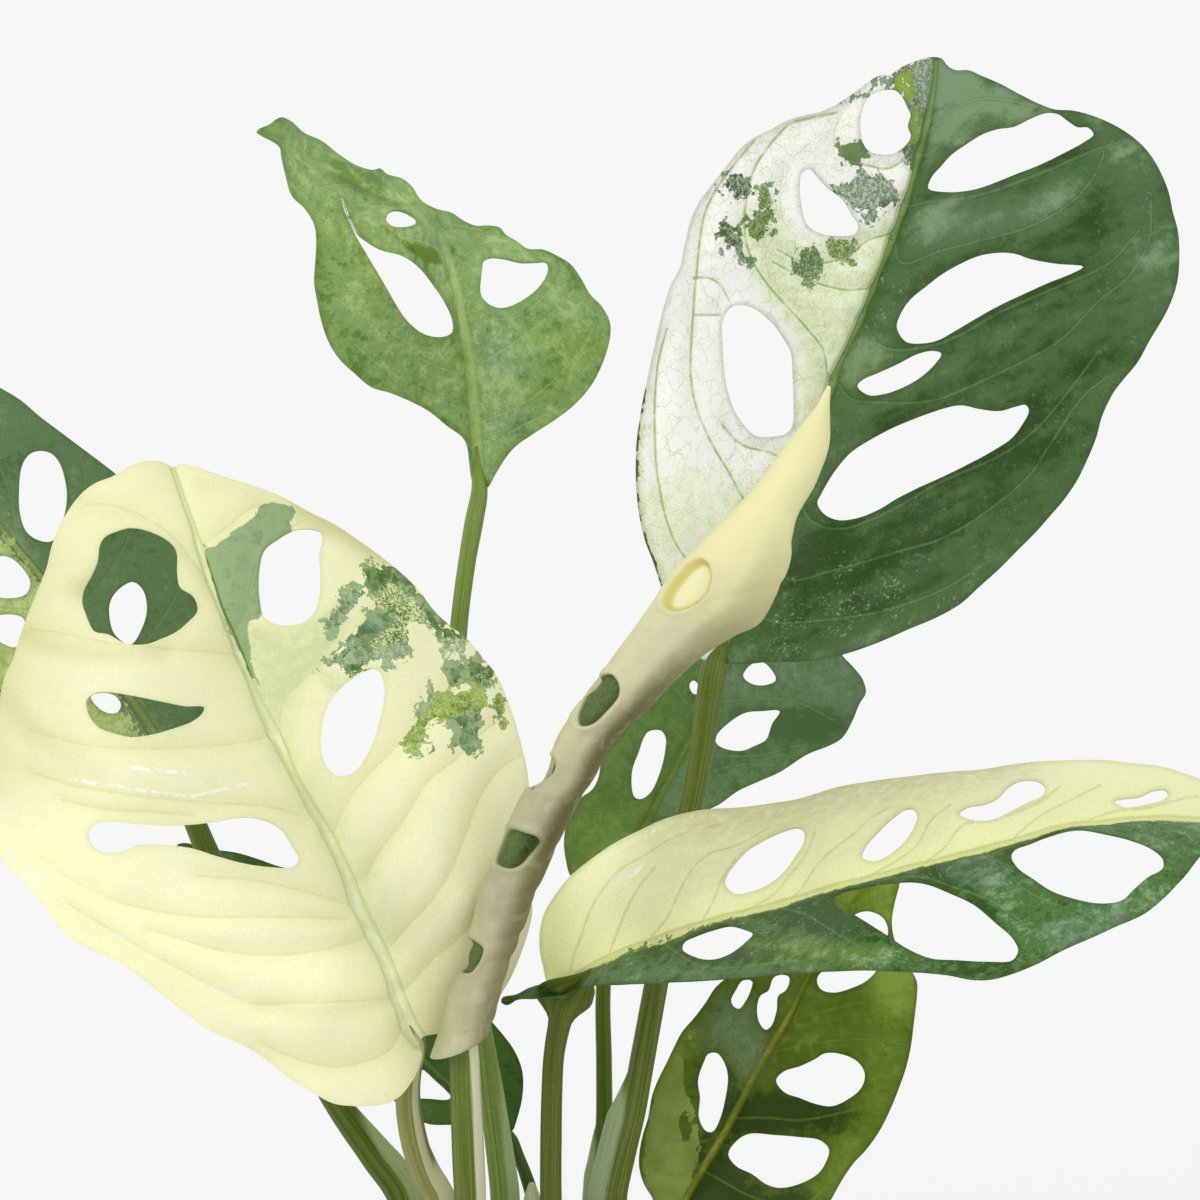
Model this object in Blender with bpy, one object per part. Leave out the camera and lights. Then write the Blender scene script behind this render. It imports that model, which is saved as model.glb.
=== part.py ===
"""Variegated Swiss cheese vine (monstera adansonii) in a plain clay pot.

Nine leaves on three short rooted vines: eight open blades with holes between
their side veins and one leaf that is still rolled up.  Origin at the middle
of the pot's underside, +Z up, metres.  The viewer stands at -Y.
"""
import math

import bmesh
import bpy
import numpy as np
from mathutils import Vector
from mathutils.geometry import delaunay_2d_cdt

# Driving dimensions (metres)
POT_HEIGHT = 0.120
POT_FOOT_RADIUS = 0.044
POT_BODY_RADIUS = 0.0600
POT_RIM_RADIUS = 0.0650
POT_RIM_HEIGHT = 0.026
POT_WALL = 0.0050
POT_FLOOR = 0.0070
DRAIN_RADIUS = 0.0050
DRAIN_CIRCLE = 0.0220
SOIL_TOP = 0.1075
SOIL_GAP = 0.0005
BLADE_THICKNESS = 0.0006
STEM_HOLE_GAP = 0.0004
CELL = 36.0            # mesh cell of a blade, in sheet units
EDGE_CELL = 24.0
POT_SIDES = 64

for ob in list(bpy.data.objects):
    bpy.data.objects.remove(ob, do_unlink=True)

# ---------------------------------------------------------------------------
# Layout.  The plant is drawn on a sheet of 1200 x 1200 units (u to the right,
# v downwards) as it is seen from EYE, 0.6 m in front of the stems.  A point
# of the sheet and a depth y, in metres behind the stems' plane, give a point
# of the plant.  On that plane one unit is 0.2 mm.
# ---------------------------------------------------------------------------
EYE = (0.016, -0.600, 0.330)
TILT = math.radians(4.0)
UNIT = 0.2 / 600.0


def at(u, v, y):
    """World point(s) of sheet position (u, v) at depth y."""
    u = np.asarray(u, dtype=float)
    v = np.asarray(v, dtype=float)
    y = np.asarray(y, dtype=float)
    dx = (u - 600.0) * UNIT
    dy = (600.0 - v) * UNIT
    ry = math.cos(TILT) + dy * math.sin(TILT)
    rz = -math.sin(TILT) + dy * math.cos(TILT)
    t = (y - EYE[1]) / ry
    return np.stack([EYE[0] + t * dx, EYE[1] + t * ry, EYE[2] + t * rz], axis=-1)


def depth_field(points):
    """Thin-plate surface through (u, v, depth in mm), in metres."""
    p = np.array(points, dtype=float)
    x = p[:, :2] / 100.0
    n = len(p)
    r2 = ((x[:, None, :] - x[None, :, :]) ** 2).sum(-1)
    k = 0.5 * r2 * np.log(r2 + 1e-9)
    k[np.arange(n), np.arange(n)] = 0.04
    q = np.hstack([np.ones((n, 1)), x])
    a = np.zeros((n + 3, n + 3))
    a[:n, :n] = k
    a[:n, n:] = q
    a[n:, :n] = q.T
    b = np.zeros(n + 3)
    b[:n] = p[:, 2] / 1000.0
    w = np.linalg.solve(a, b)

    def f(u, v):
        u = np.asarray(u, dtype=float) / 100.0
        v = np.asarray(v, dtype=float) / 100.0
        out = w[n] + w[n + 1] * u + w[n + 2] * v
        for i in range(n):
            d2 = (u - x[i, 0]) ** 2 + (v - x[i, 1]) ** 2
            out = out + w[i] * 0.5 * d2 * np.log(d2 + 1e-9)
        return out
    return f


def smooth(points, closed, step):
    """Points about `step` apart on a smooth curve through the given ones."""
    p = np.array(points, dtype=float)
    n = len(p)
    if closed:
        q = np.vstack([p[-1], p, p[0], p[1]])
        spans = n
    else:
        q = np.vstack([2 * p[0] - p[1], p, 2 * p[-1] - p[-2]])
        spans = n - 1
    fine = []
    for i in range(spans):
        a, b, c, d = q[i], q[i + 1], q[i + 2], q[i + 3]
        t0 = 0.0
        t1 = t0 + max(np.linalg.norm(b - a), 1e-9) ** 0.5
        t2 = t1 + max(np.linalg.norm(c - b), 1e-9) ** 0.5
        t3 = t2 + max(np.linalg.norm(d - c), 1e-9) ** 0.5
        for t in np.linspace(t1, t2, 9)[:-1]:
            a1 = (t1 - t) / (t1 - t0) * a + (t - t0) / (t1 - t0) * b
            a2 = (t2 - t) / (t2 - t1) * b + (t - t1) / (t2 - t1) * c
            a3 = (t3 - t) / (t3 - t2) * c + (t - t2) / (t3 - t2) * d
            b1 = (t2 - t) / (t2 - t0) * a1 + (t - t0) / (t2 - t0) * a2
            b2 = (t3 - t) / (t3 - t1) * a2 + (t - t1) / (t3 - t1) * a3
            fine.append((t2 - t) / (t2 - t1) * b1 + (t - t1) / (t2 - t1) * b2)
    if not closed:
        fine.append(p[-1])
    fine = np.array(fine)
    if closed:
        fine = np.vstack([fine, fine[0]])
    seg = np.linalg.norm(np.diff(fine, axis=0), axis=1)
    s = np.concatenate([[0.0], np.cumsum(seg)])
    m = max(3 if closed else 1, int(round(s[-1] / step)))
    t = np.linspace(0.0, s[-1], m + 1)
    out = np.stack([np.interp(t, s, fine[:, j]) for j in range(p.shape[1])], axis=-1)
    return out[:-1] if closed else out


def inside(poly, pts):
    """Which points lie inside the closed polygon."""
    x, y = pts[:, 0], pts[:, 1]
    res = np.zeros(len(pts), dtype=bool)
    n = len(poly)
    for i in range(n):
        x1, y1 = poly[i]
        x2, y2 = poly[(i + 1) % n]
        if y1 == y2:
            continue
        hit = ((y1 > y) != (y2 > y)) & (x < (x2 - x1) * (y - y1) / (y2 - y1) + x1)
        res ^= hit
    return res


def line_distance(line, pts, closed=False):
    """Distance of each point to a polyline, and how far along it that is (0..1)."""
    a = np.asarray(line, dtype=float)
    b = np.roll(a, -1, axis=0) if closed else a[1:]
    if not closed:
        a = a[:-1]
    seg = b - a
    ll = np.maximum((seg ** 2).sum(-1), 1e-12)
    cum = np.concatenate([[0.0], np.cumsum(np.sqrt(ll))])
    best = np.full(len(pts), 1e18)
    pos = np.zeros(len(pts))
    for i in range(len(a)):
        w = pts - a[i]
        t = np.clip((w * seg[i]).sum(-1) / ll[i], 0.0, 1.0)
        d = ((w - t[:, None] * seg[i]) ** 2).sum(-1)
        m = d < best
        best[m] = d[m]
        pos[m] = (cum[i] + t[m] * math.sqrt(ll[i])) / cum[-1]
    return np.sqrt(best), pos


def spread(outline, holes, ribs, step, edge_step, rib_step):
    """Triangulated sheet: points and triangles inside an outline, round holes,
    with edges along the ribs."""
    loops = [smooth(outline, True, edge_step)]
    for h in holes:
        loops.append(smooth(h, True, min(edge_step, 0.9 * edge_step)))
    lo, hi = loops[0].min(0) - step, loops[0].max(0) + step
    rows = []
    j = 0
    y = lo[1]
    while y < hi[1]:
        xs = np.arange(lo[0] + (0.5 * step if j % 2 else 0.0), hi[0], step)
        rows.append(np.stack([xs, np.full(len(xs), y)], -1))
        y += step * 0.866
        j += 1
    grid = np.vstack(rows)
    keep = inside(loops[0], grid)
    for h in loops[1:]:
        keep &= ~inside(h, grid)
    grid = grid[keep]
    pts, edges = [], []
    for lp in loops:
        k = len(pts)
        pts += [tuple(q) for q in lp]
        edges += [(k + i, k + (i + 1) % len(lp)) for i in range(len(lp))]
        d, _ = line_distance(lp, grid, True)
        grid = grid[d > 0.55 * step]
    for rb in ribs:
        line = smooth(rb, False, rib_step)
        ok = inside(loops[0], line)
        for h in loops[1:]:
            ok &= ~inside(h, line)
        for lp in loops:
            d, _ = line_distance(lp, line, True)
            ok &= d > 0.5 * min(rib_step, edge_step)
        for i in range(len(line)):
            if ok[i]:
                if i > 0 and ok[i - 1]:
                    edges.append((len(pts) - 1, len(pts)))
                pts.append(tuple(line[i]))
        if len(grid):
            d, _ = line_distance(line, grid)
            grid = grid[d > 0.5 * step]
    pts += [tuple(q) for q in grid]
    out = delaunay_2d_cdt([Vector(q) for q in pts], edges, [], 0, 1e-4)
    verts = np.array([(q.x, q.y) for q in out[0]])
    tris = np.array([f for f in out[2] if len(f) == 3])
    cen = verts[tris].mean(1)
    ok = inside(loops[0], cen)
    for h in loops[1:]:
        ok &= ~inside(h, cen)
    tris = tris[ok]
    used = np.unique(tris)
    remap = -np.ones(len(verts), dtype=int)
    remap[used] = np.arange(len(used))
    return verts[used], remap[tris], loops


def thicken(front, back, tris):
    """Closed skin of a sheet from its front and back points."""
    n = len(front)
    verts = np.vstack([front, back])
    faces = [tuple(t) for t in tris] + [(t[0] + n, t[2] + n, t[1] + n) for t in tris]
    seen = {}
    for t in tris:
        for i in range(3):
            a, b = int(t[i]), int(t[(i + 1) % 3])
            seen[(a, b)] = True
    for (a, b) in list(seen):
        if (b, a) not in seen:
            faces.append((b, a, a + n))
            faces.append((b, a + n, b + n))
    return verts, faces


def point_normals(pts, tris):
    nrm = np.cross(pts[tris[:, 1]] - pts[tris[:, 0]], pts[tris[:, 2]] - pts[tris[:, 0]])
    acc = np.zeros_like(pts)
    for i in range(3):
        np.add.at(acc, tris[:, i], nrm)
    return acc / np.maximum(np.linalg.norm(acc, axis=1, keepdims=True), 1e-12)


def face_eye(pts, tris):
    """Turns every triangle of the sheet towards the eye side."""
    nrm = np.cross(pts[tris[:, 1]] - pts[tris[:, 0]], pts[tris[:, 2]] - pts[tris[:, 0]])
    view = np.array(EYE) - pts[tris].mean(1)
    flip = (nrm * view).sum(-1) < 0
    tris = tris.copy()
    tris[flip] = tris[flip][:, ::-1]
    return tris


# ---------------------------------------------------------------------------
# Leaf blades, on the sheet: outline from the base round to the base again,
# holes, midrib from base to tip, depths in mm, and the midrib's furrow
# (depth in mm, half width in sheet units).
# ---------------------------------------------------------------------------
BLADES = {}

BLADES["leaf_cream_front"] = dict(
    outline=[(420, 1041), (422, 1055), (418, 1070), (410, 1085), (400, 1097), (388, 1104), (372, 1107),
             (350, 1107), (335, 1105), (320, 1098), (305, 1089), (290, 1080), (262, 1057), (240, 1043),
             (215, 1032), (198, 1022), (178, 1007), (150, 985), (125, 966), (108, 956), (92, 950),
             (75, 940), (60, 927), (45, 908), (30, 890), (14, 874), (0, 857), (-7, 830), (-9, 795),
             (-9, 760), (-6, 728), (-1, 700), (5, 676), (13, 660), (19, 640), (28, 615), (38, 590),
             (47, 568), (53, 545), (61, 525), (70, 510), (81, 496), (95, 485), (112, 478), (130, 467),
             (148, 462), (162, 463), (172, 468), (182, 465), (195, 467), (220, 476), (250, 486),
             (280, 497), (305, 510), (335, 525), (360, 542), (385, 560), (405, 577), (420, 592),
             (432, 609), (446, 623), (464, 638), (483, 659), (497, 677), (505, 697), (513, 720),
             (520, 745), (527, 772), (532, 810), (533, 855), (531, 895), (532, 912), (527, 935),
             (518, 960), (508, 982), (494, 1003), (476, 1019), (455, 1030), (436, 1034), (426, 1036)],
    holes=[
        [(130, 529), (115, 533), (105, 538), (100, 547), (98, 562), (92, 576), (84, 590), (82, 602),
         (86, 615), (94, 631), (108, 634), (125, 643), (145, 645), (160, 640), (175, 633), (187, 623),
         (197, 611), (193, 597), (180, 588), (177, 575), (176, 552), (168, 542), (148, 532)],
        [(86, 700), (95, 693), (108, 692), (135, 696), (165, 702), (185, 706), (205, 707), (203, 713),
         (193, 721), (172, 729), (150, 735), (130, 737), (113, 733), (98, 727), (88, 714)],
        [(88, 833), (94, 825), (108, 822), (150, 825), (187, 825), (215, 822), (240, 818), (260, 820),
         (280, 830), (290, 845), (298, 860), (292, 867), (265, 867), (240, 863), (215, 856), (190, 848),
         (165, 845), (140, 845), (125, 851), (105, 853), (92, 846)],
        [(322, 533), (320, 555), (321, 575), (319, 600), (309, 619), (295, 625), (278, 625), (264, 618),
         (259, 600), (259, 572), (265, 550), (277, 540), (295, 530), (311, 529)],
        [(377, 669), (384, 682), (384, 702), (378, 728), (367, 755), (355, 771), (340, 776), (328, 769),
         (321, 750), (322, 728), (327, 708), (338, 691), (352, 679), (365, 671)],
    ],
    midrib=[(420, 1041), (412, 1030), (403, 1010), (395, 990), (388, 970), (375, 940), (358, 905),
            (345, 872), (330, 840), (310, 805), (293, 775), (280, 745), (270, 725), (255, 695),
            (243, 665), (233, 640), (220, 610), (210, 580), (200, 550), (192, 525), (183, 500),
            (177, 482), (172, 468)],
    depth=[(420, 1041, -18), (400, 1092, -20), (340, 1104, -27), (270, 1062, -34), (180, 1007, -41),
           (95, 950, -46), (20, 880, -50), (-9, 790, -47), (5, 676, -40), (38, 590, -33), (70, 510, -26),
           (130, 467, -19), (172, 468, -17), (250, 486, -15), (335, 525, -11), (420, 592, -9),
           (483, 659, -10), (520, 745, -12), (533, 855, -14), (518, 960, -13), (476, 1019, -12),
           (200, 540, -27), (250, 680, -33), (320, 820, -35), (385, 960, -27), (110, 660, -45),
           (120, 800, -54), (220, 930, -50), (320, 1010, -38), (360, 640, -24), (430, 780, -29),
           (470, 900, -25)],
    furrow=(2.4, 13))

BLADES["leaf_green_left"] = dict(
    outline=[(175, 776), (160, 788), (125, 790), (85, 778), (45, 755), (10, 725), (-25, 685), (-55, 635),
             (-80, 580), (-98, 520), (-108, 460), (-112, 400), (-100, 372), (-70, 362), (-35, 370),
             (0, 388), (20, 400), (40, 417), (60, 432), (80, 447), (100, 462), (118, 476), (150, 503),
             (182, 540), (208, 585), (225, 635), (231, 685), (224, 735), (205, 768), (188, 782)],
    holes=[
        [(41, 451), (52, 454), (60, 464), (65, 480), (67, 497), (63, 520), (52, 541), (38, 540),
         (26, 531), (20, 513), (19, 495), (22, 466), (30, 454)],
        [(-22, 572), (-8, 558), (8, 556), (22, 566), (31, 582), (26, 594), (8, 598), (-14, 592)],
        [(-10, 620), (5, 614), (24, 618), (24, 632), (16, 647), (2, 643), (-8, 634)],
        [(90, 697), (102, 693), (115, 696), (121, 705), (116, 713), (102, 711)],
        [(133, 582), (118, 590), (110, 602), (109, 616), (114, 634), (130, 645), (142, 628), (147, 608),
         (143, 590)],
        [(-40, 440), (-22, 452), (-14, 480), (-20, 510), (-34, 515), (-48, 492), (-50, 460)],
    ],
    midrib=[(175, 776), (153, 733), (127, 695), (98, 655), (70, 617), (42, 578), (20, 552), (0, 527),
            (-35, 482), (-70, 435), (-100, 385)],
    depth=[(175, 776, 33), (100, 780, 27), (10, 725, 19), (-55, 635, 17), (-98, 520, 22), (-105, 385, 32),
           (-35, 370, 34), (60, 432, 37), (150, 503, 41), (225, 635, 42), (224, 735, 38), (98, 655, 30),
           (0, 527, 29), (60, 700, 24), (130, 560, 38)],
    furrow=(2.0, 12))

BLADES["leaf_green_low"] = dict(
    outline=[(510, 1133), (519, 1112), (523, 1090), (522, 1070), (514, 1050), (504, 1036), (493, 1023),
             (470, 998), (440, 962), (402, 920), (355, 888), (310, 873), (278, 866), (258, 859),
             (238, 853), (218, 850), (200, 847), (186, 843), (176, 846), (184, 868), (206, 912),
             (240, 962), (282, 1012), (325, 1050), (365, 1078), (398, 1104), (425, 1123), (453, 1125),
             (480, 1126), (498, 1130)],
    holes=[
        [(404, 1078), (421, 1069), (436, 1080), (450, 1093), (450, 1099), (430, 1099), (412, 1096)],
        [(330, 1020), (350, 1024), (372, 1040), (384, 1058), (370, 1060), (346, 1044)],
        [(392, 948), (414, 962), (436, 988), (444, 1010), (430, 1012), (410, 992), (394, 968)],
        [(300, 905), (325, 910), (345, 925), (340, 935), (318, 928), (300, 915)],
        [(255, 930), (272, 938), (290, 960), (294, 975), (280, 970), (262, 950)],
    ],
    midrib=[(510, 1133), (484, 1112), (455, 1090), (425, 1062), (395, 1030), (350, 985), (300, 940),
            (245, 895), (205, 865), (178, 846)],
    depth=[(510, 1133, 20), (521, 1080, 22), (493, 1023, 26), (440, 962, 34), (355, 888, 44),
           (258, 859, 50), (178, 846, 54), (240, 962, 44), (325, 1050, 34), (425, 1123, 22),
           (425, 1062, 28), (350, 985, 38), (470, 1060, 24)],
    furrow=(1.6, 10))

BLADES["leaf_green_top"] = dict(
    outline=[(479, 487), (474, 478), (469, 450), (463, 438), (447, 426), (430, 412), (410, 401),
             (388, 392), (371, 387), (354, 373), (340, 360), (328, 341), (321, 320), (317, 300),
             (314, 283), (315, 262), (316, 240), (314, 224), (305, 208), (293, 196), (287, 176),
             (283, 155), (281, 145), (262, 135), (257, 131), (270, 124), (281, 117), (292, 121),
             (305, 132), (322, 140), (338, 154), (354, 166), (372, 171), (380, 169), (386, 175),
             (400, 180), (411, 189), (420, 202), (436, 210), (450, 213), (463, 221), (475, 226),
             (488, 226), (500, 228), (505, 234), (518, 242), (527, 249), (543, 250), (558, 257),
             (570, 264), (580, 277), (590, 293), (602, 305), (610, 320), (611, 332), (607, 352),
             (600, 370), (590, 388), (574, 405), (553, 421), (533, 434), (516, 446), (505, 459),
             (495, 475), (487, 488)],
    holes=[
        [(340, 197), (344, 205), (349, 218), (357, 233), (368, 242), (382, 250), (402, 256), (421, 270),
         (436, 288), (446, 304), (453, 320), (452, 333), (441, 337), (424, 334), (408, 322), (395, 303),
         (381, 278), (366, 253), (355, 234), (347, 216)],
        [(386, 220), (389, 213), (398, 211), (408, 214), (416, 222), (412, 226), (401, 228), (391, 226)],
        [(484, 261), (492, 258), (504, 259), (520, 263), (535, 263), (546, 263), (548, 269), (544, 280),
         (534, 292), (518, 303), (502, 308), (489, 304), (481, 294), (481, 276)],
    ],
    midrib=[(479, 487), (477, 460), (475, 424), (473, 393), (468, 350), (461, 310), (455, 278),
            (449, 256), (438, 233), (420, 217), (398, 205), (376, 196), (354, 185), (333, 172),
            (308, 155), (280, 139), (259, 131)],
    depth=[(479, 487, 13), (475, 424, 10), (468, 350, 6), (455, 278, 2), (420, 217, -2), (376, 196, -4),
           (333, 172, -9), (259, 131, -20), (447, 426, 9), (388, 392, -2), (328, 341, -12),
           (314, 262, -15), (287, 176, -18), (283, 150, -19), (281, 117, -15), (338, 154, 2),
           (400, 180, 9), (463, 221, 15), (543, 250, 20), (602, 305, 21), (600, 370, 14),
           (533, 434, 10), (380, 320, -10), (530, 350, 6), (505, 459, 11)],
    furrow=(1.8, 10))

BLADES["leaf_green_back"] = dict(
    outline=[(626, 872), (606, 878), (585, 882), (571, 876), (566, 860), (564, 842), (567, 822),
             (573, 808), (582, 797), (592, 790), (598, 779), (600, 764), (597, 745), (604, 720),
             (622, 692), (645, 668), (672, 648), (702, 632), (735, 614), (765, 600), (790, 592),
             (812, 606), (830, 630), (842, 655), (853, 667), (863, 680), (866, 693), (860, 703),
             (852, 722), (842, 738), (828, 746), (808, 754), (780, 772), (760, 781), (738, 791),
             (720, 804), (704, 812), (680, 826), (655, 846), (640, 862)],
    holes=[
        [(647, 732), (654, 730), (662, 731), (666, 738), (665, 752), (659, 775), (651, 792), (641, 799),
         (634, 797), (631, 786), (632, 768), (638, 752), (642, 740)],
        [(717, 735), (730, 722), (745, 713), (762, 711), (780, 711), (772, 724), (766, 740), (755, 746),
         (742, 751), (725, 749), (716, 743)],
        [(743, 676), (752, 664), (762, 662), (770, 668), (776, 680), (766, 685), (752, 684)],
        [(689, 684), (693, 680), (699, 686), (699, 694), (692, 693)],
    ],
    midrib=[(626, 872), (634, 850), (645, 825), (665, 785), (686, 746), (708, 703), (731, 660),
            (760, 620), (790, 592)],
    depth=[(626, 872, 44), (571, 876, 40), (564, 842, 40), (600, 764, 44), (645, 668, 50), (735, 614, 58),
           (790, 592, 64), (842, 655, 62), (866, 693, 60), (808, 754, 55), (704, 812, 48),
           (645, 825, 50), (686, 746, 56), (731, 660, 61)],
    furrow=(1.6, 10))

BLADES["leaf_half_cream_side"] = dict(
    outline=[(562, 992), (553, 984), (547, 981), (543, 966), (540, 945), (541, 925), (546, 909),
             (556, 893), (571, 876), (590, 860), (612, 845), (640, 831), (668, 819), (700, 811),
             (735, 808), (770, 804), (800, 799), (835, 789), (865, 783), (900, 778), (940, 773),
             (985, 769), (1025, 764), (1065, 761), (1100, 761), (1135, 764), (1166, 768), (1190, 776),
             (1222, 788), (1252, 806), (1276, 830), (1290, 858), (1272, 852), (1250, 846), (1228, 842),
             (1205, 852), (1185, 876), (1165, 897), (1142, 915), (1112, 928), (1085, 940), (1060, 951),
             (1035, 963), (1012, 973), (992, 979), (972, 980), (950, 976), (925, 973), (895, 971),
             (860, 970), (815, 972), (770, 975), (730, 978), (690, 981), (650, 983), (615, 985),
             (588, 987), (560, 995), (536, 998), (518, 999), (507, 1005), (501, 1002), (503, 998),
             (516, 995), (530, 988), (545, 985)],
    holes=[
        [(725, 884), (727, 875), (734, 864), (746, 851), (762, 841), (782, 832), (798, 828), (804, 832),
         (804, 843), (795, 857), (786, 870), (770, 884), (750, 892), (735, 894)],
        [(862, 857), (866, 846), (878, 832), (892, 818), (905, 809), (913, 809), (917, 816), (914, 826),
         (904, 842), (890, 855), (876, 862), (867, 861)],
        [(959, 814), (968, 807), (985, 804), (998, 798), (1008, 788), (1020, 782), (1038, 782),
         (1045, 788), (1043, 796), (1026, 804), (1008, 813), (992, 820), (972, 820)],
        [(1114, 801), (1124, 799), (1140, 797), (1154, 791), (1166, 791), (1168, 796), (1160, 802),
         (1142, 806), (1124, 808)],
        [(682, 949), (684, 941), (697, 935), (712, 930), (729, 926), (743, 929), (753, 934), (745, 943),
         (731, 953), (714, 959), (698, 958)],
        [(833, 899), (842, 892), (862, 888), (890, 884), (915, 883), (930, 886), (950, 894), (975, 906),
         (995, 922), (1012, 937), (1018, 950), (1012, 960), (990, 962), (960, 962), (930, 959),
         (905, 948), (880, 932), (855, 916), (838, 908)],
        [(1011, 856), (1014, 849), (1030, 842), (1050, 834), (1075, 830), (1100, 834), (1130, 841),
         (1152, 850), (1163, 860), (1162, 870), (1148, 878), (1134, 890), (1122, 901), (1102, 904),
         (1078, 900), (1052, 891), (1032, 878), (1018, 868)],
    ],
    midrib=[(562, 990), (576, 979), (602, 963), (644, 945), (686, 930), (728, 918), (770, 906),
            (813, 895), (855, 883), (897, 872), (939, 861), (981, 850), (1023, 838), (1065, 827),
            (1100, 823), (1135, 820), (1170, 819), (1205, 822), (1245, 834), (1275, 848), (1288, 857)],
    depth=[(562, 990, -10), (547, 981, -8), (541, 935, -6), (556, 893, -3), (590, 860, 0),
           (668, 819, 1), (770, 804, -4), (865, 783, -11), (985, 769, -20), (1100, 761, -27),
           (1190, 776, -31), (1276, 830, -36), (644, 945, -21), (728, 918, -32), (813, 895, -41),
           (897, 872, -48), (981, 850, -53), (1065, 827, -55), (1135, 820, -54), (1205, 822, -50),
           (1288, 857, -42), (503, 1001, -15), (536, 998, -18), (588, 987, -24), (650, 983, -38),
           (730, 978, -54), (815, 972, -68), (895, 971, -78), (972, 980, -84), (1035, 963, -84),
           (1112, 928, -80), (1165, 897, -74), (1205, 852, -62), (1250, 846, -48), (620, 890, -13),
           (700, 870, -19), (830, 835, -30), (960, 800, -40), (1080, 795, -43), (860, 930, -68),
           (1060, 905, -74)],
    furrow=(2.0, 9))

BLADES["leaf_half_white_top"] = dict(
    outline=[(716, 662), (700, 658), (682, 640), (670, 612), (662, 587), (654, 562), (646, 541),
             (640, 515), (637, 490), (636, 466), (637, 440), (641, 412), (645, 392), (651, 366),
             (658, 335), (665, 305), (672, 283), (680, 268), (685, 246), (692, 220), (700, 202),
             (712, 186), (726, 168), (740, 150), (754, 138), (770, 130), (786, 121), (802, 116),
             (820, 112), (834, 106), (850, 96), (866, 84), (878, 76), (890, 75), (900, 68),
             (915, 61), (930, 57), (941, 58), (948, 66), (956, 70), (968, 70), (982, 76), (1000, 84),
             (1020, 95), (1038, 104), (1055, 110), (1072, 111), (1092, 116), (1112, 124), (1132, 136),
             (1148, 151), (1160, 170), (1169, 192), (1173, 212), (1178, 232), (1179, 258), (1177, 282),
             (1170, 304), (1162, 320), (1150, 340), (1138, 362), (1125, 378), (1114, 392), (1102, 416),
             (1096, 438), (1086, 462), (1076, 482), (1062, 502), (1050, 516), (1036, 532), (1018, 550),
             (1000, 568), (980, 586), (960, 604), (935, 618), (905, 630), (870, 645), (838, 656),
             (802, 662), (768, 662), (742, 664), (728, 663)],
    holes=[
        [(868, 98), (878, 92), (896, 90), (904, 98), (908, 106), (912, 114), (909, 126), (912, 136),
         (904, 148), (892, 154), (874, 153), (866, 148), (861, 134), (861, 116)],
        [(800, 182), (802, 173), (810, 169), (818, 177), (828, 188), (842, 199), (852, 214), (859, 226),
         (855, 234), (838, 236), (822, 234), (808, 226), (802, 210)],
        [(722, 340), (722, 322), (730, 308), (742, 305), (756, 309), (772, 322), (784, 338), (792, 352),
         (794, 380), (794, 408), (793, 425), (786, 434), (770, 437), (757, 436), (744, 424), (733, 406),
         (725, 380)],
        [(928, 188), (931, 177), (940, 167), (952, 154), (966, 144), (982, 134), (998, 129), (1014, 127),
         (1030, 119), (1046, 113), (1058, 114), (1068, 121), (1078, 127), (1088, 127), (1094, 134),
         (1084, 142), (1064, 153), (1042, 164), (1018, 174), (995, 183), (972, 190), (948, 192)],
        [(897, 328), (900, 316), (910, 300), (925, 287), (942, 274), (960, 264), (980, 256), (1000, 253),
         (1015, 254), (1030, 259), (1055, 263), (1084, 266), (1072, 273), (1050, 282), (1025, 294),
         (1000, 306), (975, 320), (955, 332), (938, 341), (922, 344), (906, 342)],
        [(857, 386), (862, 380), (878, 373), (898, 364), (918, 354), (934, 351), (942, 354), (936, 364),
         (922, 377), (905, 387), (885, 394), (868, 395)],
        [(817, 503), (821, 494), (834, 472), (850, 453), (868, 441), (890, 429), (915, 418), (940, 409),
         (960, 405), (980, 409), (1000, 411), (1015, 407), (1026, 405), (1029, 411), (1022, 425),
         (1012, 438), (994, 450), (972, 462), (948, 474), (920, 487), (898, 498), (878, 510),
         (858, 518), (838, 520), (824, 514)],
    ],
    midrib=[(716, 662), (728, 636), (742, 602), (758, 566), (776, 526), (794, 484), (810, 444),
            (822, 410), (833, 378), (846, 348), (860, 318), (872, 288), (882, 262), (893, 234),
            (903, 206), (912, 178), (920, 150), (927, 124), (932, 98), (935, 76), (936, 58)],
    depth=[(716, 662, 10), (742, 602, 13), (776, 526, 15), (810, 444, 17), (846, 348, 18),
           (882, 262, 21), (912, 178, 26), (932, 98, 32), (936, 58, 36), (670, 612, 3), (640, 515, -4),
           (641, 412, -7), (665, 305, -6), (700, 202, -1), (754, 138, 6), (834, 106, 18),
           (890, 75, 28), (968, 70, 35), (1038, 104, 31), (1112, 124, 28), (1160, 170, 24),
           (1179, 258, 17), (1150, 340, 10), (1102, 416, 5), (1050, 516, 0), (980, 586, -5),
           (870, 645, -5), (768, 662, 3), (700, 430, 0), (760, 240, 8), (950, 440, 4),
           (1020, 330, 8), (1050, 200, 17), (900, 560, 0), (740, 520, 7)],
    furrow=(2.6, 12))

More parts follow.
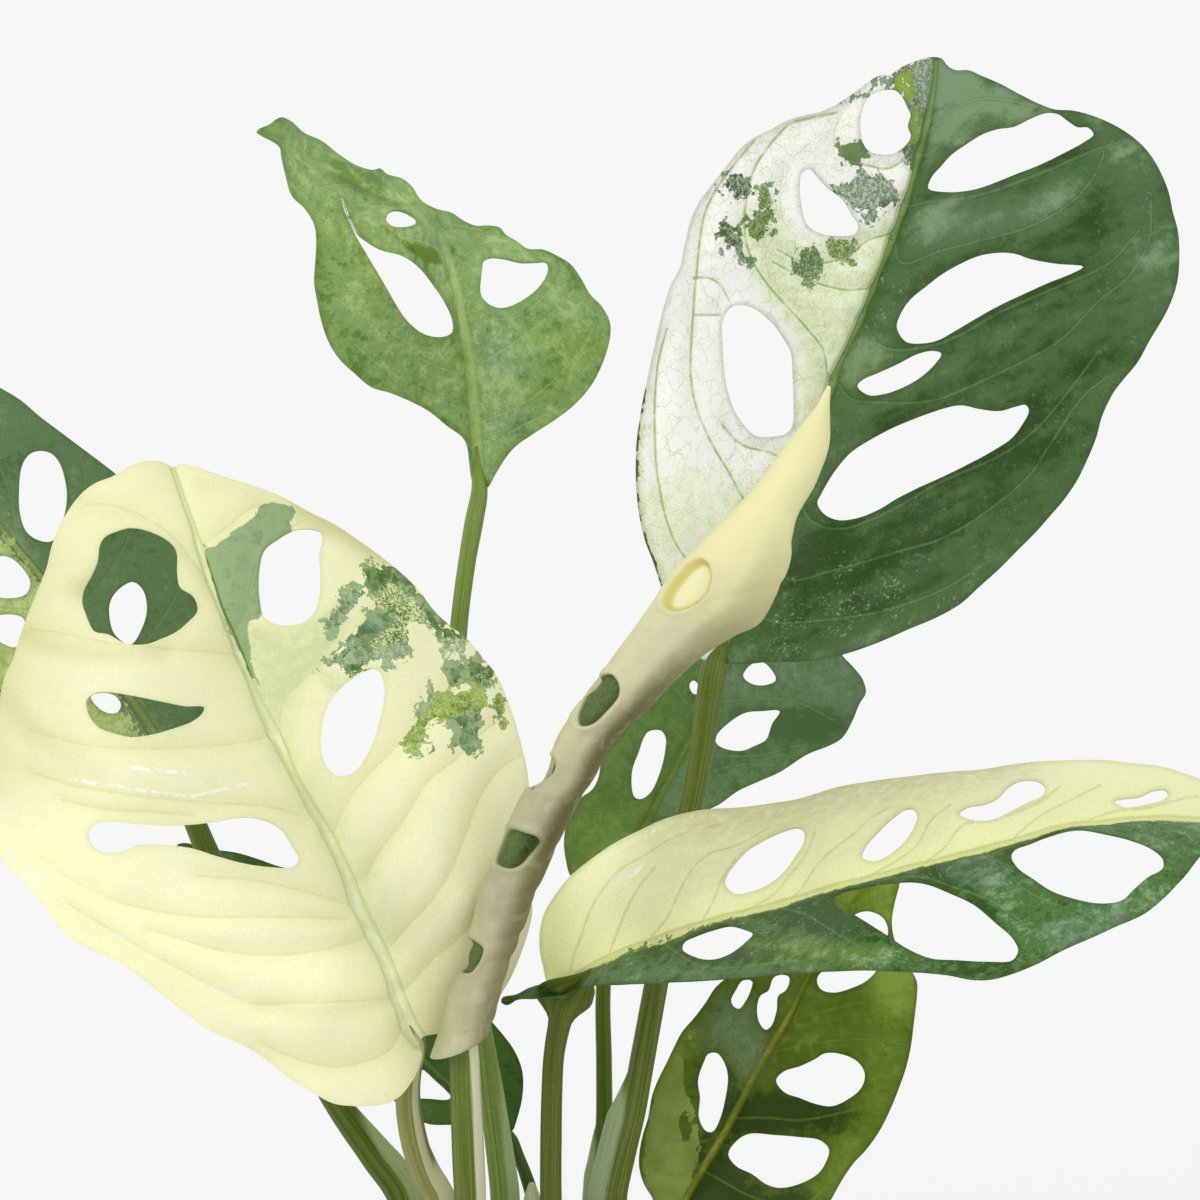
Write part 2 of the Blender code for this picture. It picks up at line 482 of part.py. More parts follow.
BLADES["leaf_green_right"] = dict(
    outline=[(661, 1262), (652, 1264), (647, 1252), (648, 1232), (652, 1212), (653, 1200), (645, 1186),
             (640, 1172), (639, 1158), (642, 1138), (648, 1118), (652, 1096), (658, 1080), (667, 1062),
             (675, 1045), (682, 1032), (694, 1018), (706, 1002), (715, 988), (730, 975), (755, 956),
             (782, 930), (812, 902), (836, 882), (860, 871), (888, 868), (900, 873), (899, 886),
             (895, 902), (892, 920), (894, 938), (903, 956), (911, 970), (917, 982), (917, 996),
             (914, 1022), (911, 1046), (906, 1068), (899, 1088), (891, 1108), (880, 1130), (866, 1150),
             (853, 1164), (841, 1182), (831, 1200), (815, 1224), (790, 1250), (755, 1272), (715, 1283),
             (684, 1280), (668, 1270)],
    holes=[
        [(731, 1000), (736, 990), (742, 981), (752, 981), (750, 992), (745, 1002), (739, 1009), (733, 1006)],
        [(757, 1008), (760, 996), (768, 991), (773, 978), (781, 975), (789, 977), (786, 990), (778, 996),
         (777, 1010), (772, 1026), (766, 1030), (759, 1022)],
        [(817, 980), (822, 972), (845, 962), (868, 958), (878, 966), (868, 980), (850, 989), (834, 993),
         (821, 990)],
        [(700, 1072), (704, 1062), (708, 1054), (717, 1053), (724, 1062), (728, 1076), (726, 1096),
         (720, 1120), (713, 1132), (706, 1131), (699, 1118), (700, 1098), (698, 1082)],
        [(776, 1080), (784, 1071), (800, 1066), (815, 1059), (825, 1053), (842, 1054), (858, 1062),
         (865, 1074), (861, 1088), (848, 1099), (832, 1106), (816, 1104), (800, 1098), (784, 1092)],
        [(728, 1154), (734, 1143), (748, 1134), (775, 1135), (800, 1137), (820, 1140), (829, 1149),
         (826, 1162), (818, 1174), (800, 1184), (780, 1188), (766, 1184), (752, 1174), (736, 1166)],
        [(846, 926), (852, 916), (864, 911), (876, 913), (885, 920), (888, 934), (880, 944), (862, 944)],
    ],
    midrib=[(661, 1262), (671, 1232), (685, 1200), (702, 1170), (716, 1146), (729, 1124), (741, 1102),
            (752, 1080), (768, 1052), (784, 1025), (797, 1000), (809, 975), (835, 930), (863, 893),
            (888, 871)],
    depth=[(661, 1262, 17), (645, 1186, 22), (652, 1096, 27), (694, 1018, 32), (755, 956, 36),
           (842, 876, 44), (896, 849, 50), (894, 938, 42), (917, 982, 36), (906, 1068, 28),
           (866, 1150, 20), (815, 1224, 14), (715, 1283, 12), (702, 1170, 22), (741, 1102, 26),
           (784, 1025, 32), (835, 930, 42), (820, 1100, 25)],
    furrow=(1.8, 10))

# The newest leaf is still rolled up: centre line (u, v, depth mm) from its
# base to its tip, and the roll's half width on the sheet.
ROLL = [(461, 1043, -21, 29), (473, 1000, -23, 28), (486, 960, -25, 29), (499, 919, -27, 29),
        (512, 888, -29, 28), (526, 857, -31, 28), (540, 822, -33, 27), (555, 788, -35, 25),
        (581, 746, -38, 25), (613, 703, -41, 27), (650, 660, -44, 32), (693, 618, -46, 41),
        (737, 572, -47, 47), (768, 522, -47, 35), (796, 472, -46, 25), (816, 428, -44, 15),
        (828, 396, -42, 6)]

# Short vine stems: world foot, world head, radius at the foot (metres).
STEMS = {
    "stem_left": ((-0.0150, 0.0030, 0.0860), (-0.0125, -0.0010, 0.1490), 0.0039),
    "stem_middle": ((0.0030, 0.0065, 0.0860), (0.0035, 0.0045, 0.1440), 0.0040),
    "stem_right": ((0.0195, 0.0170, 0.0860), (0.0195, 0.0140, 0.1480), 0.0041),
}

# Leaf stalks: (u, v, depth mm, radius mm) on the sheet from the blade down,
# then (x, y, z, radius) in mm down to the stem.  A sheath wing stands out on
# one side (+1 right, -1 left): v where it starts, v where it is full, its
# reach in mm, and the share of it that is left at the foot.
STALKS = {}
STALKS["stalk_cream_front"] = dict(
    sheet=[(416, 1047, -13.6, 2.0), (410, 1072, -12.6, 2.3), (408, 1100, -11.2, 2.5), (414, 1140, -8.6, 2.7),
           (424, 1172, -6.6, 2.7), (436, 1200, -5.6, 2.7)],
    foot=[(-18.2, -6.6, 150.0, 2.6), (-17.4, -6.0, 139.0, 2.6), (-16.7, -5.3, 131.2, 2.5)],
    wing=(1, 1150, 1195, 1.3, 0.2))
STALKS["stalk_green_left"] = dict(
    sheet=[(181, 788, 37.0, 1.9), (189, 808, 36.5, 2.2), (211, 860, 34.0, 2.5), (250, 938, 31.5, 2.6),
           (290, 1018, 29.0, 2.6), (338, 1105, 26.0, 2.7), (372, 1155, 23.0, 2.8), (402, 1200, 20.0, 2.9)],
    foot=[(-24.0, 14.5, 146.0, 2.8), (-21.2, 9.0, 132.0, 2.6), (-19.2, 5.2, 121.4, 2.4)],
    wing=(1, 1105, 1165, 2.0, 0.4))
STALKS["stalk_roll"] = dict(
    sheet=[(464, 1055.5, -20.0, 3.0), (466, 1100, -18.0, 3.1), (468, 1150, -15.0, 3.2), (470, 1200, -12.0, 3.2)],
    foot=[(-10.2, -9.4, 161.0, 3.1), (-11.5, -5.2, 156.4, 3.1), (-12.4, -2.2, 153.6, 3.1), (-12.6, -1.4, 151.2, 3.0)],
    wing=None)
STALKS["stalk_green_top"] = dict(
    sheet=[(479.5, 490.5, 13.6, 1.7), (474, 522, 12.8, 1.9), (467, 562, 11.8, 1.8), (459, 625, 10.6, 1.8),
           (455, 700, 9.6, 1.9), (455, 800, 8.6, 2.0), (461, 900, 7.2, 2.1), (472, 980, 5.8, 2.2),
           (483, 1040, 5.0, 2.2), (491, 1100, 4.4, 2.3), (497, 1150, 4.1, 2.35), (502, 1200, 4.0, 2.4)],
    foot=[(-4.4, 4.1, 150.0, 2.4), (-3.8, 3.7, 134.0, 2.4), (-3.1, 3.4, 121.8, 2.3)],
    wing=(1, 1040, 1180, 1.3, 0.5))
STALKS["stalk_green_low"] = dict(
    sheet=[(511, 1137, 20.2, 1.1), (519, 1157, 19.4, 1.2), (529, 1185, 18.6, 1.4), (535, 1210, 18.0, 1.5)],
    foot=[(2.3, 15.6, 148.0, 1.7), (2.4, 12.9, 136.0, 1.9), (2.4, 11.0, 127.2, 2.0)],
    wing=None)
STALKS["stalk_green_back"] = dict(
    sheet=[(625, 875, 46.4, 1.1), (617, 905, 45.0, 1.5), (606, 955, 41.0, 1.6), (603, 1000, 38.0, 1.6),
           (604, 1060, 34.5, 1.7), (604, 1130, 31.0, 1.8), (600, 1200, 28.0, 2.0)],
    foot=[(15.6, 26.4, 148.0, 2.2), (16.4, 23.6, 138.0, 2.3), (17.0, 21.2, 129.6, 2.2)],
    wing=(-1, 1125, 1160, 1.8, 0.4))
STALKS["stalk_half_cream"] = dict(
    sheet=[(566, 999.5, -8.4, 2.4), (560, 1022, -7.4, 2.3), (554, 1055, -6.6, 2.1), (552, 1090, -6.0, 2.1),
           (551, 1140, -5.4, 2.15), (551, 1200, -5.0, 2.2)],
    foot=[(6.8, -3.9, 152.0, 2.3), (6.9, -2.2, 142.0, 2.4), (6.6, -0.9, 133.8, 2.3)],
    wing=None)
STALKS["stalk_half_white"] = dict(
    sheet=[(715, 667, 11.4, 2.7), (709, 700, 11.8, 2.7), (700, 760, 12.4, 2.5), (687, 825, 13.0, 2.5),
           (671, 905, 13.6, 2.5), (656, 985, 14.0, 2.5), (645, 1045, 14.0, 2.55), (633, 1110, 13.2, 2.7),
           (622, 1155, 12.6, 2.8), (613, 1200, 12.0, 2.9)],
    foot=[(19.2, 12.8, 156.0, 3.1), (19.5, 13.7, 149.3, 3.1)],
    wing=(-1, 1075, 1120, 2.4, 0.3))
STALKS["stalk_green_right"] = dict(
    sheet=[(660, 1268, 21.0, 1.8)],
    foot=[(29.2, 21.0, 140.0, 2.1), (28.6, 19.6, 131.0, 2.3), (26.6, 17.8, 122.0, 2.3), (25.4, 17.0, 119.4, 2.2)],
    wing=None)

# The next shoot stands on the middle stem: (x, y, z, radius) in mm.
SHOOT = [(3.5, 4.3, 145.0, 2.8), (3.2, 3.3, 149.0, 2.8), (2.7, 1.6, 156.0, 2.6), (2.4, 0.6, 162.5, 2.3),
         (2.2, 0.3, 166.5, 1.6), (2.1, 0.2, 169.2, 0.6)]


def stalk_path(name):
    """World points, radii (m) and sheet heights of a stalk, blade end first."""
    s = STALKS[name]
    pts = [at(u, v, y / 1000.0) for u, v, y, r in s["sheet"]]
    rad = [r / 1000.0 for u, v, y, r in s["sheet"]]
    hgt = [v for u, v, y, r in s["sheet"]]
    for x, y, z, r in s["foot"]:
        pts.append(np.array((x, y, z)) / 1000.0)
        rad.append(r / 1000.0)
        hgt.append(1400.0)
    return np.array(pts), np.array(rad), np.array(hgt)


def wing_reach(wing, v):
    """How far (m) a sheath's wing stands out at sheet height v."""
    side, v0, v1, reach, left = wing
    t = np.clip((v - v0) / (v1 - v0), 0.0, 1.0)
    low = np.clip((v - 1200.0) / 200.0, 0.0, 1.0)
    return reach / 1000.0 * t * (1.0 - (1.0 - left) * low)


def fair(pts, extra, step):
    """Points about `step` metres apart along a smooth curve; extra columns follow."""
    q = np.hstack([pts, extra])
    n = len(q)
    e = np.vstack([2 * q[0] - q[1], q, 2 * q[-1] - q[-2]])
    fine = []
    for i in range(n - 1):
        a, b, c, d = e[i], e[i + 1], e[i + 2], e[i + 3]
        t0 = 0.0
        t1 = t0 + max(np.linalg.norm((b - a)[:3]), 1e-9) ** 0.5
        t2 = t1 + max(np.linalg.norm((c - b)[:3]), 1e-9) ** 0.5
        t3 = t2 + max(np.linalg.norm((d - c)[:3]), 1e-9) ** 0.5
        for t in np.linspace(t1, t2, 13)[:-1]:
            a1 = (t1 - t) / (t1 - t0) * a + (t - t0) / (t1 - t0) * b
            a2 = (t2 - t) / (t2 - t1) * b + (t - t1) / (t2 - t1) * c
            a3 = (t3 - t) / (t3 - t2) * c + (t - t2) / (t3 - t2) * d
            b1 = (t2 - t) / (t2 - t0) * a1 + (t - t0) / (t2 - t0) * a2
            b2 = (t3 - t) / (t3 - t1) * a2 + (t - t1) / (t3 - t1) * a3
            fine.append((t2 - t) / (t2 - t1) * b1 + (t - t1) / (t2 - t1) * b2)
    fine.append(q[-1])
    fine = np.array(fine)
    seg = np.linalg.norm(np.diff(fine[:, :3], axis=0), axis=1)
    s = np.concatenate([[0.0], np.cumsum(seg)])
    m = max(2, int(round(s[-1] / step)))
    t = np.linspace(0.0, s[-1], m + 1)
    out = np.stack([np.interp(t, s, fine[:, j]) for j in range(q.shape[1])], axis=-1)
    return out[:, :3], out[:, 3:], s[-1]


def frames(path):
    """Tangents and two cross directions: the first points to the right (+X)."""
    tan = np.gradient(path, axis=0)
    tan /= np.linalg.norm(tan, axis=1, keepdims=True)
    e1 = np.array((1.0, 0.0, 0.0)) - tan * tan[:, :1]
    e1 /= np.linalg.norm(e1, axis=1, keepdims=True)
    e2 = np.cross(tan, e1)
    return tan, e1, e2


# ---------------------------------------------------------------------------
# Materials
# ---------------------------------------------------------------------------
def material(name, colour, rough):
    mat = bpy.data.materials.new(name)
    mat.use_nodes = True
    bsdf = mat.node_tree.nodes["Principled BSDF"]
    bsdf.inputs["Base Color"].default_value = (*colour, 1.0)
    bsdf.inputs["Roughness"].default_value = rough
    bsdf.inputs["Metallic"].default_value = 0.0
    mat.diffuse_color = (*colour, 1.0)
    return mat


CREAM = (0.87, 0.85, 0.55)
WHITE = (0.84, 0.80, 0.72)
GREEN = (0.08, 0.20, 0.06)
OLIVE = (0.16, 0.24, 0.04)
FRESH = (0.20, 0.34, 0.09)
COLOURS = {
    "leaf_cream_front": (CREAM, 0.35), "leaf_green_left": (GREEN, 0.38), "leaf_green_low": (GREEN, 0.40),
    "leaf_green_top": (FRESH, 0.45), "leaf_green_back": (FRESH, 0.42), "leaf_half_cream_side": (CREAM, 0.35),
    "leaf_half_white_top": (WHITE, 0.40), "leaf_green_right": (OLIVE, 0.40), "leaf_rolled": (CREAM, 0.45),
    "stalk_cream_front": ((0.50, 0.52, 0.28), 0.45), "stalk_green_left": ((0.09, 0.16, 0.02), 0.45),
    "stalk_roll": ((0.20, 0.26, 0.07), 0.45), "stalk_green_top": ((0.22, 0.32, 0.12), 0.45),
    "stalk_green_low": ((0.10, 0.20, 0.04), 0.45), "stalk_green_back": ((0.08, 0.16, 0.02), 0.45),
    "stalk_half_cream": ((0.18, 0.24, 0.06), 0.45), "stalk_half_white": ((0.12, 0.17, 0.03), 0.45),
    "stalk_green_right": ((0.14, 0.22, 0.04), 0.45),
    "stem_left": ((0.20, 0.26, 0.10), 0.6), "stem_middle": ((0.20, 0.26, 0.10), 0.6),
    "stem_right": ((0.20, 0.26, 0.10), 0.6), "shoot_tip": ((0.42, 0.48, 0.26), 0.5),
    "pot": ((0.52, 0.24, 0.14), 0.85), "soil": ((0.05, 0.032, 0.02), 0.95),
}


def make(name, verts, faces, sharp=40.0):
    """One closed solid, facing out, in its own colour."""
    mesh = bpy.data.meshes.new(name)
    bm = bmesh.new()
    vs = [bm.verts.new(tuple(float(c) for c in v)) for v in verts]
    for f in faces:
        bm.faces.new([vs[i] for i in f])
    bmesh.ops.recalc_face_normals(bm, faces=bm.faces)
    if bm.calc_volume(signed=True) < 0:
        bmesh.ops.reverse_faces(bm, faces=bm.faces)
    bmesh.ops.triangulate(bm, faces=bm.faces)
    bm.to_mesh(mesh)
    bm.free()
    mesh.shade_smooth()
    mesh.set_sharp_from_angle(angle=math.radians(sharp))
    colour, rough = COLOURS[name]
    mesh.materials.append(material(name, colour, rough))
    ob = bpy.data.objects.new(name, mesh)
    bpy.context.scene.collection.objects.link(ob)
    return ob


def tube(path, radii, sides, push=None):
    """Closed tapering tube.  `push` gives an extra reach per ring and corner."""
    _, e1, e2 = frames(path)
    verts, faces = [], []
    n = len(path)
    for i in range(n):
        for j in range(sides):
            a = 2.0 * math.pi * j / sides
            r = radii[i]
            reach = r if push is None else r + push(i, a)
            verts.append(path[i] + e1[i] * math.cos(a) * reach + e2[i] * math.sin(a) * r)
    for i in range(n - 1):
        for j in range(sides):
            k = (j + 1) % sides
            faces.append((i * sides + j, i * sides + k, (i + 1) * sides + k, (i + 1) * sides + j))
    faces.append(tuple(range(sides))[::-1])
    faces.append(tuple((n - 1) * sides + j for j in range(sides)))
    return verts, faces


# ---------------------------------------------------------------------------
# Open blades: a sheet in the shape of the outline, pierced by its holes,
# bent by its depths and creased along the midrib.
# ---------------------------------------------------------------------------
for name, leaf in BLADES.items():
    flat, tris, loops = spread(leaf["outline"], leaf["holes"], [leaf["midrib"]], CELL, EDGE_CELL, CELL)
    field = depth_field(leaf["depth"])
    rib = smooth(leaf["midrib"], False, 12.0)
    away, _ = line_distance(rib, flat)
    depth, width = leaf["furrow"]
    y = field(flat[:, 0], flat[:, 1]) + depth / 1000.0 * np.exp(-away / width)
    mid = at(flat[:, 0], flat[:, 1], y)
    tris = face_eye(mid, tris)
    nrm = point_normals(mid, tris)
    verts, faces = thicken(mid + nrm * BLADE_THICKNESS / 2, mid - nrm * BLADE_THICKNESS / 2, tris)
    make(name, verts, faces, 60.0)

# The rolled leaf: the outer shape of the roll.
roll = np.array([at(u, v, y / 1000.0) for u, v, y, h in ROLL])
wide = np.array([h * UNIT * (y / 1000.0 - EYE[1]) for u, v, y, h in ROLL])
path, rest, _ = fair(roll, wide[:, None], 0.0095)
verts, faces = tube(path, rest[:, 0] * 0.97, 12)
make("leaf_rolled", verts, faces, 60.0)

# ---------------------------------------------------------------------------
# Stalks, each with the wing of its sheath where it has one
# ---------------------------------------------------------------------------
for name, s in STALKS.items():
    pts, rad, hgt = stalk_path(name)
    path, rest, length = fair(pts, np.stack([rad, hgt], -1), 0.0110)
    wing = s["wing"]

    def push(i, a, rest=rest, wing=wing):
        if wing is None:
            return 0.0
        return float(wing_reach(wing, rest[i, 1])) * max(wing[0] * math.cos(a), 0.0) ** 2

    verts, faces = tube(path, rest[:, 0], 8, push)
    make(name, verts, faces, 60.0)

# The next shoot, a closed sheath on the middle stem
pts = np.array(SHOOT)[:, :3] / 1000.0
rad = np.array(SHOOT)[:, 3:] / 1000.0
path, rest, _ = fair(pts, rad, 0.0040)
verts, faces = tube(path, rest[:, 0], 8)
make("shoot_tip", verts, faces, 60.0)

# ---------------------------------------------------------------------------
# Vine stems: a thicker ring at each joint where a stalk leaves
# ---------------------------------------------------------------------------
JOINTS = {"stem_left": (0.118, 0.129, 0.143), "stem_middle": (0.118, 0.125, 0.132),
          "stem_right": (0.116, 0.127, 0.142)}
for name, (foot, head, radius) in STEMS.items():
    a, b = np.array(foot), np.array(head)
    t = np.linspace(0.0, 1.0, 17)
    path = a + (b - a) * t[:, None]
    z = path[:, 2]
    rad = radius * (1.0 - 0.18 * t)
    for zj in JOINTS[name]:
        rad = rad + 0.00022 * np.exp(-((z - zj) / 0.0022) ** 2)
    verts, faces = tube(path, rad, 10)
    make(name, verts, faces, 60.0)

# ---------------------------------------------------------------------------
# Pot: turned body with a collar rim, an open inside and four drain holes
# ---------------------------------------------------------------------------
rim_z = POT_HEIGHT - POT_RIM_HEIGHT
inner_top = POT_RIM_RADIUS - POT_WALL
inner_foot = POT_FOOT_RADIUS - POT_WALL + 0.0005
profile = [
    (POT_FOOT_RADIUS - 0.0020, 0.0), (POT_FOOT_RADIUS, 0.0018), (POT_BODY_RADIUS, rim_z - 0.0010),
    (POT_RIM_RADIUS - 0.0012, rim_z), (POT_RIM_RADIUS - 0.0002, rim_z + 0.0012),
    (POT_RIM_RADIUS, POT_HEIGHT - 0.0040), (POT_RIM_RADIUS - 0.0010, POT_HEIGHT - 0.0010),
    (POT_RIM_RADIUS - 0.0026, POT_HEIGHT), (inner_top + 0.0004, POT_HEIGHT - 0.0008),
    (inner_top - 0.0008, POT_HEIGHT - 0.0030), (POT_BODY_RADIUS - POT_WALL, rim_z - 0.0020),
    (inner_foot, POT_FLOOR + 0.0030), (inner_foot - 0.0030, POT_FLOOR)]


def turned(profile, sides):
    """Solid of revolution about Z; its ends close on the axis."""
    verts, faces = [], []
    for r, z in profile:
        for j in range(sides):
            a = 2.0 * math.pi * j / sides
            verts.append((r * math.cos(a), r * math.sin(a), z))
    for i in range(len(profile) - 1):
        for j in range(sides):
            k = (j + 1) % sides
            faces.append((i * sides + j, i * sides + k, (i + 1) * sides + k, (i + 1) * sides + j))
    n = len(profile)
    faces.append(tuple(range(sides)))
    faces.append(tuple((n - 1) * sides + j for j in range(sides)))
    return verts, faces


verts, faces = turned(profile, POT_SIDES)
pot = make("pot", verts, faces, 35.0)

drill = bpy.data.meshes.new("drill")
bm = bmesh.new()
for q in range(4):
    a = math.pi / 4 + q * math.pi / 2
    res = bmesh.ops.create_cone(bm, cap_ends=True, segments=12, radius1=DRAIN_RADIUS, radius2=DRAIN_RADIUS,
                                depth=0.030)
    bmesh.ops.translate(bm, verts=res["verts"], vec=(DRAIN_CIRCLE * math.cos(a), DRAIN_CIRCLE * math.sin(a), 0.0))
bm.to_mesh(drill)
bm.free()
drill_ob = bpy.data.objects.new("drain_drill", drill)
bpy.context.scene.collection.objects.link(drill_ob)
drill_ob.hide_render = True
drill_ob.display_type = "WIRE"
cut = pot.modifiers.new("drain_holes", "BOOLEAN")
cut.operation = "DIFFERENCE"
cut.solver = "EXACT"
cut.object = drill_ob

# ---------------------------------------------------------------------------
# Soil: fills the pot to just under the rim, uneven on top, open at the stems
# ---------------------------------------------------------------------------
SIDES = 48


def inner_radius(z):
    pts = [(POT_FLOOR + 0.0030, inner_foot), (rim_z - 0.0020, POT_BODY_RADIUS - POT_WALL),
           (POT_HEIGHT - 0.0030, inner_top - 0.0008)]
    return float(np.interp(z, [p[0] for p in pts], [p[1] for p in pts]))


def lump(x, y):
    """Height of the soil's top over its mean level."""
    return 0.0011 * (math.sin(x * 210 + 1.1) * math.cos(y * 170 - 0.4) + 0.6 * math.sin(x * 90 - y * 130 + 2.0))


shrink = math.cos(math.pi / POT_SIDES)
levels = [(POT_FLOOR + 0.0004, inner_foot - 0.0036), (POT_FLOOR + 0.0034, inner_foot)]
for z in (0.030, 0.060, rim_z - 0.0020, SOIL_TOP):
    levels.append((z, inner_radius(z)))
verts, faces = [], []
for i, (z, r) in enumerate(levels):
    for j in range(SIDES):
        a = 2.0 * math.pi * j / SIDES
        rr = r * shrink - SOIL_GAP
        x, y = rr * math.cos(a), rr * math.sin(a)
        verts.append((x, y, z + (0.4 * lump(x, y) if i == len(levels) - 1 else 0.0)))
top = len(levels) - 1
for i, k in enumerate((0.80, 0.58, 0.34)):
    r = (levels[-1][1] * shrink - SOIL_GAP) * k
    for j in range(SIDES):
        a = 2.0 * math.pi * j / SIDES
        x, y = r * math.cos(a), r * math.sin(a)
        verts.append((x, y, SOIL_TOP + lump(x, y) + 0.0012 * (1.0 - k)))
rings = len(levels) + 3
for i in range(rings - 1):
    for j in range(SIDES):
        k = (j + 1) % SIDES
        faces.append((i * SIDES + j, i * SIDES + k, (i + 1) * SIDES + k, (i + 1) * SIDES + j))
verts.append((0.0, 0.0, SOIL_TOP + 0.0012))
c = len(verts) - 1
for j in range(SIDES):
    faces.append(((rings - 1) * SIDES + j, (rings - 1) * SIDES + (j + 1) % SIDES, c))
faces.append(tuple(range(SIDES)))
soil = make("soil", verts, faces, 50.0)

dib = bpy.data.meshes.new("dibber")
bm = bmesh.new()
for name, (foot, head, radius) in STEMS.items():
    a, b = Vector(foot), Vector(head)
    axis = (b - a).normalized()
    lo = a - axis * 0.0006
    hi = a + axis * 0.036
    res = bmesh.ops.create_cone(bm, cap_ends=True, segments=12, radius1=radius + 0.00085,
                                radius2=radius + 0.00085, depth=(hi - lo).length)
    rot = Vector((0, 0, 1)).rotation_difference(axis).to_matrix()
    for v in res["verts"]:
        v.co = rot @ v.co + (lo + hi) / 2
bm.to_mesh(dib)
bm.free()
dib_ob = bpy.data.objects.new("stem_dibber", dib)
bpy.context.scene.collection.objects.link(dib_ob)
dib_ob.hide_render = True
dib_ob.display_type = "WIRE"
cut = soil.modifiers.new("stem_holes", "BOOLEAN")
cut.operation = "DIFFERENCE"
cut.solver = "EXACT"
cut.object = dib_ob
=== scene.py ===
"""Variegated Swiss cheese vine (monstera adansonii) in a plain clay pot.

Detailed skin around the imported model: thin curled blades with veins and
ragged variegation, a rolled new leaf, grooved stalks with sheaths, jointed
stems, crumbly potting mix and fired clay.  Metres, +Z up; the viewer stands
at -Y.
"""
import math

import bmesh
import bpy
import numpy as np
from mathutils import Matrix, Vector
from mathutils.geometry import delaunay_2d_cdt


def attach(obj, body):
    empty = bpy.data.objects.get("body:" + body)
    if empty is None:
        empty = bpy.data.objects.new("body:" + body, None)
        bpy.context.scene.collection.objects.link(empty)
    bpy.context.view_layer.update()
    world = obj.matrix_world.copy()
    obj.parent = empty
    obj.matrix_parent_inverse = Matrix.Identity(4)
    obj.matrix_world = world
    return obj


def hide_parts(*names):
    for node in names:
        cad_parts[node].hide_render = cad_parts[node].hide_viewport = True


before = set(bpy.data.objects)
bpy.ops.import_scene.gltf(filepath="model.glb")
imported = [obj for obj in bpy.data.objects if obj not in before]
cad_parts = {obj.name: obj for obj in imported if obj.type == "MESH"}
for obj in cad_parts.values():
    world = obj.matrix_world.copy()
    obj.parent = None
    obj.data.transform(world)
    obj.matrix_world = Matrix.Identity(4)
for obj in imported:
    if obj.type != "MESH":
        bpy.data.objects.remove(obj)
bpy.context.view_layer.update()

# ---------------------------------------------------------------------------
# Layout.  The plant is drawn on a sheet of 1200 x 1200 units (u to the right,
# v downwards) as it is seen from EYE, 0.6 m in front of the stems.  A point
# of the sheet and a depth y, in metres behind the stems' plane, give a point
# of the plant.  On that plane one unit is 0.2 mm.
# ---------------------------------------------------------------------------
EYE = (0.016, -0.600, 0.330)
TILT = math.radians(4.0)
UNIT = 0.2 / 600.0


def at(u, v, y):
    """World point(s) of sheet position (u, v) at depth y."""
    u = np.asarray(u, dtype=float)
    v = np.asarray(v, dtype=float)
    y = np.asarray(y, dtype=float)
    dx = (u - 600.0) * UNIT
    dy = (600.0 - v) * UNIT
    ry = math.cos(TILT) + dy * math.sin(TILT)
    rz = -math.sin(TILT) + dy * math.cos(TILT)
    t = (y - EYE[1]) / ry
    return np.stack([EYE[0] + t * dx, EYE[1] + t * ry, EYE[2] + t * rz], axis=-1)


def depth_field(points):
    """Thin-plate surface through (u, v, depth in mm), in metres."""
    p = np.array(points, dtype=float)
    x = p[:, :2] / 100.0
    n = len(p)
    r2 = ((x[:, None, :] - x[None, :, :]) ** 2).sum(-1)
    k = 0.5 * r2 * np.log(r2 + 1e-9)
    k[np.arange(n), np.arange(n)] = 0.04
    q = np.hstack([np.ones((n, 1)), x])
    a = np.zeros((n + 3, n + 3))
    a[:n, :n] = k
    a[:n, n:] = q
    a[n:, :n] = q.T
    b = np.zeros(n + 3)
    b[:n] = p[:, 2] / 1000.0
    w = np.linalg.solve(a, b)

    def f(u, v):
        u = np.asarray(u, dtype=float) / 100.0
        v = np.asarray(v, dtype=float) / 100.0
        out = w[n] + w[n + 1] * u + w[n + 2] * v
        for i in range(n):
            d2 = (u - x[i, 0]) ** 2 + (v - x[i, 1]) ** 2
            out = out + w[i] * 0.5 * d2 * np.log(d2 + 1e-9)
        return out
    return f


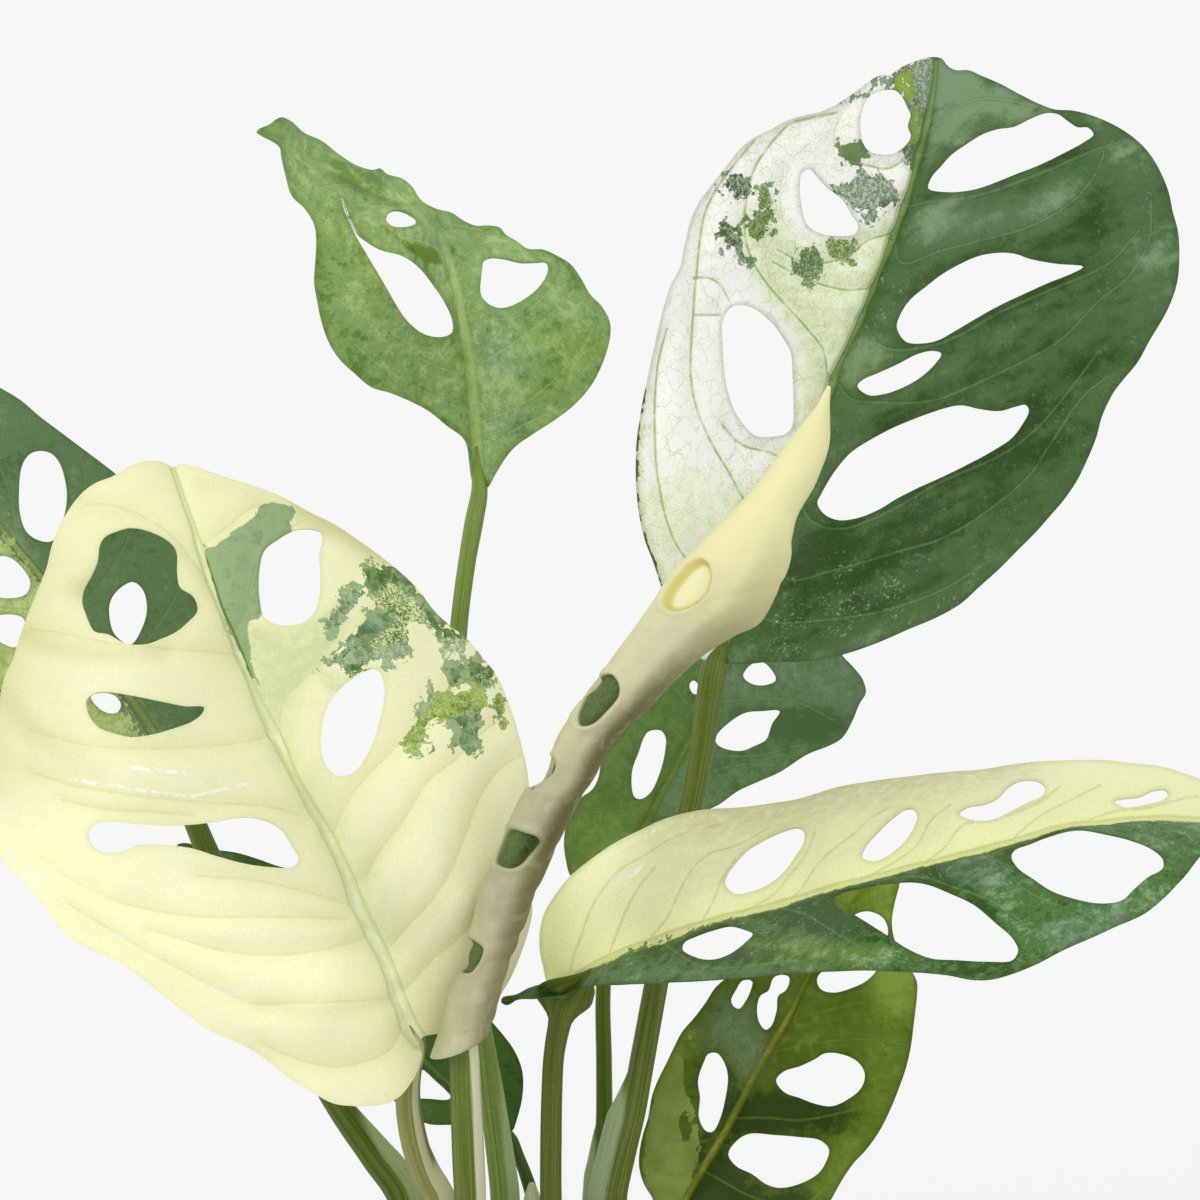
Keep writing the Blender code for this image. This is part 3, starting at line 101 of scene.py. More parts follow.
def smooth(points, closed, step):
    """Points about `step` apart on a smooth curve through the given ones."""
    p = np.array(points, dtype=float)
    n = len(p)
    if closed:
        q = np.vstack([p[-1], p, p[0], p[1]])
        spans = n
    else:
        q = np.vstack([2 * p[0] - p[1], p, 2 * p[-1] - p[-2]])
        spans = n - 1
    fine = []
    for i in range(spans):
        a, b, c, d = q[i], q[i + 1], q[i + 2], q[i + 3]
        t0 = 0.0
        t1 = t0 + max(np.linalg.norm(b - a), 1e-9) ** 0.5
        t2 = t1 + max(np.linalg.norm(c - b), 1e-9) ** 0.5
        t3 = t2 + max(np.linalg.norm(d - c), 1e-9) ** 0.5
        for t in np.linspace(t1, t2, 9)[:-1]:
            a1 = (t1 - t) / (t1 - t0) * a + (t - t0) / (t1 - t0) * b
            a2 = (t2 - t) / (t2 - t1) * b + (t - t1) / (t2 - t1) * c
            a3 = (t3 - t) / (t3 - t2) * c + (t - t2) / (t3 - t2) * d
            b1 = (t2 - t) / (t2 - t0) * a1 + (t - t0) / (t2 - t0) * a2
            b2 = (t3 - t) / (t3 - t1) * a2 + (t - t1) / (t3 - t1) * a3
            fine.append((t2 - t) / (t2 - t1) * b1 + (t - t1) / (t2 - t1) * b2)
    if not closed:
        fine.append(p[-1])
    fine = np.array(fine)
    if closed:
        fine = np.vstack([fine, fine[0]])
    seg = np.linalg.norm(np.diff(fine, axis=0), axis=1)
    s = np.concatenate([[0.0], np.cumsum(seg)])
    m = max(3 if closed else 1, int(round(s[-1] / step)))
    t = np.linspace(0.0, s[-1], m + 1)
    out = np.stack([np.interp(t, s, fine[:, j]) for j in range(p.shape[1])], axis=-1)
    return out[:-1] if closed else out


def inside(poly, pts):
    """Which points lie inside the closed polygon."""
    x, y = pts[:, 0], pts[:, 1]
    res = np.zeros(len(pts), dtype=bool)
    n = len(poly)
    for i in range(n):
        x1, y1 = poly[i]
        x2, y2 = poly[(i + 1) % n]
        if y1 == y2:
            continue
        hit = ((y1 > y) != (y2 > y)) & (x < (x2 - x1) * (y - y1) / (y2 - y1) + x1)
        res ^= hit
    return res


def line_distance(line, pts, closed=False):
    """Distance of each point to a polyline, and how far along it that is (0..1)."""
    a = np.asarray(line, dtype=float)
    b = np.roll(a, -1, axis=0) if closed else a[1:]
    if not closed:
        a = a[:-1]
    seg = b - a
    ll = np.maximum((seg ** 2).sum(-1), 1e-12)
    cum = np.concatenate([[0.0], np.cumsum(np.sqrt(ll))])
    best = np.full(len(pts), 1e18)
    pos = np.zeros(len(pts))
    for i in range(len(a)):
        w = pts - a[i]
        t = np.clip((w * seg[i]).sum(-1) / ll[i], 0.0, 1.0)
        d = ((w - t[:, None] * seg[i]) ** 2).sum(-1)
        m = d < best
        best[m] = d[m]
        pos[m] = (cum[i] + t[m] * math.sqrt(ll[i])) / cum[-1]
    return np.sqrt(best), pos


def spread(outline, holes, ribs, step, edge_step, rib_step):
    """Triangulated sheet: points and triangles inside an outline, round holes,
    with edges along the ribs."""
    loops = [smooth(outline, True, edge_step)]
    for h in holes:
        loops.append(smooth(h, True, min(edge_step, 0.9 * edge_step)))
    lo, hi = loops[0].min(0) - step, loops[0].max(0) + step
    rows = []
    j = 0
    y = lo[1]
    while y < hi[1]:
        xs = np.arange(lo[0] + (0.5 * step if j % 2 else 0.0), hi[0], step)
        rows.append(np.stack([xs, np.full(len(xs), y)], -1))
        y += step * 0.866
        j += 1
    grid = np.vstack(rows)
    keep = inside(loops[0], grid)
    for h in loops[1:]:
        keep &= ~inside(h, grid)
    grid = grid[keep]
    pts, edges = [], []
    for lp in loops:
        k = len(pts)
        pts += [tuple(q) for q in lp]
        edges += [(k + i, k + (i + 1) % len(lp)) for i in range(len(lp))]
        d, _ = line_distance(lp, grid, True)
        grid = grid[d > 0.55 * step]
    for rb in ribs:
        line = smooth(rb, False, rib_step)
        ok = inside(loops[0], line)
        for h in loops[1:]:
            ok &= ~inside(h, line)
        for lp in loops:
            d, _ = line_distance(lp, line, True)
            ok &= d > 0.5 * min(rib_step, edge_step)
        for i in range(len(line)):
            if ok[i]:
                if i > 0 and ok[i - 1]:
                    edges.append((len(pts) - 1, len(pts)))
                pts.append(tuple(line[i]))
        if len(grid):
            d, _ = line_distance(line, grid)
            grid = grid[d > 0.5 * step]
    pts += [tuple(q) for q in grid]
    out = delaunay_2d_cdt([Vector(q) for q in pts], edges, [], 0, 1e-4)
    verts = np.array([(q.x, q.y) for q in out[0]])
    tris = np.array([f for f in out[2] if len(f) == 3])
    cen = verts[tris].mean(1)
    ok = inside(loops[0], cen)
    for h in loops[1:]:
        ok &= ~inside(h, cen)
    tris = tris[ok]
    used = np.unique(tris)
    remap = -np.ones(len(verts), dtype=int)
    remap[used] = np.arange(len(used))
    return verts[used], remap[tris], loops


def thicken(front, back, tris):
    """Closed skin of a sheet from its front and back points."""
    n = len(front)
    verts = np.vstack([front, back])
    faces = [tuple(t) for t in tris] + [(t[0] + n, t[2] + n, t[1] + n) for t in tris]
    seen = {}
    for t in tris:
        for i in range(3):
            a, b = int(t[i]), int(t[(i + 1) % 3])
            seen[(a, b)] = True
    for (a, b) in list(seen):
        if (b, a) not in seen:
            faces.append((b, a, a + n))
            faces.append((b, a + n, b + n))
    return verts, faces


def point_normals(pts, tris):
    nrm = np.cross(pts[tris[:, 1]] - pts[tris[:, 0]], pts[tris[:, 2]] - pts[tris[:, 0]])
    acc = np.zeros_like(pts)
    for i in range(3):
        np.add.at(acc, tris[:, i], nrm)
    return acc / np.maximum(np.linalg.norm(acc, axis=1, keepdims=True), 1e-12)


def face_eye(pts, tris):
    """Turns every triangle of the sheet towards the eye side."""
    nrm = np.cross(pts[tris[:, 1]] - pts[tris[:, 0]], pts[tris[:, 2]] - pts[tris[:, 0]])
    view = np.array(EYE) - pts[tris].mean(1)
    flip = (nrm * view).sum(-1) < 0
    tris = tris.copy()
    tris[flip] = tris[flip][:, ::-1]
    return tris


# ---------------------------------------------------------------------------
# Leaf blades, on the sheet: outline from the base round to the base again,
# holes, midrib from base to tip, depths in mm, and the midrib's furrow
# (depth in mm, half width in sheet units).
# ---------------------------------------------------------------------------
BLADES = {}

BLADES["leaf_cream_front"] = dict(
    outline=[(420, 1041), (422, 1055), (418, 1070), (410, 1085), (400, 1097), (388, 1104), (372, 1107),
             (350, 1107), (335, 1105), (320, 1098), (305, 1089), (290, 1080), (262, 1057), (240, 1043),
             (215, 1032), (198, 1022), (178, 1007), (150, 985), (125, 966), (108, 956), (92, 950),
             (75, 940), (60, 927), (45, 908), (30, 890), (14, 874), (0, 857), (-7, 830), (-9, 795),
             (-9, 760), (-6, 728), (-1, 700), (5, 676), (13, 660), (19, 640), (28, 615), (38, 590),
             (47, 568), (53, 545), (61, 525), (70, 510), (81, 496), (95, 485), (112, 478), (130, 467),
             (148, 462), (162, 463), (172, 468), (182, 465), (195, 467), (220, 476), (250, 486),
             (280, 497), (305, 510), (335, 525), (360, 542), (385, 560), (405, 577), (420, 592),
             (432, 609), (446, 623), (464, 638), (483, 659), (497, 677), (505, 697), (513, 720),
             (520, 745), (527, 772), (532, 810), (533, 855), (531, 895), (532, 912), (527, 935),
             (518, 960), (508, 982), (494, 1003), (476, 1019), (455, 1030), (436, 1034), (426, 1036)],
    holes=[
        [(130, 529), (115, 533), (105, 538), (100, 547), (98, 562), (92, 576), (84, 590), (82, 602),
         (86, 615), (94, 631), (108, 634), (125, 643), (145, 645), (160, 640), (175, 633), (187, 623),
         (197, 611), (193, 597), (180, 588), (177, 575), (176, 552), (168, 542), (148, 532)],
        [(86, 700), (95, 693), (108, 692), (135, 696), (165, 702), (185, 706), (205, 707), (203, 713),
         (193, 721), (172, 729), (150, 735), (130, 737), (113, 733), (98, 727), (88, 714)],
        [(88, 833), (94, 825), (108, 822), (150, 825), (187, 825), (215, 822), (240, 818), (260, 820),
         (280, 830), (290, 845), (298, 860), (292, 867), (265, 867), (240, 863), (215, 856), (190, 848),
         (165, 845), (140, 845), (125, 851), (105, 853), (92, 846)],
        [(322, 533), (320, 555), (321, 575), (319, 600), (309, 619), (295, 625), (278, 625), (264, 618),
         (259, 600), (259, 572), (265, 550), (277, 540), (295, 530), (311, 529)],
        [(377, 669), (384, 682), (384, 702), (378, 728), (367, 755), (355, 771), (340, 776), (328, 769),
         (321, 750), (322, 728), (327, 708), (338, 691), (352, 679), (365, 671)],
    ],
    midrib=[(420, 1041), (412, 1030), (403, 1010), (395, 990), (388, 970), (375, 940), (358, 905),
            (345, 872), (330, 840), (310, 805), (293, 775), (280, 745), (270, 725), (255, 695),
            (243, 665), (233, 640), (220, 610), (210, 580), (200, 550), (192, 525), (183, 500),
            (177, 482), (172, 468)],
    depth=[(420, 1041, -18), (400, 1092, -20), (340, 1104, -27), (270, 1062, -34), (180, 1007, -41),
           (95, 950, -46), (20, 880, -50), (-9, 790, -47), (5, 676, -40), (38, 590, -33), (70, 510, -26),
           (130, 467, -19), (172, 468, -17), (250, 486, -15), (335, 525, -11), (420, 592, -9),
           (483, 659, -10), (520, 745, -12), (533, 855, -14), (518, 960, -13), (476, 1019, -12),
           (200, 540, -27), (250, 680, -33), (320, 820, -35), (385, 960, -27), (110, 660, -45),
           (120, 800, -54), (220, 930, -50), (320, 1010, -38), (360, 640, -24), (430, 780, -29),
           (470, 900, -25)],
    furrow=(2.4, 13))

BLADES["leaf_green_left"] = dict(
    outline=[(175, 776), (160, 788), (125, 790), (85, 778), (45, 755), (10, 725), (-25, 685), (-55, 635),
             (-80, 580), (-98, 520), (-108, 460), (-112, 400), (-100, 372), (-70, 362), (-35, 370),
             (0, 388), (20, 400), (40, 417), (60, 432), (80, 447), (100, 462), (118, 476), (150, 503),
             (182, 540), (208, 585), (225, 635), (231, 685), (224, 735), (205, 768), (188, 782)],
    holes=[
        [(41, 451), (52, 454), (60, 464), (65, 480), (67, 497), (63, 520), (52, 541), (38, 540),
         (26, 531), (20, 513), (19, 495), (22, 466), (30, 454)],
        [(-22, 572), (-8, 558), (8, 556), (22, 566), (31, 582), (26, 594), (8, 598), (-14, 592)],
        [(-10, 620), (5, 614), (24, 618), (24, 632), (16, 647), (2, 643), (-8, 634)],
        [(90, 697), (102, 693), (115, 696), (121, 705), (116, 713), (102, 711)],
        [(133, 582), (118, 590), (110, 602), (109, 616), (114, 634), (130, 645), (142, 628), (147, 608),
         (143, 590)],
        [(-40, 440), (-22, 452), (-14, 480), (-20, 510), (-34, 515), (-48, 492), (-50, 460)],
    ],
    midrib=[(175, 776), (153, 733), (127, 695), (98, 655), (70, 617), (42, 578), (20, 552), (0, 527),
            (-35, 482), (-70, 435), (-100, 385)],
    depth=[(175, 776, 33), (100, 780, 27), (10, 725, 19), (-55, 635, 17), (-98, 520, 22), (-105, 385, 32),
           (-35, 370, 34), (60, 432, 37), (150, 503, 41), (225, 635, 42), (224, 735, 38), (98, 655, 30),
           (0, 527, 29), (60, 700, 24), (130, 560, 38)],
    furrow=(2.0, 12))

BLADES["leaf_green_low"] = dict(
    outline=[(510, 1133), (519, 1112), (523, 1090), (522, 1070), (514, 1050), (504, 1036), (493, 1023),
             (470, 998), (440, 962), (402, 920), (355, 888), (310, 873), (278, 866), (258, 859),
             (238, 853), (218, 850), (200, 847), (186, 843), (176, 846), (184, 868), (206, 912),
             (240, 962), (282, 1012), (325, 1050), (365, 1078), (398, 1104), (425, 1123), (453, 1125),
             (480, 1126), (498, 1130)],
    holes=[
        [(404, 1078), (421, 1069), (436, 1080), (450, 1093), (450, 1099), (430, 1099), (412, 1096)],
        [(330, 1020), (350, 1024), (372, 1040), (384, 1058), (370, 1060), (346, 1044)],
        [(392, 948), (414, 962), (436, 988), (444, 1010), (430, 1012), (410, 992), (394, 968)],
        [(300, 905), (325, 910), (345, 925), (340, 935), (318, 928), (300, 915)],
        [(255, 930), (272, 938), (290, 960), (294, 975), (280, 970), (262, 950)],
    ],
    midrib=[(510, 1133), (484, 1112), (455, 1090), (425, 1062), (395, 1030), (350, 985), (300, 940),
            (245, 895), (205, 865), (178, 846)],
    depth=[(510, 1133, 20), (521, 1080, 22), (493, 1023, 26), (440, 962, 34), (355, 888, 44),
           (258, 859, 50), (178, 846, 54), (240, 962, 44), (325, 1050, 34), (425, 1123, 22),
           (425, 1062, 28), (350, 985, 38), (470, 1060, 24)],
    furrow=(1.6, 10))

BLADES["leaf_green_top"] = dict(
    outline=[(479, 487), (474, 478), (469, 450), (463, 438), (447, 426), (430, 412), (410, 401),
             (388, 392), (371, 387), (354, 373), (340, 360), (328, 341), (321, 320), (317, 300),
             (314, 283), (315, 262), (316, 240), (314, 224), (305, 208), (293, 196), (287, 176),
             (283, 155), (281, 145), (262, 135), (257, 131), (270, 124), (281, 117), (292, 121),
             (305, 132), (322, 140), (338, 154), (354, 166), (372, 171), (380, 169), (386, 175),
             (400, 180), (411, 189), (420, 202), (436, 210), (450, 213), (463, 221), (475, 226),
             (488, 226), (500, 228), (505, 234), (518, 242), (527, 249), (543, 250), (558, 257),
             (570, 264), (580, 277), (590, 293), (602, 305), (610, 320), (611, 332), (607, 352),
             (600, 370), (590, 388), (574, 405), (553, 421), (533, 434), (516, 446), (505, 459),
             (495, 475), (487, 488)],
    holes=[
        [(340, 197), (344, 205), (349, 218), (357, 233), (368, 242), (382, 250), (402, 256), (421, 270),
         (436, 288), (446, 304), (453, 320), (452, 333), (441, 337), (424, 334), (408, 322), (395, 303),
         (381, 278), (366, 253), (355, 234), (347, 216)],
        [(386, 220), (389, 213), (398, 211), (408, 214), (416, 222), (412, 226), (401, 228), (391, 226)],
        [(484, 261), (492, 258), (504, 259), (520, 263), (535, 263), (546, 263), (548, 269), (544, 280),
         (534, 292), (518, 303), (502, 308), (489, 304), (481, 294), (481, 276)],
    ],
    midrib=[(479, 487), (477, 460), (475, 424), (473, 393), (468, 350), (461, 310), (455, 278),
            (449, 256), (438, 233), (420, 217), (398, 205), (376, 196), (354, 185), (333, 172),
            (308, 155), (280, 139), (259, 131)],
    depth=[(479, 487, 13), (475, 424, 10), (468, 350, 6), (455, 278, 2), (420, 217, -2), (376, 196, -4),
           (333, 172, -9), (259, 131, -20), (447, 426, 9), (388, 392, -2), (328, 341, -12),
           (314, 262, -15), (287, 176, -18), (283, 150, -19), (281, 117, -15), (338, 154, 2),
           (400, 180, 9), (463, 221, 15), (543, 250, 20), (602, 305, 21), (600, 370, 14),
           (533, 434, 10), (380, 320, -10), (530, 350, 6), (505, 459, 11)],
    furrow=(1.8, 10))

BLADES["leaf_green_back"] = dict(
    outline=[(626, 872), (606, 878), (585, 882), (571, 876), (566, 860), (564, 842), (567, 822),
             (573, 808), (582, 797), (592, 790), (598, 779), (600, 764), (597, 745), (604, 720),
             (622, 692), (645, 668), (672, 648), (702, 632), (735, 614), (765, 600), (790, 592),
             (812, 606), (830, 630), (842, 655), (853, 667), (863, 680), (866, 693), (860, 703),
             (852, 722), (842, 738), (828, 746), (808, 754), (780, 772), (760, 781), (738, 791),
             (720, 804), (704, 812), (680, 826), (655, 846), (640, 862)],
    holes=[
        [(647, 732), (654, 730), (662, 731), (666, 738), (665, 752), (659, 775), (651, 792), (641, 799),
         (634, 797), (631, 786), (632, 768), (638, 752), (642, 740)],
        [(717, 735), (730, 722), (745, 713), (762, 711), (780, 711), (772, 724), (766, 740), (755, 746),
         (742, 751), (725, 749), (716, 743)],
        [(743, 676), (752, 664), (762, 662), (770, 668), (776, 680), (766, 685), (752, 684)],
        [(689, 684), (693, 680), (699, 686), (699, 694), (692, 693)],
    ],
    midrib=[(626, 872), (634, 850), (645, 825), (665, 785), (686, 746), (708, 703), (731, 660),
            (760, 620), (790, 592)],
    depth=[(626, 872, 44), (571, 876, 40), (564, 842, 40), (600, 764, 44), (645, 668, 50), (735, 614, 58),
           (790, 592, 64), (842, 655, 62), (866, 693, 60), (808, 754, 55), (704, 812, 48),
           (645, 825, 50), (686, 746, 56), (731, 660, 61)],
    furrow=(1.6, 10))

BLADES["leaf_half_cream_side"] = dict(
    outline=[(562, 992), (553, 984), (547, 981), (543, 966), (540, 945), (541, 925), (546, 909),
             (556, 893), (571, 876), (590, 860), (612, 845), (640, 831), (668, 819), (700, 811),
             (735, 808), (770, 804), (800, 799), (835, 789), (865, 783), (900, 778), (940, 773),
             (985, 769), (1025, 764), (1065, 761), (1100, 761), (1135, 764), (1166, 768), (1190, 776),
             (1222, 788), (1252, 806), (1276, 830), (1290, 858), (1272, 852), (1250, 846), (1228, 842),
             (1205, 852), (1185, 876), (1165, 897), (1142, 915), (1112, 928), (1085, 940), (1060, 951),
             (1035, 963), (1012, 973), (992, 979), (972, 980), (950, 976), (925, 973), (895, 971),
             (860, 970), (815, 972), (770, 975), (730, 978), (690, 981), (650, 983), (615, 985),
             (588, 987), (560, 995), (536, 998), (518, 999), (507, 1005), (501, 1002), (503, 998),
             (516, 995), (530, 988), (545, 985)],
    holes=[
        [(725, 884), (727, 875), (734, 864), (746, 851), (762, 841), (782, 832), (798, 828), (804, 832),
         (804, 843), (795, 857), (786, 870), (770, 884), (750, 892), (735, 894)],
        [(862, 857), (866, 846), (878, 832), (892, 818), (905, 809), (913, 809), (917, 816), (914, 826),
         (904, 842), (890, 855), (876, 862), (867, 861)],
        [(959, 814), (968, 807), (985, 804), (998, 798), (1008, 788), (1020, 782), (1038, 782),
         (1045, 788), (1043, 796), (1026, 804), (1008, 813), (992, 820), (972, 820)],
        [(1114, 801), (1124, 799), (1140, 797), (1154, 791), (1166, 791), (1168, 796), (1160, 802),
         (1142, 806), (1124, 808)],
        [(682, 949), (684, 941), (697, 935), (712, 930), (729, 926), (743, 929), (753, 934), (745, 943),
         (731, 953), (714, 959), (698, 958)],
        [(833, 899), (842, 892), (862, 888), (890, 884), (915, 883), (930, 886), (950, 894), (975, 906),
         (995, 922), (1012, 937), (1018, 950), (1012, 960), (990, 962), (960, 962), (930, 959),
         (905, 948), (880, 932), (855, 916), (838, 908)],
        [(1011, 856), (1014, 849), (1030, 842), (1050, 834), (1075, 830), (1100, 834), (1130, 841),
         (1152, 850), (1163, 860), (1162, 870), (1148, 878), (1134, 890), (1122, 901), (1102, 904),
         (1078, 900), (1052, 891), (1032, 878), (1018, 868)],
    ],
    midrib=[(562, 990), (576, 979), (602, 963), (644, 945), (686, 930), (728, 918), (770, 906),
            (813, 895), (855, 883), (897, 872), (939, 861), (981, 850), (1023, 838), (1065, 827),
            (1100, 823), (1135, 820), (1170, 819), (1205, 822), (1245, 834), (1275, 848), (1288, 857)],
    depth=[(562, 990, -10), (547, 981, -8), (541, 935, -6), (556, 893, -3), (590, 860, 0),
           (668, 819, 1), (770, 804, -4), (865, 783, -11), (985, 769, -20), (1100, 761, -27),
           (1190, 776, -31), (1276, 830, -36), (644, 945, -21), (728, 918, -32), (813, 895, -41),
           (897, 872, -48), (981, 850, -53), (1065, 827, -55), (1135, 820, -54), (1205, 822, -50),
           (1288, 857, -42), (503, 1001, -15), (536, 998, -18), (588, 987, -24), (650, 983, -38),
           (730, 978, -54), (815, 972, -68), (895, 971, -78), (972, 980, -84), (1035, 963, -84),
           (1112, 928, -80), (1165, 897, -74), (1205, 852, -62), (1250, 846, -48), (620, 890, -13),
           (700, 870, -19), (830, 835, -30), (960, 800, -40), (1080, 795, -43), (860, 930, -68),
           (1060, 905, -74)],
    furrow=(2.0, 9))

BLADES["leaf_half_white_top"] = dict(
    outline=[(716, 662), (700, 658), (682, 640), (670, 612), (662, 587), (654, 562), (646, 541),
             (640, 515), (637, 490), (636, 466), (637, 440), (641, 412), (645, 392), (651, 366),
             (658, 335), (665, 305), (672, 283), (680, 268), (685, 246), (692, 220), (700, 202),
             (712, 186), (726, 168), (740, 150), (754, 138), (770, 130), (786, 121), (802, 116),
             (820, 112), (834, 106), (850, 96), (866, 84), (878, 76), (890, 75), (900, 68),
             (915, 61), (930, 57), (941, 58), (948, 66), (956, 70), (968, 70), (982, 76), (1000, 84),
             (1020, 95), (1038, 104), (1055, 110), (1072, 111), (1092, 116), (1112, 124), (1132, 136),
             (1148, 151), (1160, 170), (1169, 192), (1173, 212), (1178, 232), (1179, 258), (1177, 282),
             (1170, 304), (1162, 320), (1150, 340), (1138, 362), (1125, 378), (1114, 392), (1102, 416),
             (1096, 438), (1086, 462), (1076, 482), (1062, 502), (1050, 516), (1036, 532), (1018, 550),
             (1000, 568), (980, 586), (960, 604), (935, 618), (905, 630), (870, 645), (838, 656),
             (802, 662), (768, 662), (742, 664), (728, 663)],
    holes=[
        [(868, 98), (878, 92), (896, 90), (904, 98), (908, 106), (912, 114), (909, 126), (912, 136),
         (904, 148), (892, 154), (874, 153), (866, 148), (861, 134), (861, 116)],
        [(800, 182), (802, 173), (810, 169), (818, 177), (828, 188), (842, 199), (852, 214), (859, 226),
         (855, 234), (838, 236), (822, 234), (808, 226), (802, 210)],
        [(722, 340), (722, 322), (730, 308), (742, 305), (756, 309), (772, 322), (784, 338), (792, 352),
         (794, 380), (794, 408), (793, 425), (786, 434), (770, 437), (757, 436), (744, 424), (733, 406),
         (725, 380)],
        [(928, 188), (931, 177), (940, 167), (952, 154), (966, 144), (982, 134), (998, 129), (1014, 127),
         (1030, 119), (1046, 113), (1058, 114), (1068, 121), (1078, 127), (1088, 127), (1094, 134),
         (1084, 142), (1064, 153), (1042, 164), (1018, 174), (995, 183), (972, 190), (948, 192)],
        [(897, 328), (900, 316), (910, 300), (925, 287), (942, 274), (960, 264), (980, 256), (1000, 253),
         (1015, 254), (1030, 259), (1055, 263), (1084, 266), (1072, 273), (1050, 282), (1025, 294),
         (1000, 306), (975, 320), (955, 332), (938, 341), (922, 344), (906, 342)],
        [(857, 386), (862, 380), (878, 373), (898, 364), (918, 354), (934, 351), (942, 354), (936, 364),
         (922, 377), (905, 387), (885, 394), (868, 395)],
        [(817, 503), (821, 494), (834, 472), (850, 453), (868, 441), (890, 429), (915, 418), (940, 409),
         (960, 405), (980, 409), (1000, 411), (1015, 407), (1026, 405), (1029, 411), (1022, 425),
         (1012, 438), (994, 450), (972, 462), (948, 474), (920, 487), (898, 498), (878, 510),
         (858, 518), (838, 520), (824, 514)],
    ],
    midrib=[(716, 662), (728, 636), (742, 602), (758, 566), (776, 526), (794, 484), (810, 444),
            (822, 410), (833, 378), (846, 348), (860, 318), (872, 288), (882, 262), (893, 234),
            (903, 206), (912, 178), (920, 150), (927, 124), (932, 98), (935, 76), (936, 58)],
    depth=[(716, 662, 10), (742, 602, 13), (776, 526, 15), (810, 444, 17), (846, 348, 18),
           (882, 262, 21), (912, 178, 26), (932, 98, 32), (936, 58, 36), (670, 612, 3), (640, 515, -4),
           (641, 412, -7), (665, 305, -6), (700, 202, -1), (754, 138, 6), (834, 106, 18),
           (890, 75, 28), (968, 70, 35), (1038, 104, 31), (1112, 124, 28), (1160, 170, 24),
           (1179, 258, 17), (1150, 340, 10), (1102, 416, 5), (1050, 516, 0), (980, 586, -5),
           (870, 645, -5), (768, 662, 3), (700, 430, 0), (760, 240, 8), (950, 440, 4),
           (1020, 330, 8), (1050, 200, 17), (900, 560, 0), (740, 520, 7)],
    furrow=(2.6, 12))

BLADES["leaf_green_right"] = dict(
    outline=[(661, 1262), (652, 1264), (647, 1252), (648, 1232), (652, 1212), (653, 1200), (645, 1186),
             (640, 1172), (639, 1158), (642, 1138), (648, 1118), (652, 1096), (658, 1080), (667, 1062),
             (675, 1045), (682, 1032), (694, 1018), (706, 1002), (715, 988), (730, 975), (755, 956),
             (782, 930), (812, 902), (836, 882), (860, 871), (888, 868), (900, 873), (899, 886),
             (895, 902), (892, 920), (894, 938), (903, 956), (911, 970), (917, 982), (917, 996),
             (914, 1022), (911, 1046), (906, 1068), (899, 1088), (891, 1108), (880, 1130), (866, 1150),
             (853, 1164), (841, 1182), (831, 1200), (815, 1224), (790, 1250), (755, 1272), (715, 1283),
             (684, 1280), (668, 1270)],
    holes=[
        [(731, 1000), (736, 990), (742, 981), (752, 981), (750, 992), (745, 1002), (739, 1009), (733, 1006)],
        [(757, 1008), (760, 996), (768, 991), (773, 978), (781, 975), (789, 977), (786, 990), (778, 996),
         (777, 1010), (772, 1026), (766, 1030), (759, 1022)],
        [(817, 980), (822, 972), (845, 962), (868, 958), (878, 966), (868, 980), (850, 989), (834, 993),
         (821, 990)],
        [(700, 1072), (704, 1062), (708, 1054), (717, 1053), (724, 1062), (728, 1076), (726, 1096),
         (720, 1120), (713, 1132), (706, 1131), (699, 1118), (700, 1098), (698, 1082)],
        [(776, 1080), (784, 1071), (800, 1066), (815, 1059), (825, 1053), (842, 1054), (858, 1062),
         (865, 1074), (861, 1088), (848, 1099), (832, 1106), (816, 1104), (800, 1098), (784, 1092)],
        [(728, 1154), (734, 1143), (748, 1134), (775, 1135), (800, 1137), (820, 1140), (829, 1149),
         (826, 1162), (818, 1174), (800, 1184), (780, 1188), (766, 1184), (752, 1174), (736, 1166)],
        [(846, 926), (852, 916), (864, 911), (876, 913), (885, 920), (888, 934), (880, 944), (862, 944)],
    ],
    midrib=[(661, 1262), (671, 1232), (685, 1200), (702, 1170), (716, 1146), (729, 1124), (741, 1102),
            (752, 1080), (768, 1052), (784, 1025), (797, 1000), (809, 975), (835, 930), (863, 893),
            (888, 871)],
    depth=[(661, 1262, 17), (645, 1186, 22), (652, 1096, 27), (694, 1018, 32), (755, 956, 36),
           (842, 876, 44), (896, 849, 50), (894, 938, 42), (917, 982, 36), (906, 1068, 28),
           (866, 1150, 20), (815, 1224, 14), (715, 1283, 12), (702, 1170, 22), (741, 1102, 26),
           (784, 1025, 32), (835, 930, 42), (820, 1100, 25)],
    furrow=(1.8, 10))

# The newest leaf is still rolled up: centre line (u, v, depth mm) from its
# base to its tip, and the roll's half width on the sheet.
ROLL = [(461, 1043, -21, 29), (473, 1000, -23, 28), (486, 960, -25, 29), (499, 919, -27, 29),
        (512, 888, -29, 28), (526, 857, -31, 28), (540, 822, -33, 27), (555, 788, -35, 25),
        (581, 746, -38, 25), (613, 703, -41, 27), (650, 660, -44, 32), (693, 618, -46, 41),
        (737, 572, -47, 47), (768, 522, -47, 35), (796, 472, -46, 25), (816, 428, -44, 15),
        (828, 396, -42, 6)]

# Short vine stems: world foot, world head, radius at the foot (metres).
STEMS = {
    "stem_left": ((-0.0150, 0.0030, 0.0860), (-0.0125, -0.0010, 0.1490), 0.0039),
    "stem_middle": ((0.0030, 0.0065, 0.0860), (0.0035, 0.0045, 0.1440), 0.0040),
    "stem_right": ((0.0195, 0.0170, 0.0860), (0.0195, 0.0140, 0.1480), 0.0041),
}

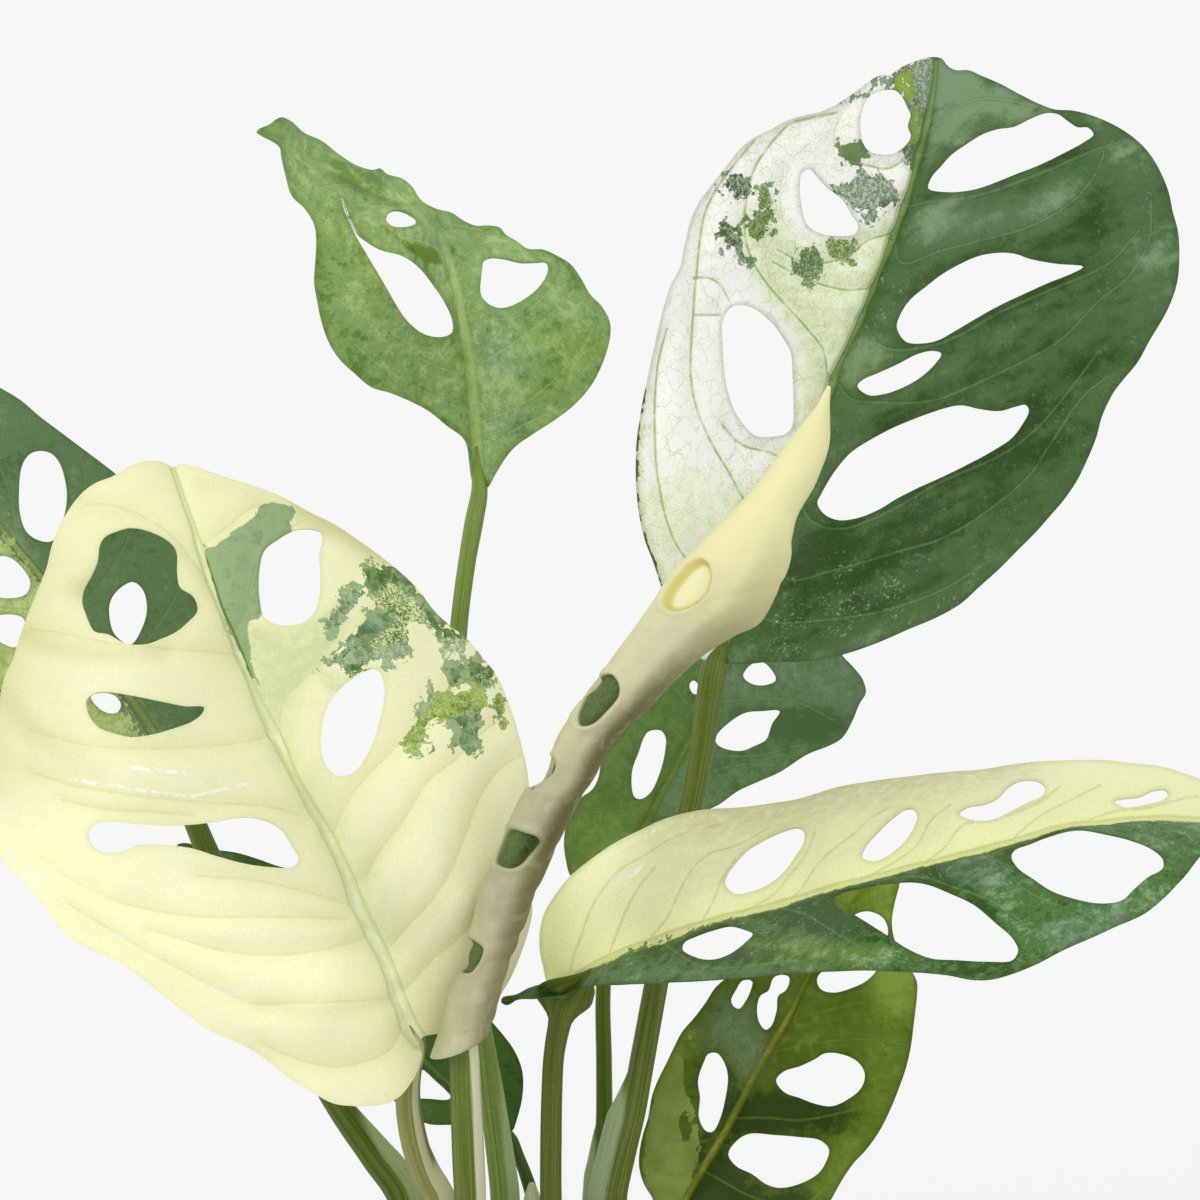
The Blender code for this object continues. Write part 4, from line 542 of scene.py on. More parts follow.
# Leaf stalks: (u, v, depth mm, radius mm) on the sheet from the blade down,
# then (x, y, z, radius) in mm down to the stem.  A sheath wing stands out on
# one side (+1 right, -1 left): v where it starts, v where it is full, its
# reach in mm, and the share of it that is left at the foot.
STALKS = {}
STALKS["stalk_cream_front"] = dict(
    sheet=[(416, 1047, -13.6, 2.0), (410, 1072, -12.6, 2.3), (408, 1100, -11.2, 2.5), (414, 1140, -8.6, 2.7),
           (424, 1172, -6.6, 2.7), (436, 1200, -5.6, 2.7)],
    foot=[(-18.2, -6.6, 150.0, 2.6), (-17.4, -6.0, 139.0, 2.6), (-16.7, -5.3, 131.2, 2.5)],
    wing=(1, 1150, 1195, 1.3, 0.2))
STALKS["stalk_green_left"] = dict(
    sheet=[(181, 788, 37.0, 1.9), (189, 808, 36.5, 2.2), (211, 860, 34.0, 2.5), (250, 938, 31.5, 2.6),
           (290, 1018, 29.0, 2.6), (338, 1105, 26.0, 2.7), (372, 1155, 23.0, 2.8), (402, 1200, 20.0, 2.9)],
    foot=[(-24.0, 14.5, 146.0, 2.8), (-21.2, 9.0, 132.0, 2.6), (-19.2, 5.2, 121.4, 2.4)],
    wing=(1, 1105, 1165, 2.0, 0.4))
STALKS["stalk_roll"] = dict(
    sheet=[(464, 1055.5, -20.0, 3.0), (466, 1100, -18.0, 3.1), (468, 1150, -15.0, 3.2), (470, 1200, -12.0, 3.2)],
    foot=[(-10.2, -9.4, 161.0, 3.1), (-11.5, -5.2, 156.4, 3.1), (-12.4, -2.2, 153.6, 3.1), (-12.6, -1.4, 151.2, 3.0)],
    wing=None)
STALKS["stalk_green_top"] = dict(
    sheet=[(479.5, 490.5, 13.6, 1.7), (474, 522, 12.8, 1.9), (467, 562, 11.8, 1.8), (459, 625, 10.6, 1.8),
           (455, 700, 9.6, 1.9), (455, 800, 8.6, 2.0), (461, 900, 7.2, 2.1), (472, 980, 5.8, 2.2),
           (483, 1040, 5.0, 2.2), (491, 1100, 4.4, 2.3), (497, 1150, 4.1, 2.35), (502, 1200, 4.0, 2.4)],
    foot=[(-4.4, 4.1, 150.0, 2.4), (-3.8, 3.7, 134.0, 2.4), (-3.1, 3.4, 121.8, 2.3)],
    wing=(1, 1040, 1180, 1.3, 0.5))
STALKS["stalk_green_low"] = dict(
    sheet=[(511, 1137, 20.2, 1.1), (519, 1157, 19.4, 1.2), (529, 1185, 18.6, 1.4), (535, 1210, 18.0, 1.5)],
    foot=[(2.3, 15.6, 148.0, 1.7), (2.4, 12.9, 136.0, 1.9), (2.4, 11.0, 127.2, 2.0)],
    wing=None)
STALKS["stalk_green_back"] = dict(
    sheet=[(625, 875, 46.4, 1.1), (617, 905, 45.0, 1.5), (606, 955, 41.0, 1.6), (603, 1000, 38.0, 1.6),
           (604, 1060, 34.5, 1.7), (604, 1130, 31.0, 1.8), (600, 1200, 28.0, 2.0)],
    foot=[(15.6, 26.4, 148.0, 2.2), (16.4, 23.6, 138.0, 2.3), (17.0, 21.2, 129.6, 2.2)],
    wing=(-1, 1125, 1160, 1.8, 0.4))
STALKS["stalk_half_cream"] = dict(
    sheet=[(566, 999.5, -8.4, 2.4), (560, 1022, -7.4, 2.3), (554, 1055, -6.6, 2.1), (552, 1090, -6.0, 2.1),
           (551, 1140, -5.4, 2.15), (551, 1200, -5.0, 2.2)],
    foot=[(6.8, -3.9, 152.0, 2.3), (6.9, -2.2, 142.0, 2.4), (6.6, -0.9, 133.8, 2.3)],
    wing=None)
STALKS["stalk_half_white"] = dict(
    sheet=[(715, 667, 11.4, 2.7), (709, 700, 11.8, 2.7), (700, 760, 12.4, 2.5), (687, 825, 13.0, 2.5),
           (671, 905, 13.6, 2.5), (656, 985, 14.0, 2.5), (645, 1045, 14.0, 2.55), (633, 1110, 13.2, 2.7),
           (622, 1155, 12.6, 2.8), (613, 1200, 12.0, 2.9)],
    foot=[(19.2, 12.8, 156.0, 3.1), (19.5, 13.7, 149.3, 3.1)],
    wing=(-1, 1075, 1120, 2.4, 0.3))
STALKS["stalk_green_right"] = dict(
    sheet=[(660, 1268, 21.0, 1.8)],
    foot=[(29.2, 21.0, 140.0, 2.1), (28.6, 19.6, 131.0, 2.3), (26.6, 17.8, 122.0, 2.3), (25.4, 17.0, 119.4, 2.2)],
    wing=None)

# The next shoot stands on the middle stem: (x, y, z, radius) in mm.
SHOOT = [(3.5, 4.3, 145.0, 2.8), (3.2, 3.3, 149.0, 2.8), (2.7, 1.6, 156.0, 2.6), (2.4, 0.6, 162.5, 2.3),
         (2.2, 0.3, 166.5, 1.6), (2.1, 0.2, 169.2, 0.6)]


def stalk_path(name):
    """World points, radii (m) and sheet heights of a stalk, blade end first."""
    s = STALKS[name]
    pts = [at(u, v, y / 1000.0) for u, v, y, r in s["sheet"]]
    rad = [r / 1000.0 for u, v, y, r in s["sheet"]]
    hgt = [v for u, v, y, r in s["sheet"]]
    for x, y, z, r in s["foot"]:
        pts.append(np.array((x, y, z)) / 1000.0)
        rad.append(r / 1000.0)
        hgt.append(1400.0)
    return np.array(pts), np.array(rad), np.array(hgt)


def wing_reach(wing, v):
    """How far (m) a sheath's wing stands out at sheet height v."""
    side, v0, v1, reach, left = wing
    t = np.clip((v - v0) / (v1 - v0), 0.0, 1.0)
    low = np.clip((v - 1200.0) / 200.0, 0.0, 1.0)
    return reach / 1000.0 * t * (1.0 - (1.0 - left) * low)


def fair(pts, extra, step):
    """Points about `step` metres apart along a smooth curve; extra columns follow."""
    q = np.hstack([pts, extra])
    n = len(q)
    e = np.vstack([2 * q[0] - q[1], q, 2 * q[-1] - q[-2]])
    fine = []
    for i in range(n - 1):
        a, b, c, d = e[i], e[i + 1], e[i + 2], e[i + 3]
        t0 = 0.0
        t1 = t0 + max(np.linalg.norm((b - a)[:3]), 1e-9) ** 0.5
        t2 = t1 + max(np.linalg.norm((c - b)[:3]), 1e-9) ** 0.5
        t3 = t2 + max(np.linalg.norm((d - c)[:3]), 1e-9) ** 0.5
        for t in np.linspace(t1, t2, 13)[:-1]:
            a1 = (t1 - t) / (t1 - t0) * a + (t - t0) / (t1 - t0) * b
            a2 = (t2 - t) / (t2 - t1) * b + (t - t1) / (t2 - t1) * c
            a3 = (t3 - t) / (t3 - t2) * c + (t - t2) / (t3 - t2) * d
            b1 = (t2 - t) / (t2 - t0) * a1 + (t - t0) / (t2 - t0) * a2
            b2 = (t3 - t) / (t3 - t1) * a2 + (t - t1) / (t3 - t1) * a3
            fine.append((t2 - t) / (t2 - t1) * b1 + (t - t1) / (t2 - t1) * b2)
    fine.append(q[-1])
    fine = np.array(fine)
    seg = np.linalg.norm(np.diff(fine[:, :3], axis=0), axis=1)
    s = np.concatenate([[0.0], np.cumsum(seg)])
    m = max(2, int(round(s[-1] / step)))
    t = np.linspace(0.0, s[-1], m + 1)
    out = np.stack([np.interp(t, s, fine[:, j]) for j in range(q.shape[1])], axis=-1)
    return out[:, :3], out[:, 3:], s[-1]


def frames(path):
    """Tangents and two cross directions: the first points to the right (+X)."""
    tan = np.gradient(path, axis=0)
    tan /= np.linalg.norm(tan, axis=1, keepdims=True)
    e1 = np.array((1.0, 0.0, 0.0)) - tan * tan[:, :1]
    e1 /= np.linalg.norm(e1, axis=1, keepdims=True)
    e2 = np.cross(tan, e1)
    return tan, e1, e2

# ---------------------------------------------------------------------------
# Helpers for meshes and for fields over the sheet
# ---------------------------------------------------------------------------
def hash2(i, j, seed):
    h = np.sin(i * 127.1 + j * 311.7 + seed * 74.7) * 43758.5453
    return h - np.floor(h)


def wobble(u, v, size, seed=0, octaves=3):
    """Smooth noise from -1 to 1 whose largest lumps are `size` across."""
    out, amp, total = 0.0, 1.0, 0.0
    for o in range(octaves):
        x = np.asarray(u) / size * 2.0 ** o + 17.3 * o
        y = np.asarray(v) / size * 2.0 ** o - 9.1 * o
        i, j = np.floor(x), np.floor(y)
        a, b = x - i, y - j
        a, b = a * a * (3 - 2 * a), b * b * (3 - 2 * b)
        val = (hash2(i, j, seed) * (1 - a) + hash2(i + 1, j, seed) * a) * (1 - b) \
            + (hash2(i, j + 1, seed) * (1 - a) + hash2(i + 1, j + 1, seed) * a) * b
        out = out + amp * val
        total += amp
        amp *= 0.5
    return out / total * 2.0 - 1.0


def ease(x, lo, hi):
    t = np.clip((np.asarray(x, dtype=float) - lo) / (hi - lo), 0.0, 1.0)
    return t * t * (3.0 - 2.0 * t)


def signed(poly, pts, step=6.0):
    """Distance into a closed patch of the sheet; negative outside it."""
    loop = smooth(poly, True, step)
    d, _ = line_distance(loop, pts, True)
    return np.where(inside(loop, pts), d, -d)


def patches(polys, pts, step=6.0):
    out = np.full(len(pts), -1e3)
    for p in polys:
        out = np.maximum(out, signed(p, pts, step))
    return out


def beside(line, off):
    """A line running `off` to the left of another (its right if negative)."""
    t = np.gradient(line, axis=0)
    t /= np.maximum(np.linalg.norm(t, axis=1, keepdims=True), 1e-9)
    o = np.asarray(off, dtype=float)
    o = o[:, None] if o.ndim else o
    return line + np.stack([t[:, 1], -t[:, 0]], -1) * o


def side_of(line, pts):
    """+1 to the right (larger u) of a line, -1 to its left, seen from above."""
    a = np.asarray(line, dtype=float)
    best = np.full(len(pts), 1e18)
    out = np.ones(len(pts))
    for i in range(len(a) - 1):
        s = a[i + 1] - a[i]
        w = pts - a[i]
        t = np.clip((w * s).sum(-1) / max((s ** 2).sum(), 1e-12), 0.0, 1.0)
        d = ((w - t[:, None] * s) ** 2).sum(-1)
        m = d < best
        best[m] = d[m]
        out[m] = np.sign(s[0] * w[m, 1] - s[1] * w[m, 0])
    return out


def new_mesh(name, verts, faces, sharp=50.0):
    mesh = bpy.data.meshes.new(name)
    mesh.from_pydata(np.asarray(verts).tolist(), [], [tuple(int(i) for i in f) for f in faces])
    mesh.validate()
    mesh.shade_smooth()
    mesh.set_sharp_from_angle(angle=math.radians(sharp))
    ob = bpy.data.objects.new(name, mesh)
    bpy.context.scene.collection.objects.link(ob)
    return ob


def paint(ob, name, values):
    """A number for every point of the mesh."""
    at_ = ob.data.attributes.new(name, "FLOAT", "POINT")
    at_.data.foreach_set("value", np.asarray(values, dtype=np.float32).ravel())


def paint3(ob, name, values):
    at_ = ob.data.attributes.new(name, "FLOAT_VECTOR", "POINT")
    at_.data.foreach_set("vector", np.asarray(values, dtype=np.float32).ravel())


def place(ob, skin, slot, *nodes):
    """Dresses a finished piece and lets it stand for its CAD nodes."""
    ob.data.materials.clear()
    ob.data.materials.append(skin)
    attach(ob, "root")
    if nodes:
        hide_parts(*nodes)
    return ob


# ---------------------------------------------------------------------------
# Helpers for materials
# ---------------------------------------------------------------------------
LIT = 0.88             # how much of a seen colour is the surface's own
HAZE = 0.010           # what the gloss adds to it


def tone(r, g, b, k=1.0):
    """A colour as it is seen in soft light, as the surface's own colour."""
    out = []
    for c in (r, g, b):
        c = c / 255.0
        c = c / 12.92 if c <= 0.04045 else ((c + 0.055) / 1.055) ** 2.4
        out.append(min(max(c * LIT * k - HAZE, 0.0015), 0.93))
    return tuple(out)


class Skin:
    """Builds one material out of nodes."""

    def __init__(self, name, rough=0.45, gloss=0.5):
        self.mat = bpy.data.materials.new(name)
        self.mat.use_nodes = True
        self.nt = self.mat.node_tree
        self.nt.nodes.clear()
        self.out = self.nt.nodes.new("ShaderNodeOutputMaterial")
        self.bsdf = self.nt.nodes.new("ShaderNodeBsdfPrincipled")
        self.nt.links.new(self.bsdf.outputs[0], self.out.inputs[0])
        self.bsdf.inputs["Roughness"].default_value = rough
        self.bsdf.inputs["Specular IOR Level"].default_value = gloss
        self._coord = None

    def put(self, node, key, value):
        sock = node.inputs[key]
        if isinstance(value, bpy.types.NodeSocket):
            self.nt.links.new(value, sock)
        elif sock.type == "RGBA":
            sock.default_value = (*value[:3], 1.0)
        else:
            sock.default_value = value

    def set(self, key, value):
        self.put(self.bsdf, key, value)

    def attr(self, name):
        n = self.nt.nodes.new("ShaderNodeAttribute")
        n.attribute_name = name
        return n.outputs["Fac"]

    def vec(self, name):
        n = self.nt.nodes.new("ShaderNodeAttribute")
        n.attribute_name = name
        return n.outputs["Vector"]

    def coord(self):
        if self._coord is None:
            self._coord = self.nt.nodes.new("ShaderNodeTexCoord").outputs["Object"]
        return self._coord

    def scaled(self, vec, s):
        n = self.nt.nodes.new("ShaderNodeVectorMath")
        n.operation = "MULTIPLY"
        self.nt.links.new(vec, n.inputs[0])
        n.inputs[1].default_value = s
        return n.outputs[0]

    def noise(self, scale, detail=3.0, rough=0.55, distort=0.0, vec=None, colour=False):
        n = self.nt.nodes.new("ShaderNodeTexNoise")
        self.nt.links.new(vec or self.coord(), n.inputs["Vector"])
        n.inputs["Scale"].default_value = scale
        n.inputs["Detail"].default_value = detail
        n.inputs["Roughness"].default_value = rough
        n.inputs["Distortion"].default_value = distort
        return n.outputs["Color" if colour else "Fac"]

    def cells(self, scale, feature="F1", out="Color", vec=None, random=1.0):
        n = self.nt.nodes.new("ShaderNodeTexVoronoi")
        n.feature = feature
        self.nt.links.new(vec or self.coord(), n.inputs["Vector"])
        n.inputs["Scale"].default_value = scale
        n.inputs["Randomness"].default_value = random
        if feature == "DISTANCE_TO_EDGE":
            return n.outputs["Distance"]
        if out == "Color":
            s = self.nt.nodes.new("ShaderNodeSeparateColor")
            self.nt.links.new(n.outputs["Color"], s.inputs[0])
            return s.outputs[0]
        return n.outputs[out]

    def bent(self, scale, amount):
        """Coordinates pushed about a little, so that cells get uneven edges."""
        n = self.nt.nodes.new("ShaderNodeVectorMath")
        n.operation = "MULTIPLY_ADD"
        self.nt.links.new(self.noise(scale, 2.0, 0.5, colour=True), n.inputs[0])
        n.inputs[1].default_value = (amount, amount, amount)
        self.nt.links.new(self.coord(), n.inputs[2])
        return n.outputs[0]

    def vmath(self, op, a, b, out=0):
        n = self.nt.nodes.new("ShaderNodeVectorMath")
        n.operation = op
        for i, x in enumerate((a, b)):
            if isinstance(x, bpy.types.NodeSocket):
                self.nt.links.new(x, n.inputs[i])
            else:
                n.inputs[i].default_value = x
        return n.outputs[out]

    def from_line(self, p0, p1):
        """Distance on the sheet, in pixels, from a short straight line."""
        a = (p0[0] / 100.0, p0[1] / 100.0, 0.0)
        d = ((p1[0] - p0[0]) / 100.0, (p1[1] - p0[1]) / 100.0, 0.0)
        w = self.vmath("SUBTRACT", self.vec("sheet"), a)
        t = self.math("DIVIDE", self.vmath("DOT_PRODUCT", w, d, 1), d[0] ** 2 + d[1] ** 2, True)
        n = self.nt.nodes.new("ShaderNodeVectorMath")
        n.operation = "SCALE"
        n.inputs[0].default_value = d
        self.nt.links.new(t, n.inputs["Scale"])
        gap = self.vmath("SUBTRACT", w, n.outputs[0])
        return self.mul(self.vmath("LENGTH", gap, (0.0, 0.0, 0.0), 1), 100.0)

    def math(self, op, a, b=0.0, clamp=False):
        n = self.nt.nodes.new("ShaderNodeMath")
        n.operation = op
        n.use_clamp = clamp
        self.put(n, 0, a)
        self.put(n, 1, b)
        return n.outputs[0]

    def add(self, *xs):
        out = xs[0]
        for x in xs[1:]:
            out = self.math("ADD", out, x)
        return out

    def mul(self, *xs):
        out = xs[0]
        for x in xs[1:]:
            out = self.math("MULTIPLY", out, x)
        return out

    def step(self, x, lo, hi, a=0.0, b=1.0):
        n = self.nt.nodes.new("ShaderNodeMapRange")
        n.interpolation_type = "SMOOTHSTEP"
        n.clamp = True
        self.put(n, 0, x)
        n.inputs[1].default_value = lo
        n.inputs[2].default_value = hi
        n.inputs[3].default_value = a
        n.inputs[4].default_value = b
        return n.outputs[0]

    def mix(self, fac, a, b, blend="MIX"):
        n = self.nt.nodes.new("ShaderNodeMix")
        n.data_type = "RGBA"
        n.blend_type = blend
        n.clamp_factor = True
        self.put(n, 0, fac)
        self.put(n, 6, a)
        self.put(n, 7, b)
        return n.outputs[2]

    def bump(self, height, strength=0.4, distance=0.0006, under=None):
        n = self.nt.nodes.new("ShaderNodeBump")
        n.inputs["Strength"].default_value = strength
        n.inputs["Distance"].default_value = distance
        self.put(n, "Height", height)
        if under is not None:
            self.nt.links.new(under, n.inputs["Normal"])
        return n.outputs[0]

# ---------------------------------------------------------------------------
# Open blades
# ---------------------------------------------------------------------------
CELL = 4.2


def blade(node, veins=(), rib=(14.0, 3.0), thick=0.00045, cell=CELL, ridge=0.0011, groove=0.00030,
          wave=(0.00045, 80.0), ripple=(0.00007, 24.0), seed=1, extra=None, slim=0.62):
    """A thin sheet with veins.  Returns the piece and what is known of its points."""
    leaf = BLADES[node]
    axis = smooth(leaf["midrib"], False, 6.0)
    t = np.linspace(0.0, 1.0, len(axis))
    half = 0.5 * (rib[0] * (1.0 - t) ** 1.3 + rib[1] * (1.0 - (1.0 - t) ** 1.3))
    guides = [axis] + [beside(axis, k * (half + o)) for k in (1, -1) for o in (0.0, 2.6)]
    paths = []
    for pts, w0, w1, *much in veins:
        line = smooth(pts, False, 5.0)
        paths.append((line, w0, w1, much[0] if much else 1.0))
        guides += [line, beside(line, 3.0), beside(line, -3.0)]
    flat, tris, loops = spread(leaf["outline"], leaf["holes"], guides, cell, 0.9 * cell, 0.95 * cell)
    n = len(flat)
    field = depth_field(leaf["depth"])
    near, pos = line_distance(axis, flat)
    hw = np.interp(pos, t, half)
    deep, wide = leaf["furrow"]
    y = field(flat[:, 0], flat[:, 1]) + deep / 1000.0 * np.exp(-near / wide)
    vein = np.zeros(n)
    dv = np.full(n, 1e3)
    for line, w0, w1, much in paths:
        d, p = line_distance(line, flat)
        w = (w0 + (w1 - w0) * p) * slim
        vein = np.maximum(vein, much * np.exp(-(d / w) ** 2))
        if much > 0.5:
            dv = np.minimum(dv, d)
    edge = np.full(n, 1e3)
    for lp in loops:
        d, _ = line_distance(lp, flat, True)
        edge = np.minimum(edge, d)
    mid = at(flat[:, 0], flat[:, 1], y)
    tris = face_eye(mid, tris)
    nrm = point_normals(mid, tris)
    rise = wave[0] * wobble(flat[:, 0], flat[:, 1], wave[1], seed, 2) \
        + ripple[0] * wobble(flat[:, 0], flat[:, 1], ripple[1], seed + 5, 2)
    rise = rise - groove * (0.75 * np.exp(-(dv / 15.0) ** 2) + 0.25 * np.exp(-(dv / 4.5) ** 2)) * ease(edge, 0.0, 12.0)
    inrib = 1.0 - ease(near - hw, -1.0, 2.4)
    rise = rise - 0.00018 * inrib
    if extra is not None:
        rise = rise + extra(flat, near, pos, edge)
    mid = mid + nrm * rise[:, None]
    nrm = point_normals(mid, tris)
    th = thick * (0.62 + 0.38 * ease(edge, 0.0, 14.0))
    back = th / 2 + ridge * (1.0 - 0.75 * pos) * np.exp(-(near / (hw + 2.5)) ** 2) \
        + 0.00028 * np.exp(-(dv / 3.6) ** 2) * ease(edge, 0.0, 10.0)
    verts, faces = thicken(mid + nrm * (th / 2)[:, None], mid - nrm * back[:, None], tris)
    ob = new_mesh(node.replace("leaf_", "blade_"), verts, faces)
    side = side_of(axis, flat)
    info = dict(flat=flat, near=near, pos=pos, edge=edge, side=side, vein=vein, dv=dv, axis=axis, half=half,
                hw=hw)
    both = lambda a: np.concatenate([a, a])
    paint(ob, "vein", both(vein))
    paint(ob, "rib", both(inrib))
    paint(ob, "edge", both(np.exp(-(edge / 2.6) ** 2)))
    paint(ob, "right", both(ease(side * near, -4.0, 4.0)))
    paint(ob, "near", both(np.minimum(near / 100.0, 3.0)))
    paint(ob, "along", both(pos))
    paint(ob, "under", np.concatenate([np.zeros(n), np.ones(n)]))
    paint3(ob, "sheet", both(np.stack([flat[:, 0] / 100.0, flat[:, 1] / 100.0, np.zeros(n)], -1).reshape(-1, 3)))
    info["both"] = both
    return ob, info


# ---------------------------------------------------------------------------
# Stalks and stems
# ---------------------------------------------------------------------------
def tube(path, radii, sides, push=None, caps=True):
    _, e1, e2 = frames(path)
    n = len(path)
    a = 2.0 * math.pi * np.arange(sides) / sides
    r = np.asarray(radii)[:, None] * np.ones(sides)
    reach = r if push is None else r + push(np.arange(n)[:, None], a[None, :])
    verts = path[:, None, :] + e1[:, None, :] * (np.cos(a) * reach)[:, :, None] \
        + e2[:, None, :] * (np.sin(a) * (r if push is None else r + 0.0 * reach))[:, :, None]
    verts = verts.reshape(-1, 3)
    faces = []
    for i in range(n - 1):
        for j in range(sides):
            k = (j + 1) % sides
            faces.append((i * sides + j, i * sides + k, (i + 1) * sides + k, (i + 1) * sides + j))
    if caps:
        faces.append(tuple(range(sides))[::-1])
        faces.append(tuple((n - 1) * sides + j for j in range(sides)))
    return verts, faces


def outward(ob):
    """Turns a closed piece's faces out."""
    bm = bmesh.new()
    bm.from_mesh(ob.data)
    bmesh.ops.recalc_face_normals(bm, faces=bm.faces)
    if bm.calc_volume(signed=True) < 0:
        bmesh.ops.reverse_faces(bm, faces=bm.faces)
    bm.to_mesh(ob.data)
    bm.free()
    return ob


HEADS = {
    # how each stalk runs on into the back of its blade: (u, v, depth mm, radius mm), tip first
    "stalk_cream_front": [(398, 992, -20.5, 0.9), (409, 1020, -16.5, 1.5)],
    "stalk_green_left": [(158, 742, 37.5, 0.7), (171, 768, 37.0, 1.3)],
    "stalk_roll": [(463, 1030, -21.0, 2.6), (463.5, 1046, -20.6, 2.9)],
    "stalk_green_top": [(476, 446, 13.6, 0.8), (478, 472, 14.0, 1.3)],
    "stalk_green_low": [(493, 1122, 24.0, 0.6), (503, 1131, 22.0, 0.9)],
    "stalk_green_back": [(636, 846, 52.0, 0.6), (630, 862, 49.0, 0.9)],
    "stalk_half_cream": [(592, 972, -17.5, 0.8), (575, 986, -11.5, 1.7)],
    "stalk_half_white": [(731, 630, 16.5, 1.2), (722, 650, 13.2, 1.9)],
    "stalk_green_right": [(672, 1232, 21.8, 0.7), (664, 1255, 20.6, 1.3)],
}
FEET = {
    # how each runs on into its stem: (x, y, z, radius) in mm
    "stalk_cream_front": [(-15.6, -3.2, 125.5, 2.3), (-14.6, -1.0, 121.5, 2.0)],
    "stalk_green_left": [(-17.2, 3.6, 117.4, 2.2), (-15.6, 2.6, 114.5, 1.9)],
    "stalk_roll": [(-12.6, -1.1, 148.0, 3.05), (-12.7, -0.9, 144.0, 2.7)],
    "stalk_green_top": [(-0.9, 4.0, 117.4, 2.1), (1.0, 4.8, 114.5, 1.8)],
    "stalk_green_low": [(2.7, 8.6, 122.5, 1.9), (3.0, 7.0, 118.8, 1.6)],
    "stalk_green_back": [(17.9, 18.8, 124.6, 2.1), (18.6, 16.8, 120.6, 1.8)],
    "stalk_half_cream": [(5.6, 1.4, 129.0, 2.2), (4.6, 3.4, 125.5, 1.9)],
    "stalk_half_white": [(19.5, 13.9, 146.0, 3.2), (19.5, 14.1, 141.0, 2.8)],
    "stalk_green_right": [(23.2, 16.4, 116.2, 2.1), (21.4, 16.2, 113.6, 1.8)],
}


def stalk(node, sides=28, every=0.0011, groove=0.12, bend_groove=0.0):
    pts, rad, hgt = stalk_path(node)
    s = STALKS[node]
    if HEADS.get(node):
        h = HEADS[node]
        pts = np.vstack([[at(u, v, y / 1000.0) for u, v, y, r in h], pts])
        rad = np.concatenate([[r / 1000.0 for u, v, y, r in h], rad])
        hgt = np.concatenate([[v for u, v, y, r in h], hgt])
    f = FEET[node]
    pts = np.vstack([pts, [np.array((x, y, z)) / 1000.0 for x, y, z, r in f]])
    rad = np.concatenate([rad, [r / 1000.0 for x, y, z, r in f]])
    hgt = np.concatenate([hgt, [1400.0 + 10 * i for i in range(1, len(f) + 1)]])
    path, rest, length = fair(pts, np.stack([rad, hgt], -1), every)
    wing = s["wing"]
    hs = rest[:, 1]
    rr = rest[:, 0]
    # a natural stalk is never quite even
    q = np.arange(len(path))
    rr = rr * (1.0 + 0.025 * wobble(q * 1.0, q * 0.0 + len(node), 9.0, 3, 2))

    def push(i, a):
        out = np.zeros((len(rr), sides))
        if wing is not None:
            reach = np.array([float(wing_reach(wing, v)) for v in hs])[:, None]
            out = out + reach * np.maximum(wing[0] * np.cos(a), 0.0) ** 3
        if node == "stalk_half_cream":
            # it spreads out below the blade that it holds up
            spreadw = (ease(hs, 1026.0, 996.0) ** 1.4 * ease(hs, 972.0, 990.0))[:, None]
            out = out + spreadw * (0.0046 * np.maximum(-np.cos(a), 0.0) ** 3 + 0.0030 * np.maximum(np.cos(a), 0.0) ** 3)
        # a shallow channel down the side that faces the stem's middle
        out = out - groove * rr[:, None] * np.exp(-((a - 1.5 * math.pi - bend_groove) / 0.35) ** 2)
        return out

    verts, faces = tube(path, rr, sides, push)
    ob = outward(new_mesh(node.replace("stalk_", "petiole_"), verts, faces, 70.0))
    a = np.tile(2.0 * math.pi * np.arange(sides) / sides, len(path))
    paint(ob, "down", np.repeat(hs / 1000.0, sides))
    paint(ob, "around", np.cos(a))
    paint(ob, "facing", np.sin(a))
    if wing is not None:
        reach = np.array([float(wing_reach(wing, v)) for v in hs]) / (wing[3] / 1000.0)
        paint(ob, "wing", np.repeat(reach, sides) * np.maximum(wing[0] * np.cos(a), 0.0) ** 2)
    else:
        paint(ob, "wing", np.zeros(len(a)))
    paint3(ob, "grain", np.stack([np.cos(a), np.sin(a), np.repeat(np.linspace(0, length * 60.0, len(path)), sides)], -1))
    return ob


def stem(node, rings, sides=40):
    foot, head, radius = STEMS[node]
    a, b = np.array(foot), np.array(head)
    n = 90
    t = np.linspace(0.0, 1.0, n)
    path = a + (b - a) * t[:, None]
    z = path[:, 2]
    rad = radius * (1.0 - 0.18 * t)
    ring = np.zeros(n)
    for zj in rings:
        ring = np.maximum(ring, np.exp(-((z - zj) / 0.0016) ** 2))
        rad = rad + 0.00026 * np.exp(-((z - zj) / 0.0016) ** 2) - 0.00012 * np.exp(-((z - zj - 0.0022) / 0.0010) ** 2)
    # rounded top
    rad = rad * np.sqrt(np.clip(1.0 - ease(t, 0.955, 1.0) * 0.75, 0.0, 1.0))
    ang = 2.0 * math.pi * np.arange(sides) / sides
    bumpy = 0.00009 * wobble(np.tile(ang * 6.0, (n, 1)), np.tile((t * 60.0)[:, None], (1, sides)), 2.0, 9, 2)
    verts, faces = tube(path, rad, sides, lambda i, a_: bumpy)
    ob = outward(new_mesh(node.replace("stem_", "vine_"), verts, faces, 70.0))
    paint(ob, "ring", np.repeat(ring, sides))
    paint(ob, "up", np.repeat(t, sides))
    return ob


